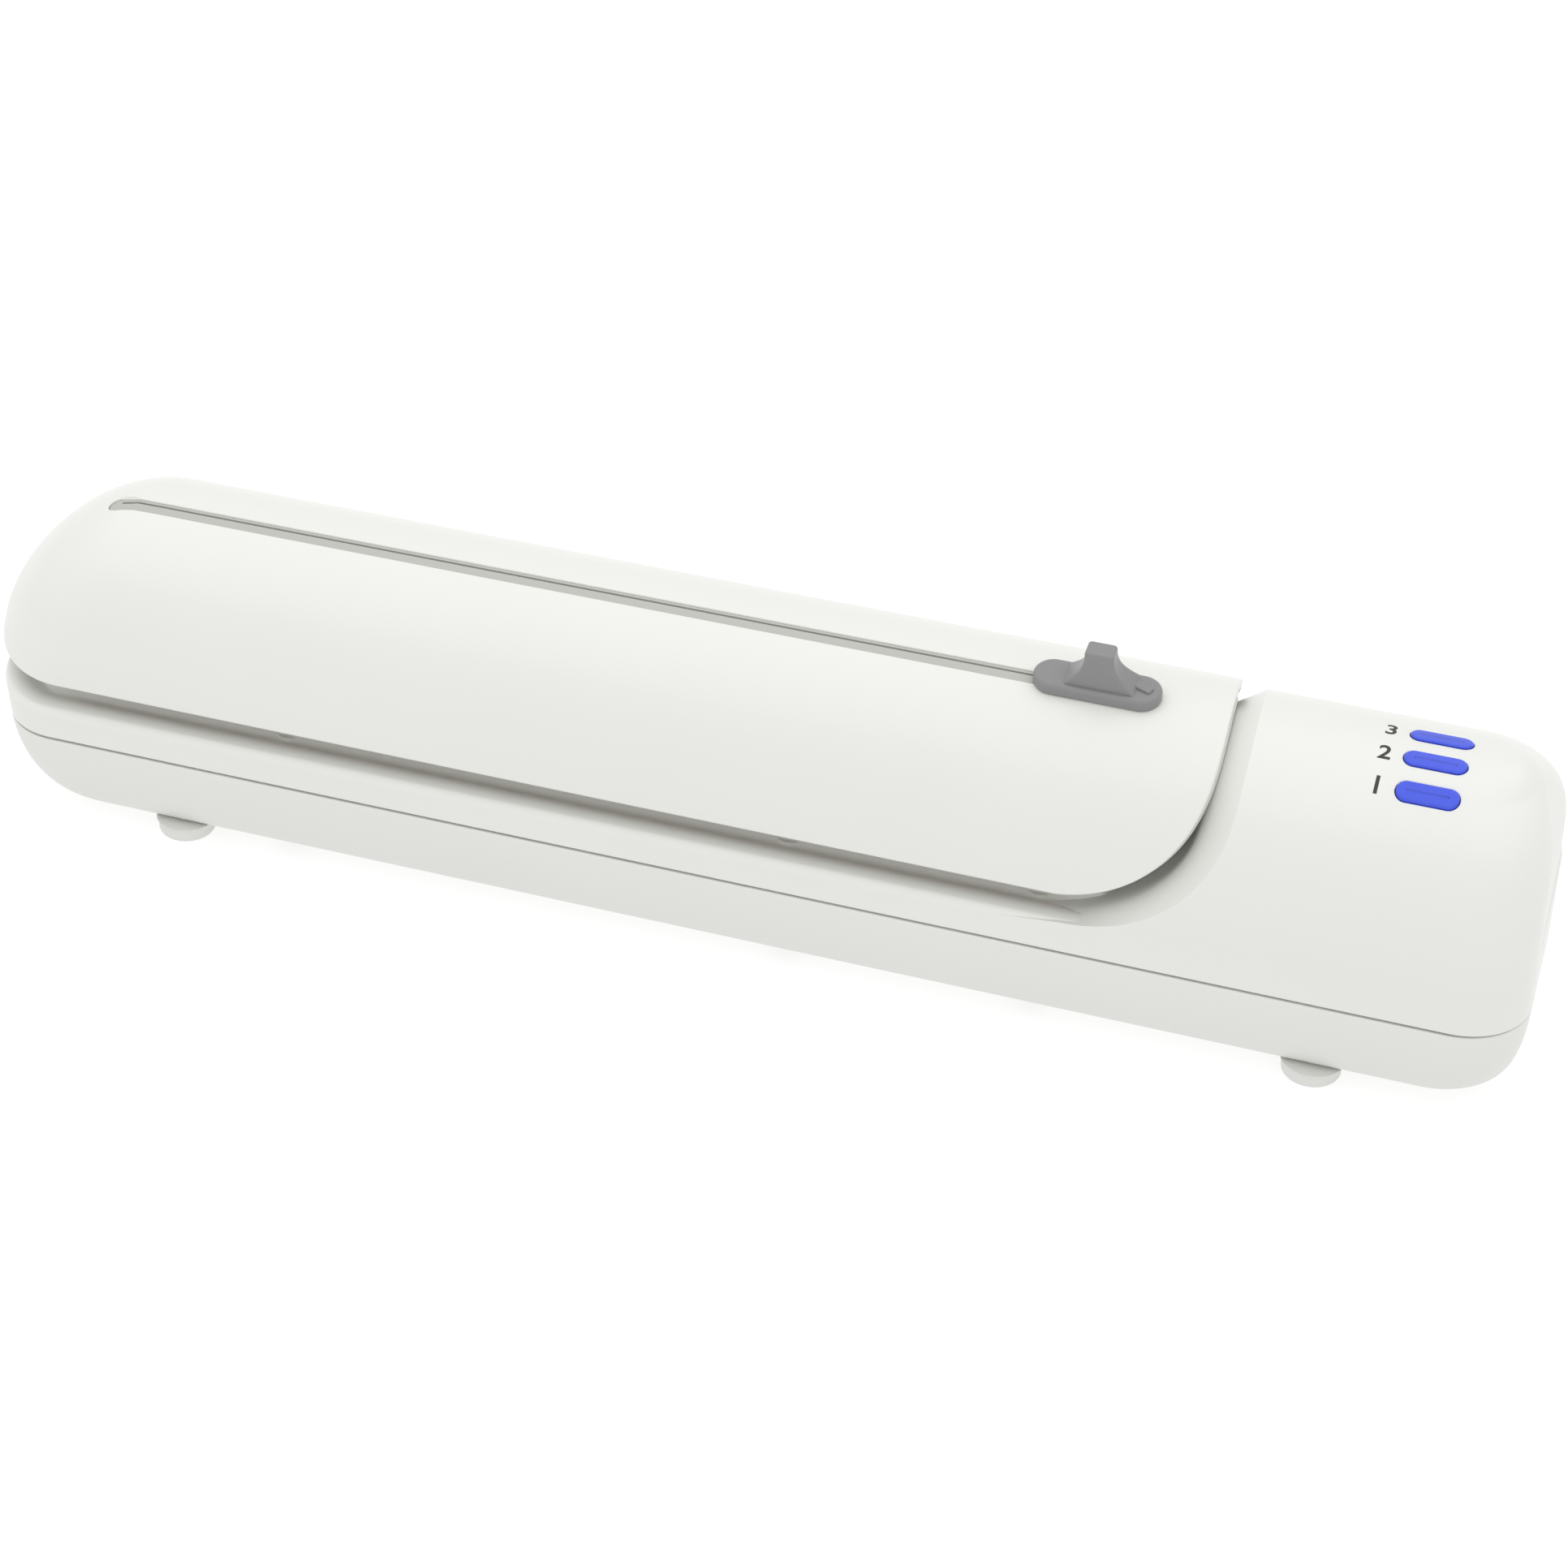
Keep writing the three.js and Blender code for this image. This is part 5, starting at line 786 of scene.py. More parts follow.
def quarter(steps=EDGE_STEPS):
    """Angles of a small rounded edge."""
    return np.radians(np.linspace(0, 90, steps + 1))


def arc(x, y, radius, start, end, steps):
    around = np.radians(np.linspace(start, end, steps + 1))
    return np.stack([x + radius * np.cos(around), y + radius * np.sin(around)], 1)


def disc(x, y, radius, steps=ROUND_STEPS):
    return arc(x, y, radius, 0, 360, steps)[:-1]


def plain_box(x0, x1, y0, y1):
    return np.array([[x0, y0], [x1, y0], [x1, y1], [x0, y1]])


def rounded_box(x0, x1, y0, y1, radius, steps=COARSE_STEPS):
    """A flat outline with round corners, anticlockwise."""
    return np.concatenate([
        arc(x1 - radius, y1 - radius, radius, 0, 90, steps),
        arc(x0 + radius, y1 - radius, radius, 90, 180, steps),
        arc(x0 + radius, y0 + radius, radius, 180, 270, steps),
        arc(x1 - radius, y0 + radius, radius, 270, 360, steps),
    ])


def stadium(x0, x1, y0, y1, run=RUN_STEPS):
    """A pill outline whose points pair up straight across it, from the right tip round by the back."""
    radius = (y1 - y0) / 2
    middle = (y0 + y1) / 2
    right = arc(x1 - radius, middle, radius, 0, 90, PILL_STEPS)[1:-1]
    side = np.stack([np.linspace(x1 - radius, x0 + radius, run + 1), np.full(run + 1, y1)], 1)
    left = arc(x0 + radius, middle, radius, 90, 180, PILL_STEPS)[1:-1]
    back = np.concatenate([right, side, left])
    front = back[::-1] * [1, -1] + [0, 2 * middle]
    return np.concatenate([[[x1, middle]], back, [[x0, middle]], front])


def pill(half_length, half_width, v=0):
    """A function that gives the pill's outline grown by a size."""
    def outline(grow):
        x, y = half_length + grow, half_width + grow
        return stadium(-x, x, v - y, v + y, PILL_RUN_STEPS)
    return outline


def surface_rings(sizes, section, outline, place, steps, level=0.0, inset=0.0):
    """Pill rings that follow a form's surface, by steps of height over it and growth of the outline."""
    direction = np.subtract(place(0, 0, 1), place(0, 0, 0))
    rings = []
    for height, grow in steps:
        base = placed(outline(grow), level, place)
        lift = lifts(sizes, section, base, direction, inset) + height
        rings.append(base + lift[:, None] * direction)
    return rings


def lip_steps(lip):
    """Steps of a tool that opens in a rounded lip and sinks through the wall."""
    turned = [(-lip * (1 - math.cos(t)), lip * (1 - math.sin(t))) for t in quarter()]
    return [(TOOL_RISE, lip), *turned, (-HOLE_DEPTH, 0)]


def hinge_places():
    """X of the two hinges, from their pins in the frame."""
    boxes = [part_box(f"hinge_pin_{side}") for side in ("left", "right")]
    return [(low.x + high.x) / 2 - MIDDLE_X for low, high in boxes]


def centre(name):
    """Middle of a frame node in case coordinates."""
    low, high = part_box(name)
    middle = (low + high) / 2
    return middle.x - MIDDLE_X, middle.y, middle.z


def screw_places():
    return [centre(f"case_screw_{i}")[:2] for i in range(1, 7)]


def round_post(x, y, radius, low, high, steps=SMALL_ROUND_STEPS):
    return bar("post", disc(x, y, radius, steps), low, high, upright)


def half_space(front_z, back_z, up):
    """Everything above or below a plane through two heights of the side view."""
    slope = (back_z - front_z) / (2 * HALF_DEPTH)
    reach = HALF_DEPTH * 2
    low, high = (front_z + slope * (y + HALF_DEPTH) for y in (-reach, reach))
    far = FAR if up else -FAR
    outline = [[-reach, low], [reach, high], [reach, far], [-reach, far]]
    return bar("half", outline, -FAR, FAR, across_x)


def end_outline(z, end_x, radius, low, ramp):
    """An end in front view: a level or ramped line that turns up round a corner into an upright edge."""
    drop = np.clip(low + radius - z, 0, radius)
    turned = end_x - radius + np.sqrt(np.maximum(radius * radius - drop * drop, 0))
    return np.where(z <= low, end_x - radius - ramp * (low - z), turned)


def end_tool(section, far_x, outline, depths, reaches, low, fine):
    """A tool that ends at an outline on a form and follows reaches at depths under its surface.

    Both ends lean a little to the left as they cross the crown.
    """
    levels = np.unique(np.round(np.concatenate([section.heights(low), fine]), 7))
    z = np.concatenate([levels, levels[::-1]])
    front = np.arange(len(z)) < len(levels)
    both = [section.surface(z, side) for side in (-1, 1)]
    y, in_y, in_z = (np.where(front, a, b) for a, b in zip(*both))
    lean = END_LEAN * np.maximum((y - END_LEAN_START) / END_LEAN_RUN, 0) ** END_LEAN_POWER
    steps = [-OVERSHOOT, *depths]
    shifts = [reaches[0], *reaches]
    rings = [np.stack([np.full(len(z), far_x), y + in_y * steps[0], z + in_z * steps[0]], 1)]
    for depth, shift in zip(steps, shifts):
        rings.append(np.stack([outline(z, shift) - lean, y + in_y * depth, z + in_z * depth], 1))
    return skin("end", rings, across=True)


def channel_tool(offset):
    """Everything left of the scooped channel's wall."""
    reaches = np.interp(FINE_DEPTHS, SCOOP_DEPTHS, SCOOP_REACHES)
    reaches[1:-1] = (reaches[:-2] + 2 * reaches[1:-1] + reaches[2:]) / 4
    fine = CHANNEL_LOW + np.linspace(0, 1, FINE_LEVELS) ** 2 * CHANNEL_FINE_RUN

    def outline(z, shift):
        risen = np.clip((z - STEEP_LOW) / (STEEP_HIGH - STEEP_LOW), 0, 1)
        steep = STEEP_SHARE + (1 - STEEP_SHARE) * risen * risen * (3 - 2 * risen)
        edge = end_outline(z, CHANNEL_X, CHANNEL_CORNER_RADIUS, CHANNEL_LOW, RAMP_RUN)
        return edge + offset - shift * steep

    low = CHANNEL_LOW - RAMP_LOW - offset
    return end_tool(CASE_SECTION, -FAR, outline, FINE_DEPTHS, reaches, low, fine)


def lid_end_tool(end_x, radius, low, depths, reaches, turned):
    """Everything right of the lid's right edge, whose reaches run left, or also round its corner."""
    fine = low + np.linspace(0, 1, FINE_LEVELS)[1:] ** 2 * LID_FINE_RUN

    def outline(z, shift):
        return end_outline(z, end_x - shift, radius - turned * shift, low + turned * shift, 0)

    return end_tool(LID_SECTION, FAR, outline, depths, reaches, low - OVERSHOOT, fine)


def slot_outline(grow):
    return stadium(SLOT_LEFT - grow, SLOT_RIGHT + grow, SLOT_FRONT_Y - grow, SLOT_BACK_Y + grow)


def slot_tool(lip):
    """The pill-shaped groove in the lid's crown, with a rounded lip."""
    return solid("slot", *pill_loft(surface_rings(
        lid_sizes, LID_SECTION, slot_outline, upright, lip_steps(lip), SLOT_LEVEL,
    )))


def hinge_bores(clearance):
    reach = LUG_WIDTH / 2 + EAR_WIDTH + 2 * OVERSHOOT
    outline = disc(HINGE_Y, HINGE_Z, PIN_RADIUS + clearance)
    return [bar("bore", outline, x - reach, x + reach, across_x) for x in hinge_places()]


def node(tree, kind, values=None, links=None):
    """Adds a shader node with its settings, input values and links."""
    made = tree.nodes.new(kind)
    for key, value in (values or {}).items():
        if isinstance(key, int) or key in made.inputs:
            made.inputs[key].default_value = value
        else:
            setattr(made, key, value)
    for key, source in (links or {}).items():
        tree.links.new(source, made.inputs[key])
    return made


def finish(name, values):
    """A new material with its surface shader and its object coordinates, which ride with the piece."""
    material = bpy.data.materials.new(name)
    material.use_nodes = True
    tree = material.node_tree
    tree.nodes.clear()
    shader = node(tree, "ShaderNodeBsdfPrincipled", values)
    node(tree, "ShaderNodeOutputMaterial", {}, {"Surface": shader.outputs["BSDF"]})
    place = node(tree, "ShaderNodeTexCoord").outputs["Object"]
    return material, tree, shader, place


def shades(base, spread):
    """A darker and a lighter tone of a colour."""
    return [tuple(min(c * k, 1) for c in base[:3]) + (1,) for k in (1 - spread, 1 + spread)]


def plastic(name, base, roughness, spread=0.012, grain=5, depth=None, fine=0.0, **values):
    """Moulded plastic: even colour with the faint flow clouds and waviness of a mould.

    Grain is the width of the surface's unevenness and depth its height, both in millimetres.
    """
    if name in bpy.data.materials:
        return bpy.data.materials[name]
    material, tree, shader, place = finish(name, {"IOR": 1.54, **values})
    clouds = node(tree, "ShaderNodeTexNoise", {
        "Scale": 1 / (40 * MM), "Detail": 2, "Roughness": 0.5,
    }, {"Vector": place}).outputs["Fac"]
    low, high = shades(base, spread)
    colour = node(tree, "ShaderNodeMix", {"data_type": "RGBA", 6: low, 7: high}, {0: clouds}).outputs[2]
    tree.links.new(colour, shader.inputs["Base Color"])
    rough = node(tree, "ShaderNodeMapRange", {
        "To Min": roughness * 0.85, "To Max": roughness * 1.15,
    }, {"Value": clouds}).outputs["Result"]
    tree.links.new(rough, shader.inputs["Roughness"])
    waves = node(tree, "ShaderNodeTexNoise", {
        "Scale": 1 / (grain * MM), "Detail": 1 + 5 * fine, "Roughness": 0.5,
    }, {"Vector": place}).outputs["Fac"]
    height = mouldings().peel if depth is None else depth * MM
    bump = node(
        tree, "ShaderNodeBump", {"Distance": height, "Strength": 1}, {"Height": waves}
    ).outputs["Normal"]
    tree.links.new(bump, shader.inputs["Normal"])
    return material


def white_abs():
    """Moulded gloss ABS: an even bright white with soft mirror highlights."""
    return plastic("moulded gloss ABS white", finishes().white, finishes().gloss)


class SEALER_OT_lid_shell(Operator):
    """Domed lid shell with its rounded rim, hinge ears and groove"""

    bl_idname = "sealer.lid_shell"
    bl_label = "Lid shell"

    def execute(self, context):
        sizes = mouldings()
        edge = sizes.rim_round
        slope = (RIM_BACK - RIM_FRONT) / (2 * HALF_DEPTH)
        rings = []
        for t in quarter():
            rise, inset = edge * (1 - math.cos(t)), edge * (1 - math.sin(t))
            rings.append(form_ring(lid_sizes, RIM_FRONT + rise, inset, slope))
        for z in LID_SECTION.heights(RIM_FRONT + 2 * edge)[1:]:
            tilt = slope * max(1 - (z - RIM_FRONT - edge) / RIM_FADE, 0)
            rings.append(form_ring(lid_sizes, z, 0, tilt))
        shell = skin("lid_shell_moulding", rings)
        hollow = lid_form("hollow", LID_LOW - OVERSHOOT, LID_WALL, 2)
        depths = [*(edge * (1 - np.cos(quarter()))), LID_WALL + TOOL_RISE]
        reaches = [*(edge * (1 - np.sin(quarter()))), 0]
        end = lid_end_tool(SHELL_END_X, SHELL_CORNER_RADIUS, RIM_FRONT, depths, reaches, 1)
        cut(shell, hollow, end)
        low = arc(HINGE_Y, HINGE_Z, KNUCKLE_RADIUS, 180, 360, SMALL_ROUND_STEPS)
        outline = [*low, [HINGE_Y + KNUCKLE_RADIUS, EAR_TOP], [HINGE_Y - KNUCKLE_RADIUS, EAR_TOP]]
        notch_top = HINGE_Z + KNUCKLE_RADIUS + 2 * GAP
        notch = plain_box(EAR_FRONT_Y, HALF_DEPTH + OVERSHOOT, RIM_FRONT, notch_top)
        ears, notches = [], []
        for x in hinge_places():
            half = LUG_WIDTH / 2 + GAP
            for start in (x - half - EAR_WIDTH, x + half):
                ears.append(bar("ear", outline, start, start + EAR_WIDTH, across_x))
            notches.append(bar("notch", notch, x - half, x + half, across_x))
        for ear in ears:
            trim(ear, lid_form("keep", LID_LOW, GAP, 2))
        join(shell, *ears)
        cut(shell, *notches, *hinge_bores(RUNNING_CLEARANCE), slot_tool(sizes.groove_lip))
        dress(shell, white_abs(), "lid", "white_gloss", "lid_shell")
        return {"FINISHED"}


def seal_loop(grow):
    """The seals' loop on the deck."""
    x0, x1, y0, y1 = SEAL_LEFT - grow, SEAL_RIGHT + grow, SEAL_FRONT - grow, SEAL_BACK + grow
    return rounded_box(x0, x1, y0, y1, SEAL_CORNER_RADIUS + grow, PILL_STEPS)


def ring_body(name, profile):
    """A ring on the deck whose profile is a list of (growth of the loop, height)."""
    return solid(name, *band([placed(seal_loop(grow), level, on_deck) for grow, level in profile]))


def seal_groove(low, high):
    inner = -SEAL_WIDTH - GAP
    return ring_body("seal_groove", [(GAP, low), (GAP, high), (inner, high), (inner, low)])


def strip_box(width, low, high, margin=0.0, run=0.0):
    half = width / 2 + margin
    x = margin + run
    outline = plain_box(HEATER_LEFT - x, HEATER_RIGHT + x, HEATER_V - half, HEATER_V + half)
    return bar("strip", outline, low, high, on_deck)


class SEALER_OT_lid_liner(Operator):
    """Liner inside the lid, with its seal groove, press-strip seat and end wall"""

    bl_idname = "sealer.lid_liner"
    bl_label = "Lid liner"

    def execute(self, context):
        seat = LID_WALL + GAP
        liner = lid_form("lid_liner_moulding", LID_LOW, seat)
        heights = (LID_LIFT + GAP, LID_LIFT + GAP + LINER_THICKNESS, LID_LIFT + LINER_RISE)
        levels = [(deck_level(w, -HALF_DEPTH), deck_level(w, HALF_DEPTH)) for w in heights]
        face, inner_face = (half_space(*level, True) for level in levels[:2])
        low = bar("low", plain_box(-2 * HALF_DEPTH, LINER_BACK_Y, 0, FAR), -FAR, FAR, across_x)
        trim(liner, face, low)
        ends = [
            lid_end_tool(
                LINER_END_X, LINER_CORNER_RADIUS, LINER_CORNER_LOW, LINER_EDGE_DEPTHS, reaches, 0
            )
            for reaches in (LINER_EDGE_REACHES, LINER_EDGE_REACHES + LINER_WALL)
        ]
        cut(liner, ends[0])
        hollow = lid_form("hollow", LID_LOW - OVERSHOOT, seat + LINER_WALL, 2)
        inner_box = plain_box(-2 * HALF_DEPTH, LINER_BACK_Y - LINER_WALL, 0, FAR)
        trim(hollow, inner_face, bar("inner", inner_box, -FAR, FAR, across_x))
        cut(hollow, ends[1])
        cut(liner, hollow)
        keep = half_space(*levels[2], False)
        right = plain_box(SHELL_END_X - SHELL_CORNER_RADIUS / 2, FAR, -FAR / 2, FAR / 2)
        join(keep, bar("right", right, 0, FAR / 2, upright))
        trim(liner, keep)
        half = BLADE_SLIT_WIDTH / 2
        left = SLIDER_X - SLIDER_TRAVEL - STEM_LENGTH / 2 - OVERSHOOT
        right = SLIDER_X + STEM_LENGTH / 2 + OVERSHOOT
        slit = rounded_box(left, right, SLIT_Y - half, SLIT_Y + half, half / 2)
        room = RAIL_WIDTH / 2
        beside = plain_box(SLOT_FRONT_Y - room, SLOT_BACK_Y + room, LID_APEX - CROWN_RADIUS / 2, FAR)
        behind = plain_box(LINER_CREST_Y, HALF_DEPTH, LINER_CREST_LOW, FAR)
        cut(
            liner,
            seal_groove(LID_LIFT + GAP - OVERSHOOT, LID_LIFT + SEAL_SEAT),
            strip_box(
                PRESS_KEY_WIDTH, LID_LIFT - OVERSHOOT, LID_LIFT + 2 * GAP + PRESS_KEY_DEPTH,
                GAP - PRESS_KEY_DEPTH,
            ),
            bar("slit", slit, 0, LID_APEX - CROWN_RADIUS / 2, upright),
            bar("beside", beside, -FAR, SLOT_RIGHT + RAIL_MARGIN + GAP, across_x),
            bar("behind", behind, SLOT_RIGHT, FAR, across_x),
        )
        # Moulded satin ABS: the same white with the broad soft sheen that a blasted mould leaves
        satin = plastic("moulded satin ABS white", finishes().inner, 0.42, 0.015, 0.8, 0.006, 0.6)
        dress(liner, satin, "lid", "soft_white", "lid_liner")
        return {"FINISHED"}


def rim_ring(inset, z, rise, steps=CORNER_STEPS):
    """A ring of the block under the deck, which rises to the back by a share of the deck's slope."""
    radius = max(CASE_CORNER_RADIUS - inset, OVERSHOOT)
    x = HALF_LENGTH - inset
    y = HALF_DEPTH - inset
    flare = max(CREST_END_FLARE * (z - TRAY_TOP) / (CREST_HEIGHT - TRAY_TOP), 0)
    ring = corner_ring(-x - flare, x, -y, y, radius, radius, z, steps)
    ring[:, 2] += rise * DECK_SLOPE * (ring[:, 1] + HALF_DEPTH)
    return ring


def deck_block(edge):
    """Block under the lid with a soft crest and a shallow trough inside it."""
    def lean(z):
        return (z - TRAY_TOP) / math.tan(STEEP) + SLIVER

    start = CREST_HEIGHT - CREST_FILLET
    base = []
    for t in quarter():
        z = CASE_LOW + SLIVER + edge * (1 - math.cos(t))
        base.append(rim_ring(lean(z) + edge * (1 - math.sin(t)), z, 0))
    inset = lean(start)
    side_top = rim_ring(inset, start, 1)
    side = [base[-1] + (side_top - base[-1]) * k / SIDE_STEPS for k in range(1, SIDE_STEPS)]
    fillet = [
        rim_ring(inset + CREST_FILLET * (1 - math.cos(t)), start + CREST_FILLET * math.sin(t), 1)
        for t in quarter(FILLET_STEPS)
    ]
    trough = []
    for k in range(1, TROUGH_STEPS + 1):
        part = k / TROUGH_STEPS
        dip = TROUGH_DEPTH * math.sin(math.pi * part ** TROUGH_SKEW) ** TROUGH_POWER
        trough.append(rim_ring(inset + CREST_FILLET + TROUGH_WIDTH * part, CREST_HEIGHT - dip, 1))
    return skin("upper_case_moulding", [*base, *side, *fillet, *trough])


def housing_block(edge):
    """Fixed control housing right of the channel."""
    rings = []
    for t in quarter():
        z = CASE_LOW + edge * (1 - math.cos(t))
        rings.append(form_ring(case_sizes, z, edge * (1 - math.sin(t))))
    rings += [form_ring(case_sizes, z) for z in CASE_SECTION.heights(CASE_LOW + edge)[1:]]
    return skin("housing", rings)


def chamber_outline(grow):
    inset = SEAL_WIDTH + CHAMBER_INSET - grow
    radius = max(SEAL_CORNER_RADIUS - inset, OVERSHOOT) + grow
    x0, x1, y0, y1 = SEAL_LEFT + inset, SEAL_RIGHT - inset, SEAL_FRONT + inset, SEAL_BACK - inset
    return rounded_box(x0, x1, y0, y1, radius, MOUTH_STEPS)


def inlet_box():
    """Middle, half width and half height of the mains inlet's mouth."""
    low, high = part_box("mains_inlet")
    margin = INLET_FLANGE_MARGIN
    x, _, z = centre("mains_inlet")
    return x, z, (high.x - low.x) / 2 - margin, (high.z - low.z) / 2 - margin


def inlet_outline(margin):
    x, z, half_width, half_height = inlet_box()
    width, height = half_width + margin, half_height + margin
    radius = INLET_CORNER + margin
    return rounded_box(x - width, x + width, z - height, z + height, radius, MOUTH_STEPS)


class SEALER_OT_upper_case(Operator):
    """Upper case: deck, vacuum chamber, scooped channel and control housing"""

    bl_idname = "sealer.upper_case"
    bl_label = "Upper case"

    def execute(self, context):
        sizes = mouldings()
        housing = cut(housing_block(sizes.edge), channel_tool(0))
        case = join(deck_block(sizes.edge), housing)
        top = CREST_HEIGHT - DECK_THICKNESS
        hollow = skin("hollow", [
            rim_ring(WALL, CASE_LOW - OVERSHOOT, 0, COARSE_STEPS),
            rim_ring(WALL, top - WALL, 1, COARSE_STEPS),
            rim_ring(2 * WALL, top, 1, COARSE_STEPS),
        ])
        inner = case_form("inner", CASE_LOW - OVERSHOOT, WALL, 2)
        cut(inner, channel_tool(WALL))
        cut(case, hollow, inner)
        pan_low = -CHAMBER_DEPTH - CHAMBER_WALL
        adds = [bar("pan", chamber_outline(CHAMBER_WALL), pan_low, -SEAL_SEAT - OVERSHOOT, on_deck)]
        deck = CREST_HEIGHT - DECK_THICKNESS / 2
        knuckle = arc(HINGE_Y, HINGE_Z, KNUCKLE_RADIUS, 0, 180, SMALL_ROUND_STEPS)
        lug = [*knuckle, [HINGE_Y - KNUCKLE_RADIUS, CREST_HEIGHT], [HINGE_Y + KNUCKLE_RADIUS, CREST_HEIGHT]]
        for x in hinge_places():
            piece = bar("lug", lug, x - LUG_WIDTH / 2, x + LUG_WIDTH / 2, across_x)
            adds.append(trim(piece, half_space(deck, deck + DECK_SLOPE * 2 * HALF_DEPTH, True)))
        for x, y in screw_places():
            high = deck_level(0, y) - DECK_THICKNESS * POST_SINK_SHARE
            adds.append(round_post(x, y, CASE_POST_RADIUS, TRAY_POST_TOP + GAP, high))
        board_places = [(i * BOARD_POST_X, j * BOARD_POST_V) for i in (-1, 1) for j in (-1, 1)]
        for u, v in board_places:
            outline = disc(u, v, BOARD_POST_RADIUS, SMALL_ROUND_STEPS)
            post = bar("post", outline, GAP - BOARD_DEPTH, 0, on_board)
            adds.append(trim(post, case_form("keep", HOUSING_END_START, WALL / 2, 4)))
        join(case, *adds)
        cuts = [
            bar("chamber", chamber_outline(0), -CHAMBER_DEPTH, OVERSHOOT, on_deck),
            seal_groove(-SEAL_SEAT, OVERSHOOT),
            strip_box(HEATER_WIDTH, -HEATER_SEAT, OVERSHOOT, GAP),
            self.cutter_groove(),
            self.nipple_hole(),
            bar(
                "mouth", inlet_outline(GAP), HALF_DEPTH - WALL - OVERSHOOT, HALF_DEPTH + OVERSHOOT,
                along_y,
            ),
            *hinge_bores(PIN_PRESS_GAP),
        ]
        for x, y in screw_places():
            high = SCREW_SEAT + SCREW_LENGTH + OVERSHOOT
            cuts.append(round_post(x, y, SCREW_RADIUS + RUNNING_CLEARANCE, 0, high))
        for u, v in board_places:
            outline = disc(u, v, SMALL_SCREW_RADIUS + RUNNING_CLEARANCE, SMALL_ROUND_STEPS)
            low = -BOARD_DEPTH - OVERSHOOT
            cuts.append(bar("pilot", outline, low, SMALL_SCREW_LENGTH - BOARD_DEPTH, on_board))
        for v in BUTTON_ROWS.values():
            half_length = BUTTON_LENGTH / 2 + BUTTON_CLEARANCE
            outline = pill(half_length, BUTTON_HEIGHT / 2 + BUTTON_CLEARANCE, v)
            cuts.append(solid("hole", *pill_loft(surface_rings(
                case_sizes, CASE_SECTION, outline, on_board, lip_steps(sizes.button_lip),
            ))))
        cut(case, *cuts)
        dress(case, white_abs(), "base", "white_gloss", "upper_case")
        return {"FINISHED"}

    def cutter_groove(self):
        """Shallow groove in the deck that the blade's tip runs in."""
        half = CUT_GROOVE_WIDTH / 2
        y0, y1 = SLIT_Y - half, SLIT_Y + half
        corners = ((y0, -CUT_GROOVE_DEPTH), (y1, -CUT_GROOVE_DEPTH), (y1, OVERSHOOT), (y0, OVERSHOOT))
        outline = [[y, deck_level(0, y) + level] for y, level in corners]
        left = SLIDER_X - SLIDER_TRAVEL - STEM_LENGTH
        return bar("groove", outline, left, SLIDER_X + STEM_LENGTH - GAP, across_x)

    def nipple_hole(self):
        x, _, _ = centre("suction_nipple")
        outline = disc(x, (SEAL_FRONT + SEAL_BACK) / 2, NIPPLE_HOLE_RADIUS)
        low = -CHAMBER_DEPTH - CHAMBER_WALL - OVERSHOOT
        return bar("hole", outline, low, OVERSHOOT - CHAMBER_DEPTH, on_deck)


def tray_ring(inset, z, steps=CORNER_STEPS):
    sunk = min(max((TRAY_TOP - z) / (TRAY_TOP - FOOT_HEIGHT), 0), 1)
    tuck = 1 - math.sqrt(1 - sunk * sunk)
    radius = CASE_CORNER_RADIUS - inset
    left = -HALF_LENGTH + TRAY_TUCK_LEFT * tuck + inset
    right = HALF_LENGTH - TRAY_TUCK_RIGHT * tuck - inset
    y = HALF_DEPTH - TRAY_TUCK * tuck - inset
    return corner_ring(left, right, -y, y, radius + TRAY_CORNER_GROWTH * sunk, radius, z, steps)


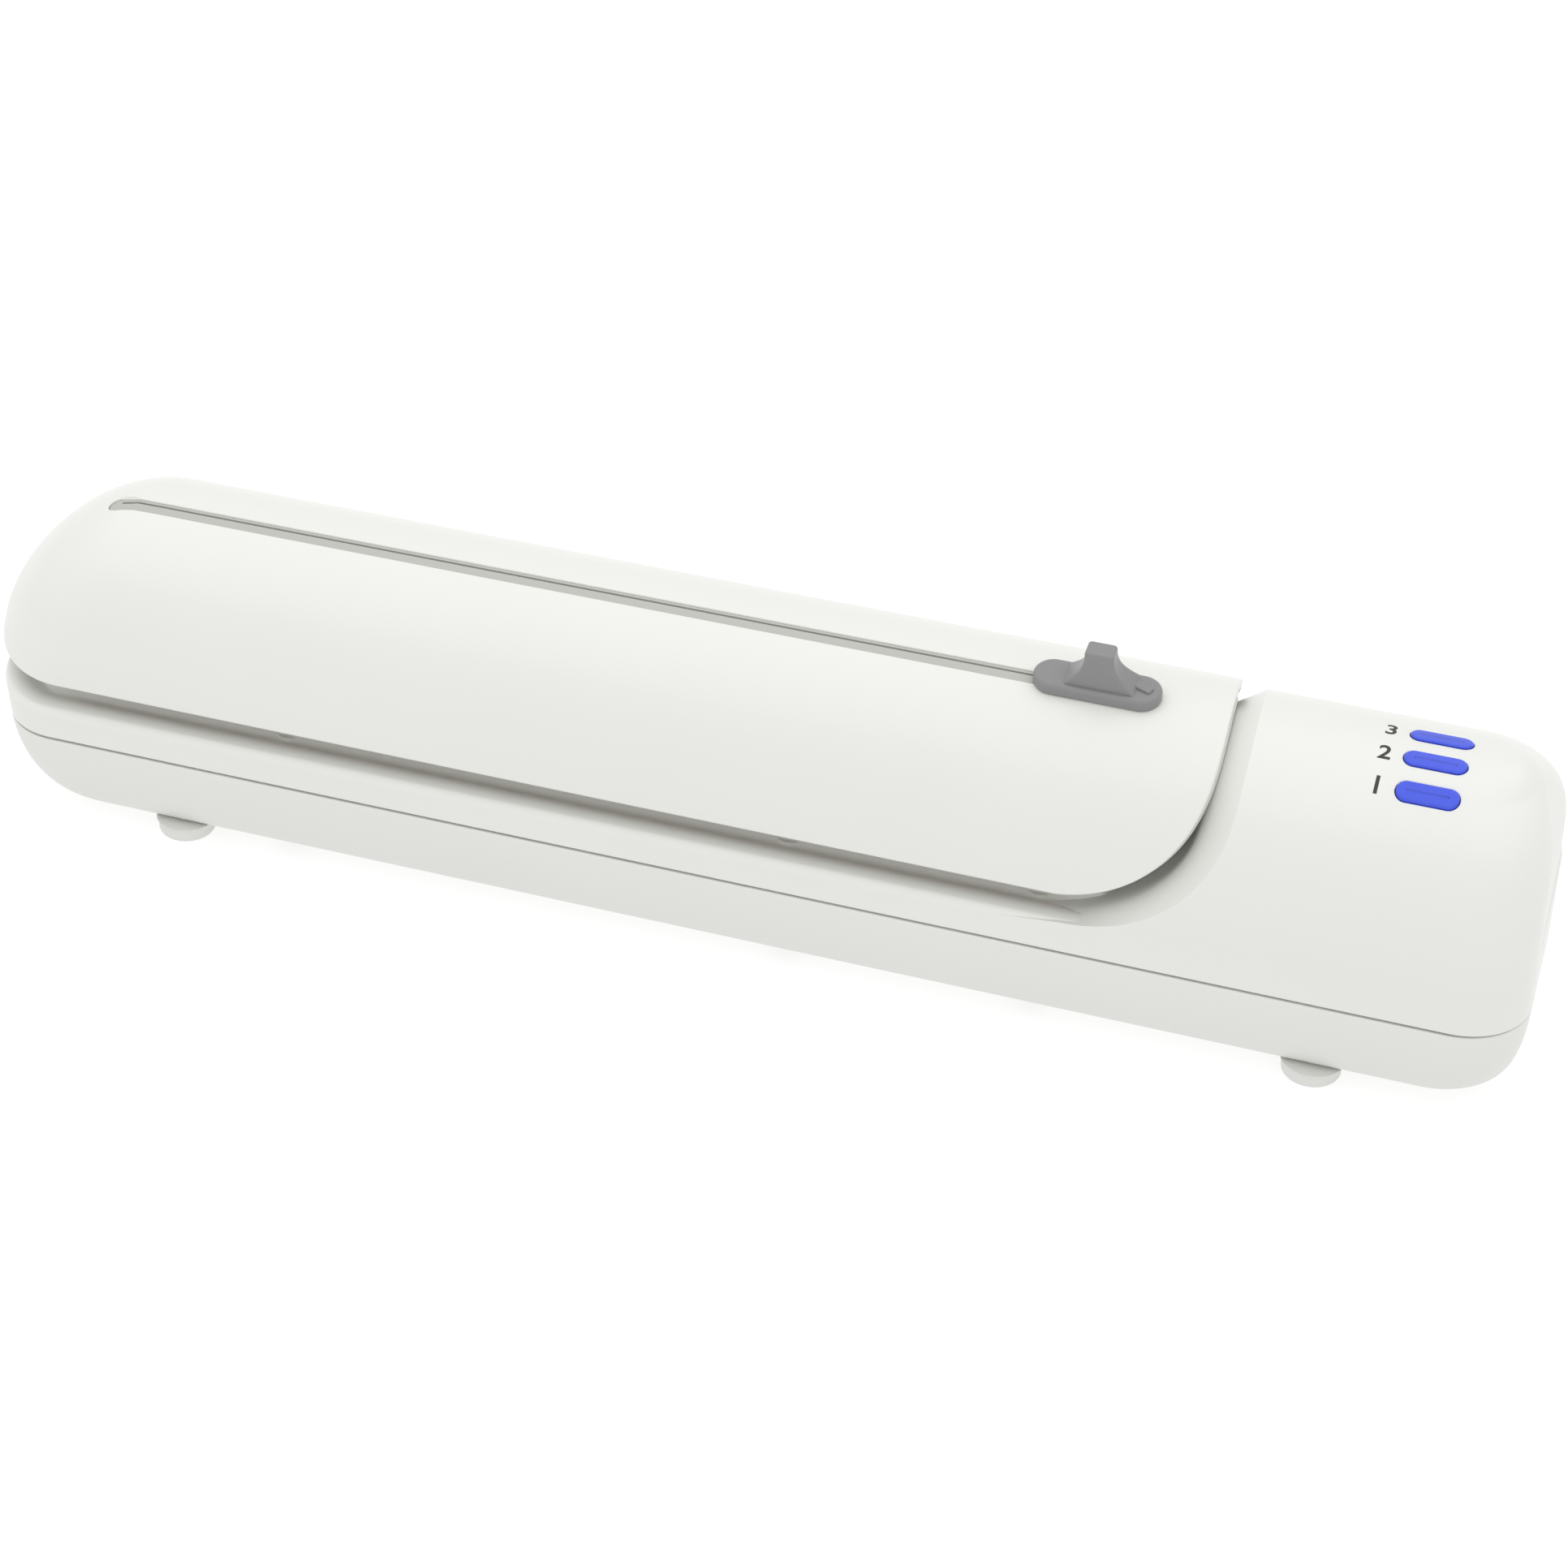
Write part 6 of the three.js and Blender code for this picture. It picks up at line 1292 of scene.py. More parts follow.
class SEALER_OT_base_tray(Operator):
    """Base tray with its tucked-in underside, posts and foot holes"""

    bl_idname = "sealer.base_tray"
    bl_label = "Base tray"

    def execute(self, context):
        edge = mouldings().edge
        top = TRAY_TOP - PARTING_GAP / 2
        outer = []
        for t in quarter(TRAY_STEPS):
            z = FOOT_HEIGHT + (top - edge - FOOT_HEIGHT) * (1 - math.cos(t))
            outer.append(tray_ring(0, z))
        for t in quarter()[1:]:
            outer.append(tray_ring(edge * (1 - math.cos(t)), top - edge + edge * math.sin(t)))
        tongue_top = TRAY_TOP + TONGUE_HEIGHT
        thick = TONGUE_INSET + TONGUE_THICKNESS
        floor = FOOT_HEIGHT + TRAY_FLOOR
        tongue = [tray_ring(TONGUE_INSET, z, COARSE_STEPS) for z in (top - TONGUE_ROOT, tongue_top)]
        levels = [
            (WALL + TRAY_FLOOR, floor), (WALL, floor + TRAY_FLOOR), (WALL, top - TONGUE_ROOT),
            (thick, top - TONGUE_ROOT / 2), (thick, tongue_top + OVERSHOOT),
        ]
        tray = skin("base_tray_moulding", outer)
        join(tray, skin("tongue", tongue))
        cut(tray, skin("hollow", [tray_ring(inset, z, COARSE_STEPS) for inset, z in levels]))
        low = FOOT_HEIGHT + TRAY_FLOOR / 2
        adds = [round_post(x, y, TRAY_POST_RADIUS, low, TRAY_POST_TOP) for x, y in screw_places()]
        supply = [centre(f"supply_board_screw_{i}")[:2] for i in range(1, 5)]
        adds += [round_post(x, y, SUPPLY_POST_RADIUS, low, SUPPLY_BOARD_LOW - GAP) for x, y in supply]
        motor_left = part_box("pump_motor")[0].x - MIDDLE_X
        for x in (motor_left + CRADLE_WIDTH, motor_left + MOTOR_LENGTH - CRADLE_WIDTH):
            outline = plain_box(PUMP_Y - CRADLE_HALF, PUMP_Y + CRADLE_HALF, low, PUMP_Z - CRADLE_DROP)
            block = bar("cradle", outline, x - CRADLE_WIDTH / 2, x + CRADLE_WIDTH / 2, across_x)
            bed = bar("bed", disc(PUMP_Y, PUMP_Z, MOTOR_RADIUS + GAP), -FAR, FAR, across_x)
            adds.append(cut(block, bed))
        join(tray, *adds)
        cuts = []
        for x, y in screw_places():
            cuts.append(round_post(x, y, COUNTERBORE_RADIUS, 0, SCREW_SEAT, ROUND_STEPS))
            cuts.append(round_post(x, y, SCREW_RADIUS + GAP, 0, TRAY_POST_TOP + OVERSHOOT))
        for name in FOOT_NAMES:
            x, y, _ = centre(name)
            high = FOOT_HEIGHT + FOOT_PLUG_RISE + OVERSHOOT
            cuts.append(round_post(x, y, FOOT_PLUG_RADIUS + GAP, 0, high))
        pilot = SMALL_SCREW_RADIUS + RUNNING_CLEARANCE
        for x, y in supply:
            cuts.append(round_post(x, y, pilot, SUPPLY_PILOT_LOW, SUPPLY_BOARD_LOW))
        cut(tray, *cuts)
        tray_abs = plastic("moulded gloss ABS base", finishes().tray, finishes().gloss * 1.2)
        dress(tray, tray_abs, "base", "white_gloss", "base_tray")
        return {"FINISHED"}


class SEALER_OT_feet(Operator):
    """Four turned feet with plugs pressed into the tray"""

    bl_idname = "sealer.feet"
    bl_label = "Feet"

    def execute(self, context):
        top = FOOT_HEIGHT - GAP
        # Moulded elastomer: matt, with a fine eroded grain that stops it shining beside the case
        rubber = plastic("moulded elastomer", finishes().foot, 0.62, 0.02, 0.5, 0.01, 1.0)
        low = arc(FOOT_RADIUS - FOOT_ROUND, FOOT_ROUND, FOOT_ROUND, -90, 0, 8)
        flare = [
            [FOOT_RADIUS + FOOT_FLARE * k * k, top - FOOT_ROUND * (1 - k)] for k in FOOT_FLARE_STEPS
        ]
        plug = FOOT_HEIGHT + FOOT_PLUG_RISE
        dish, ring = (FOOT_RADIUS * share_of for share_of in FOOT_DISH_SHARES)
        profile = [
            [dish, FOOT_DISH], [ring, 0], *low, *flare, [FOOT_PLUG_RADIUS, top],
            [FOOT_PLUG_RADIUS, plug - FOOT_PLUG_EDGE], [FOOT_PLUG_RADIUS - FOOT_PLUG_EDGE, plug],
        ]
        for name in FOOT_NAMES:
            x, y, _ = centre(name)
            rings = [placed(disc(x, y, radius), z, upright) for radius, z in profile]
            foot = skin(f"{name}_pad", rings)
            dress(foot, rubber, "base", "soft_white", name)
        return {"FINISHED"}


def button_steps(edge):
    """Steps from a button's side over its rounded edge to near its middle."""
    turned = [(-edge * (1 - math.sin(t)), -edge * (1 - math.cos(t))) for t in quarter(SOFT_EDGE_STEPS)]
    return [*turned, *((0, -edge - k) for k in BUTTON_TOP_RINGS)]


class SEALER_OT_buttons(Operator):
    """Three pill buttons with rounded tops that follow the crown"""

    bl_idname = "sealer.buttons"
    bl_label = "Buttons"

    def execute(self, context):
        # Moulded tinted polycarbonate: deep blue with a clear glossy skin that brightens the edges
        blue = plastic("moulded blue polycarbonate", finishes().button, 0.16, 0.03, 3, **{
            "Coat Weight": 0.1, "Coat Roughness": 0.08,
            "Subsurface Weight": 0.15, "Subsurface Scale": 1.5 * MM,
        })
        steps = button_steps(mouldings().button_round)
        for row, v in BUTTON_ROWS.items():
            outline = pill(BUTTON_LENGTH / 2, BUTTON_HEIGHT / 2, v)
            top = surface_rings(case_sizes, CASE_SECTION, outline, on_board, steps, 0, -BUTTON_PROUD)
            foot = placed(outline(0), -BUTTON_FLANGE_DEPTH - OVERSHOOT, on_board)
            key = solid(f"button_{row}_moulding", *pill_loft([foot, *top]))
            flange = outline(BUTTON_FLANGE_MARGIN)
            high = -BUTTON_FLANGE_DEPTH - GAP
            middle = high - BUTTON_FLANGE / 2
            join(
                key,
                bar("flange", flange, high - BUTTON_FLANGE, high, on_board),
                bar("stem", disc(0, v, STEM_RADIUS, SMALL_ROUND_STEPS), STEM_LOW, middle, on_board),
            )
            dress(key, blue, f"button_{row}_key", "blue_button", f"button_{row}")
        return {"FINISHED"}


class SEALER_OT_numerals(Operator):
    """Plain numerals 1, 2 and 3 printed beside the buttons"""

    bl_idname = "sealer.numerals"
    bl_label = "Numerals"

    def execute(self, context):
        # Pad-printed ink: a thin matt film with soft speckle from the pad
        ink = plastic("pad-printed ink", finishes().ink, 0.55, 0.08, 0.3, 0.002, 1.0)
        height = mouldings().numeral
        for number, (row, v) in enumerate(reversed(BUTTON_ROWS.items()), 1):
            curve = bpy.data.curves.new("numeral", "FONT")
            curve.body = str(number)
            curve.size = height / NUMERAL_CAP_SHARE
            curve.extrude = NUMERAL_BODY
            curve.offset = NUMERAL_WEIGHT
            curve.resolution_u = 6
            curve.align_x = "CENTER"
            curve.align_y = "CENTER"
            text = bpy.data.objects.new("numeral", curve)
            bpy.context.scene.collection.objects.link(text)
            graph = bpy.context.evaluated_depsgraph_get()
            mesh = bpy.data.meshes.new_from_object(text.evaluated_get(graph))
            bpy.data.objects.remove(text)
            work = bmesh.new()
            work.from_mesh(mesh)
            bmesh.ops.remove_doubles(work, verts=work.verts, dist=MM / 1000)
            for k in range(-NUMERAL_BANDS, NUMERAL_BANDS + 1):
                parts = [*work.verts, *work.edges, *work.faces]
                level = k * height / (2 * NUMERAL_BANDS)
                bmesh.ops.bisect_plane(work, geom=parts, plane_co=(0, level, 0), plane_no=(0, 1, 0))
            flat = np.array([vert.co for vert in work.verts])
            base = placed(flat[:, :2] + [-BUTTON_LENGTH / 2 - height, v], 0, on_board)
            direction = np.subtract(on_board(0, 0, 1), on_board(0, 0, 0))
            lift = lifts(case_sizes, CASE_SECTION, base, direction)
            lift += np.where(flat[:, 2] > 0, INK_THICKNESS, -INK_SINK)
            points = base + lift[:, None] * direction + [MIDDLE_X, 0, 0]
            for vert, point in zip(work.verts, points):
                vert.co = point
            bmesh.ops.recalc_face_normals(work, faces=work.faces)
            work.to_mesh(mesh)
            work.free()
            piece = bpy.data.objects.new(f"numeral_{row}", mesh)
            bpy.context.scene.collection.objects.link(piece)
            mesh.materials.clear()
            mesh.materials.append(ink)
            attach(piece, "base")
        return {"FINISHED"}


class SEALER_OT_cutter_rail(Operator):
    """Rail under the groove, with its raised floor and the blade's slit"""

    bl_idname = "sealer.cutter_rail"
    bl_label = "Cutter rail"

    def execute(self, context):
        under, below = LID_WALL + GAP, LID_WALL + GAP + RAIL_THICKNESS
        middle = (SLOT_FRONT_Y + SLOT_BACK_Y) / 2
        left, right = SLOT_LEFT - RAIL_MARGIN / 2, SLOT_RIGHT + RAIL_MARGIN
        half = RAIL_WIDTH / 2
        footprint = rounded_box(left, right, middle - half, middle + half, RAIL_MARGIN)
        rail = bar("cutter_rail_moulding", footprint, LID_APEX - CROWN_RADIUS, LID_APEX, upright)
        trim(rail, lid_form("under", LID_LOW, under))
        steps = [
            (-RAIL_FLOOR_DROP, -RUNNING_CLEARANCE), (-RAIL_FLOOR_EDGE, -RUNNING_CLEARANCE),
            (0, -2 * RUNNING_CLEARANCE),
        ]
        join(rail, solid("floor", *pill_loft(surface_rings(
            lid_sizes, LID_SECTION, slot_outline, upright, steps, SLOT_LEVEL, RAIL_RECESS,
        ))))
        slit = rounded_box(
            SLOT_LEFT + SLIT_END_MARGIN, SLOT_RIGHT - SLIT_END_MARGIN,
            SLIT_Y - SLIT_WIDTH / 2, SLIT_Y + SLIT_WIDTH / 2, SLIT_WIDTH * 0.45,
        )
        cut(
            rail,
            lid_form("below", LID_LOW, below),
            bar("slit", slit, 0, FAR, upright),
        )
        # Moulded satin ABS: pale grey, dull enough to read as a line between the lid's bright lips
        grey = plastic("moulded satin ABS light grey", finishes().rail, 0.38, 0.02, 1.2, 0.003, 0.4)
        dress(rail, grey, "lid", "light_grey_plastic", "cutter_rail")
        return {"FINISHED"}


def fin_ring(risen, inset, level):
    """The finger grip flares towards its foot at both ends and at the back, and leans a little."""
    flare = (1 - math.sin(math.pi / 2 * risen)) ** FIN_FLARE_POWER
    middle = FIN_X + FIN_LEAN_X * risen
    half = FIN_TOP / 2 + (FIN_BASE - FIN_TOP) / 2 * flare - inset
    front = -FIN_FRONT + FIN_LEAN_V * risen + inset
    back = FIN_BACK + FIN_BACK_FLARE * flare - inset
    return placed(rounded_box(middle - half, middle + half, front, back, FIN_ROUND, 6), level, on_plate)


class SEALER_OT_cutter_knob(Operator):
    """Slider: a pill-shaped plate with a flared finger grip and a small raised tab"""

    bl_idname = "sealer.cutter_knob"
    bl_label = "Slider"

    def execute(self, context):
        edge = mouldings().plate_round
        outline = pill(PLATE_LENGTH / 2, PLATE_WIDTH / 2)
        steps = [(-OVERSHOOT, 0)]
        for t in quarter(SOFT_EDGE_STEPS):
            steps.append((PLATE_THICKNESS - edge * (1 - math.sin(t)), -edge * (1 - math.cos(t))))
        knob = solid("cutter_knob_moulding", *pill_loft([
            placed(outline(grow), level, on_plate) for level, grow in steps
        ]))
        rings = [fin_ring(0, 0, PLATE_THICKNESS / 2)]
        for k in range(FIN_STEPS + 1):
            risen = k / FIN_STEPS
            rings.append(fin_ring(risen, 0, PLATE_THICKNESS + (FIN_HEIGHT - FIN_ROUND) * risen))
        top = PLATE_THICKNESS + FIN_HEIGHT - FIN_ROUND
        for t in quarter()[1:]:
            inset = FIN_ROUND * FIN_TOP_SHARE * (1 - math.cos(t))
            rings.append(fin_ring(1, inset, top + FIN_ROUND * math.sin(t)))
        cos, sin = math.cos(TAB_TURN), math.sin(TAB_TURN)
        high = PLATE_THICKNESS + TAB_HEIGHT
        tab = []
        for level, inset in ((PLATE_THICKNESS / 2, 0), (high - TAB_EDGE, 0), (high, TAB_EDGE)):
            x, y = TAB_LENGTH / 2 - inset, TAB_WIDTH / 2 - inset
            flat = rounded_box(-x, x, -y, y, TAB_ROUND, 4) @ np.array([[cos, sin], [-sin, cos]])
            tab.append(placed(flat + [TAB_X, 0], level, on_plate))
        join(knob, skin("fin", rings), skin("tab", tab))
        neck = plain_box(
            SLIDER_X - NECK_LENGTH / 2 - GAP, SLIDER_X + NECK_LENGTH / 2 + GAP,
            SLIT_Y - NECK_THICKNESS / 2 - GAP, SLIT_Y + NECK_THICKNESS / 2 + GAP,
        )
        cut(
            knob,
            lid_form("seat", LID_LOW, -PLATE_FLOAT),
            bar("neck", neck, HINGE_Z, LID_SECTION.crown_at(PLATE_Y) + NECK_RISE + GAP, upright),
        )
        # Moulded satin ABS: mid grey with a fine eroded grain and a broad dull highlight
        grip = plastic("moulded satin ABS grey", finishes().grip, 0.36, 0.02, 0.7, 0.004, 0.6)
        dress(knob, grip, "cutter", "grey_plastic", "cutter_knob")
        return {"FINISHED"}


class SEALER_OT_seals(Operator):
    """Foam seals round the vacuum chamber"""

    bl_idname = "sealer.seals"
    bl_label = "Seals"

    def execute(self, context):
        # Closed-cell foam: a dull skin broken by cut cells, drawn a little coarser than real to show
        material, tree, shader, place = finish(
            "closed-cell foam", {"Roughness": 0.85, "Specular IOR Level": 0.3}
        )
        cells = node(
            tree, "ShaderNodeTexVoronoi", {"Scale": 1 / (0.9 * MM)}, {"Vector": place}
        ).outputs["Distance"]
        low, high = shades(finishes().foam, 0.35)
        colour = node(tree, "ShaderNodeMix", {"data_type": "RGBA", 6: low, 7: high}, {0: cells}).outputs[2]
        tree.links.new(colour, shader.inputs["Base Color"])
        bump = node(tree, "ShaderNodeBump", {"Distance": 0.12 * MM}, {"Height": cells}).outputs["Normal"]
        tree.links.new(bump, shader.inputs["Normal"])
        lower = rounded_box(-SEAL_WIDTH, 0, GAP - SEAL_SEAT, SEAL_HEIGHT, SEAL_ROUND, 5)
        upper_top = LID_LIFT + SEAL_SEAT - GAP
        upper = rounded_box(-SEAL_WIDTH, 0, SEAL_HEIGHT + GAP, upper_top, SEAL_ROUND, 5)
        for name, body, profile in (("lower_seal", "base", lower), ("upper_seal", "lid", upper)):
            dress(ring_body(f"{name}_foam", profile), material, body, "foam_seal", name)
        return {"FINISHED"}


class SEALER_OT_heater(Operator):
    """Coated glass tape over the heater bar, and the silicone strip that presses on it"""

    bl_idname = "sealer.heater"
    bl_label = "Heater tape and press strip"

    def execute(self, context):
        # PTFE-coated glass cloth: brown with a plain weave, drawn at twice its thread spacing to show
        material, tree, shader, place = finish(
            "PTFE-coated glass cloth", {"Roughness": 0.4, "IOR": 1.38}
        )
        weave = [
            node(tree, "ShaderNodeTexWave", {
                "wave_type": "BANDS", "bands_direction": axis, "Scale": 1 / (0.8 * MM) / 6.28,
            }, {"Vector": place}).outputs["Fac"]
            for axis in ("X", "Y")
        ]
        cloth = node(tree, "ShaderNodeMath", {"operation": "MULTIPLY"}, {0: weave[0], 1: weave[1]}).outputs[0]
        low, high = shades(finishes().tape, 0.25)
        colour = node(tree, "ShaderNodeMix", {"data_type": "RGBA", 6: low, 7: high}, {0: cloth}).outputs[2]
        tree.links.new(colour, shader.inputs["Base Color"])
        bump = node(tree, "ShaderNodeBump", {"Distance": 0.05 * MM}, {"Height": cloth}).outputs["Normal"]
        tree.links.new(bump, shader.inputs["Normal"])
        half = TAPE_WIDTH / 2 + GAP
        top = HEATER_HEIGHT + GAP + TAPE_THICKNESS
        section = np.concatenate([
            [[HEATER_V - half, TAPE_SKIRT / 2], [HEATER_V + half, TAPE_SKIRT / 2]],
            arc(HEATER_V + half - TAPE_ROUND, top - TAPE_ROUND, TAPE_ROUND, 0, 90, 6),
            arc(HEATER_V - half + TAPE_ROUND, top - TAPE_ROUND, TAPE_ROUND, 90, 180, 6),
        ])
        tape = bar("heater_tape_cloth", section, HEATER_LEFT - GAP, HEATER_RIGHT + GAP, along_deck)
        cut(tape, strip_box(HEATER_WIDTH, -FAR, HEATER_HEIGHT + GAP, GAP, OVERSHOOT))
        dress(tape, material, "base", "tape", "heater_tape")
        low = HEATER_HEIGHT + 2 * GAP + TAPE_THICKNESS
        half = PRESS_WIDTH / 2
        pad = rounded_box(HEATER_V - half, HEATER_V + half, low, LID_LIFT, PRESS_ROUND, 5)
        strip = bar("press_strip_moulding", pad, HEATER_LEFT, HEATER_RIGHT, along_deck)
        high = LID_LIFT + GAP + PRESS_KEY_DEPTH
        join(strip, strip_box(PRESS_KEY_WIDTH, LID_LIFT - OVERSHOOT, high, -PRESS_KEY_DEPTH))
        # Moulded silicone: translucent grey with a dull, slightly sticky sheen
        soft = plastic("moulded silicone", finishes().silicone, 0.5, 0.03, 0.6, 0.004, 0.6, **{
            "Subsurface Weight": 0.2, "Subsurface Scale": 1.2 * MM,
        })
        dress(strip, soft, "lid", "silicone", "press_strip")
        return {"FINISHED"}


def dark_nylon():
    """Moulded nylon: near black, dull and a little uneven."""
    return plastic("moulded nylon dark", linear("#26282B"), 0.45, 0.08, 0.5, 0.006, 0.8)


class SEALER_OT_inlet(Operator):
    """Mains inlet in the back of the housing"""

    bl_idname = "sealer.inlet"
    bl_label = "Mains inlet"

    def execute(self, context):
        back = HALF_DEPTH - GAP
        rings = [placed(inlet_outline(0), HALF_DEPTH - INLET_DEPTH, along_y)]
        for t in quarter():
            level = back - INLET_EDGE + INLET_EDGE * math.sin(t)
            rings.append(placed(inlet_outline(-INLET_EDGE * (1 - math.cos(t))), level, along_y))
        inlet = skin("mains_inlet_moulding", rings)
        high = HALF_DEPTH - WALL - GAP
        flange = inlet_outline(INLET_FLANGE_MARGIN)
        join(inlet, bar("flange", flange, high - INLET_FLANGE, high, along_y))
        x, z, _, _ = inlet_box()
        half_width, half_height = INLET_SOCKET_WIDTH / 2, INLET_SOCKET_HEIGHT / 2
        mouth = rounded_box(
            x - half_width, x + half_width, z - half_height, z + half_height, half_height, PILL_STEPS
        )
        cuts = [bar("socket", mouth, HALF_DEPTH - INLET_SOCKET_DEPTH, HALF_DEPTH + OVERSHOOT, along_y)]
        for side in ("left", "right"):
            pin_x, _, pin_z = centre(f"inlet_pin_{side}")
            outline = disc(pin_x, pin_z, INLET_PIN_RADIUS + RUNNING_CLEARANCE)
            cuts.append(bar("bore", outline, 0, HALF_DEPTH - INLET_PIN_COVER, along_y))
        cut(inlet, *cuts)
        dress(inlet, dark_nylon(), "base", "dark_plastic", "mains_inlet")
        return {"FINISHED"}


def metal(name, code, roughness, direction):
    """Drawn or rolled metal: mirror sheen broken by fine lines along one direction."""
    material, tree, shader, place = finish(name, {"Metallic": 1.0})
    scale = tuple(40 if i == direction else 2500 for i in range(3))
    stretched = node(
        tree, "ShaderNodeMapping", {"Scale": scale}, {"Vector": place}
    ).outputs["Vector"]
    lines = node(tree, "ShaderNodeTexNoise", {"Scale": 1, "Detail": 3}, {"Vector": stretched}).outputs["Fac"]
    low, high = shades(linear(code), 0.12)
    colour = node(tree, "ShaderNodeMix", {"data_type": "RGBA", 6: low, 7: high}, {0: lines}).outputs[2]
    tree.links.new(colour, shader.inputs["Base Color"])
    rough = node(tree, "ShaderNodeMapRange", {
        "To Min": roughness * 0.7, "To Max": roughness * 1.4,
    }, {"Value": lines}).outputs["Result"]
    tree.links.new(rough, shader.inputs["Roughness"])
    return material


def circuit_board():
    """Glass-epoxy board: green solder mask over faint copper tracks a millimetre apart."""
    material, tree, shader, place = finish("solder-masked glass epoxy", {"Roughness": 0.35, "IOR": 1.5})
    tracks = node(tree, "ShaderNodeTexBrick", {
        "Scale": 1 / (8 * MM), "Mortar Size": 0.06, "Brick Width": 0.6, "Row Height": 0.14,
    }, {"Vector": place}).outputs["Fac"]
    mask, copper = (*linear("#1E6B3C"), 1), (*linear("#2F8450"), 1)
    colour = node(tree, "ShaderNodeMix", {"data_type": "RGBA", 6: mask, 7: copper}, {0: tracks}).outputs[2]
    tree.links.new(colour, shader.inputs["Base Color"])
    return material


class SEALER_OT_working_parts(Operator):
    """Finishes of the frame's own pieces: motor, pump, boards, screws and pins"""

    bl_idname = "sealer.working_parts"
    bl_label = "Working parts"

    def execute(self, context):
        # Zinc-plated steel: cool grey with drawn lines. Aluminium: pale, rolled. Brass: warm, bright
        steel = metal("zinc-plated steel", "#B9BCC1", 0.32, 2)
        rolled = metal("rolled aluminium", "#C4C7CA", 0.3, 0)
        brass = metal("turned brass", "#C9A861", 0.28, 1)
        dark = dark_nylon()
        board = circuit_board()
        # Moulded nylon: ivory, slightly waxy
        ivory = plastic("moulded nylon natural", linear("#DAD9D2"), 0.4, 0.03, 0.8, 0.005, 0.5)
        # Varnished laminated steel: brown with the edges of its stacked sheets
        laminated = metal("varnished laminated steel", "#5C5046", 0.5, 0)
        # Extruded PVC: clear, with a wet-looking skin
        tube = plastic("extruded clear PVC", linear("#DDE2E3"), 0.12, 0.01, 2, 0.002, **{
            "Transmission Weight": 0.7, "IOR": 1.53,
        })
        # Cast epoxy: the lamps' warm white lens
        lens = plastic("cast epoxy", linear("#F4F0D8"), 0.2, 0.02, 1, 0.002)
        finish_of = {
            "pump_motor": steel, "heater_bar": rolled, "pump_head": dark, "transformer": laminated,
            "supply_board": board, "control_board": board, "capacitor": dark, "air_tube": tube,
            "suction_nipple": ivory, "cutter_carriage": dark, "cutter_blade": steel,
            "tact_switch": dark, "button_lamp": lens, "inlet_pin": brass,
        }
        for name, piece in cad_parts.items():
            screw = "screw" in name or "hinge_pin" in name
            key = next((k for k in finish_of if name.startswith(k)), None)
            if screw or key:
                piece.data.materials.clear()
                piece.data.materials.append(steel if screw else finish_of[key])
        return {"FINISHED"}


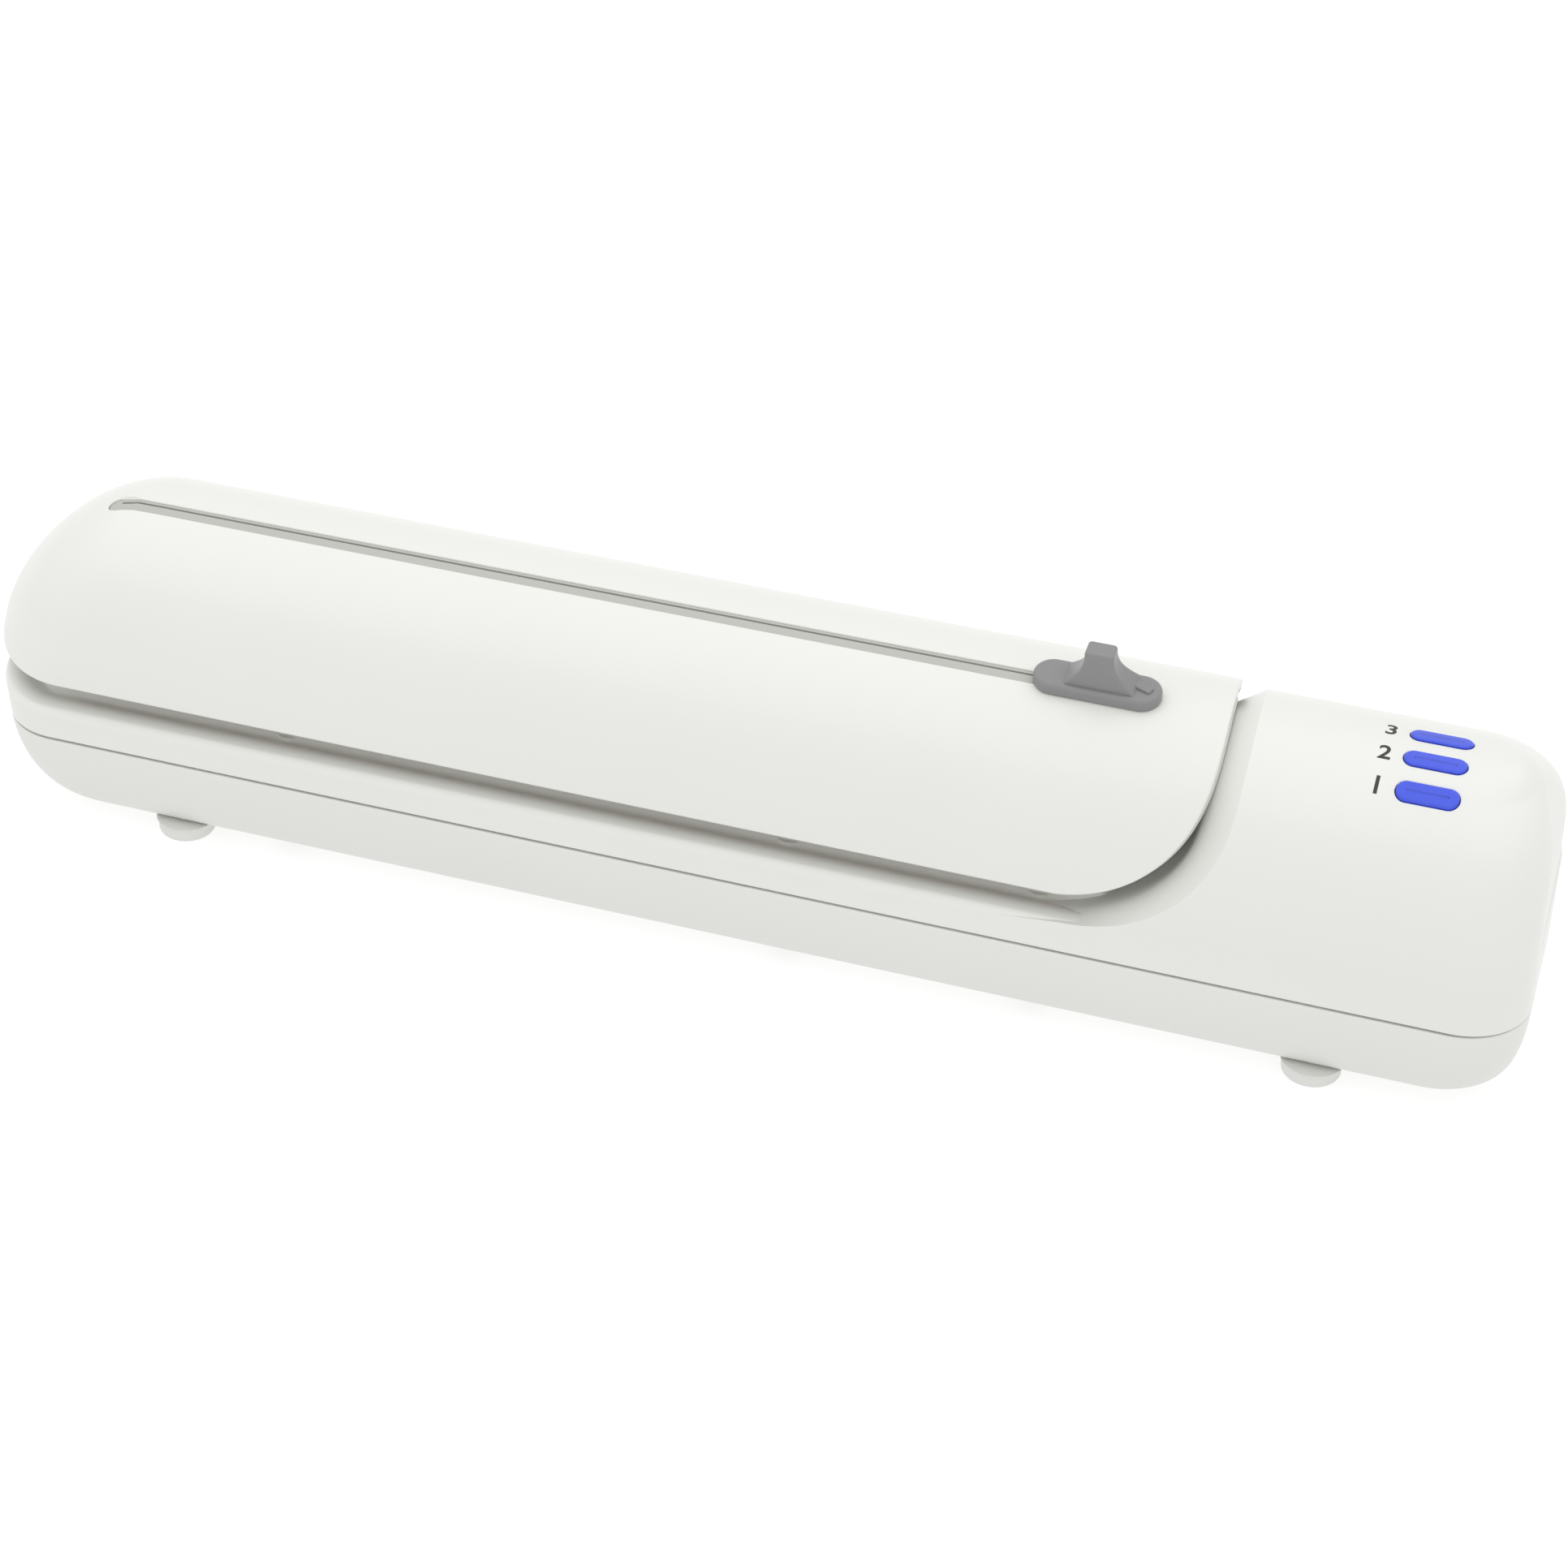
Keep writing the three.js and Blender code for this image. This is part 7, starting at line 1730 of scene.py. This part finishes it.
class SEALER_OT_studio(Operator):
    """Pale floor, soft lights and the camera"""

    bl_idname = "sealer.studio"
    bl_label = "Studio"

    def execute(self, context):
        scene = context.scene
        studio = scene.sealer_studio
        scene.view_settings.view_transform = "Standard"
        world = bpy.data.worlds.new("studio")
        scene.world = world
        world.use_nodes = True
        background = world.node_tree.nodes["Background"]
        background.inputs["Color"].default_value = (1, 1, 1, 1)
        background.inputs["Strength"].default_value = studio.sky
        # Cast opal acrylic: a pale table lit from below, which leaves only a thin shadow
        paint = plastic("cast opal acrylic", finishes().floor, 0.8, 0.004, 3, 0.01, 0.6, **{
            "Emission Color": (1, 1, 1, 1), "Emission Strength": studio.glow,
        })
        reach = FLOOR_REACH
        corners = [(-reach, -reach, 0), (reach, -reach, 0), (reach, reach, 0), (-reach, reach, 0)]
        mesh = bpy.data.meshes.new("floor")
        mesh.from_pydata(corners, [], [(0, 1, 2, 3)])
        floor = bpy.data.objects.new("floor", mesh)
        mesh.materials.append(paint)
        scene.collection.objects.link(floor)
        floor.visible_diffuse = False
        self.panel("overhead", (0.05, -0.1, 1.2), (0, 0, 0.04), 2.8, 2.6, studio.key)
        self.panel("left", (-1.1, -0.3, 0.7), (-0.05, 0, 0.04), 0.8, 0.8, studio.side)
        self.panel("front", (0.3, -1.3, 0.5), (0, 0, 0.04), 1.2, 0.5, studio.front)
        self.camera(scene, studio)
        return {"FINISHED"}

    def panel(self, name, place, target, width, depth, power):
        light = bpy.data.lights.new(name, "AREA")
        light.shape = "RECTANGLE"
        light.size, light.size_y = width, depth
        light.energy = power
        piece = bpy.data.objects.new(name, light)
        piece.location = place
        piece.rotation_euler = (Vector(target) - Vector(place)).to_track_quat("-Z", "Y").to_euler()
        bpy.context.scene.collection.objects.link(piece)

    def camera(self, scene, studio):
        a, e, r = studio.azimuth, studio.elevation, studio.roll
        back = Vector((math.sin(a) * math.cos(e), -math.cos(a) * math.cos(e), math.sin(e)))
        right = Vector((math.cos(a), math.sin(a), 0))
        up = back.cross(right)
        rolled_right = right * math.cos(r) + up * math.sin(r)
        rolled_up = up * math.cos(r) - right * math.sin(r)
        target = Vector((MIDDLE_X, 0, studio.target_height))
        shift = rolled_right * studio.shift_right + rolled_up * studio.shift_up
        place = target - shift + back * studio.distance
        lens = bpy.data.cameras.new("camera")
        lens.lens = studio.lens
        lens.sensor_width = SENSOR_WIDTH
        lens.sensor_fit = "HORIZONTAL"
        lens.clip_start, lens.clip_end = CLIP_START, CLIP_END
        eye = bpy.data.objects.new("camera", lens)
        facing = Matrix((rolled_right, rolled_up, back)).transposed().to_4x4()
        eye.matrix_world = Matrix.Translation(place) @ facing
        scene.collection.objects.link(eye)
        scene.camera = eye


class SEALER_PT_sidebar(Panel):
    """Sidebar list of the sealer's pieces and sizes"""

    bl_idname = "SEALER_PT_sidebar"
    bl_label = "Vacuum sealer"
    bl_space_type = "VIEW_3D"
    bl_region_type = "UI"
    bl_category = "Sealer"

    def draw(self, context):
        layout = self.layout
        for kind in OPERATORS:
            layout.operator(kind.bl_idname)
        for name in SETTINGS:
            group = getattr(context.scene, name)
            box = layout.box()
            for key in group.bl_rna.properties.keys():
                if key not in ("rna_type", "name"):
                    box.prop(group, key)


OPERATORS = (
    SEALER_OT_lid_shell,
    SEALER_OT_lid_liner,
    SEALER_OT_upper_case,
    SEALER_OT_base_tray,
    SEALER_OT_feet,
    SEALER_OT_buttons,
    SEALER_OT_numerals,
    SEALER_OT_cutter_rail,
    SEALER_OT_cutter_knob,
    SEALER_OT_seals,
    SEALER_OT_heater,
    SEALER_OT_inlet,
    SEALER_OT_working_parts,
    SEALER_OT_studio,
)
SETTINGS = {
    "sealer_mouldings": SealerMouldings,
    "sealer_finishes": SealerFinishes,
    "sealer_studio": SealerStudio,
}


def register():
    for kind in (*SETTINGS.values(), *OPERATORS, SEALER_PT_sidebar):
        bpy.utils.register_class(kind)
    for name, kind in SETTINGS.items():
        setattr(bpy.types.Scene, name, PointerProperty(type=kind))


def unregister():
    for name in SETTINGS:
        delattr(bpy.types.Scene, name)
    for kind in (SEALER_PT_sidebar, *reversed(OPERATORS), *SETTINGS.values()):
        bpy.utils.unregister_class(kind)


def main():
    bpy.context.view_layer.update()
    register()
    for kind in OPERATORS:
        family, call = kind.bl_idname.split(".")
        getattr(getattr(bpy.ops, family), call)()


if __name__ == "__main__":
    main()
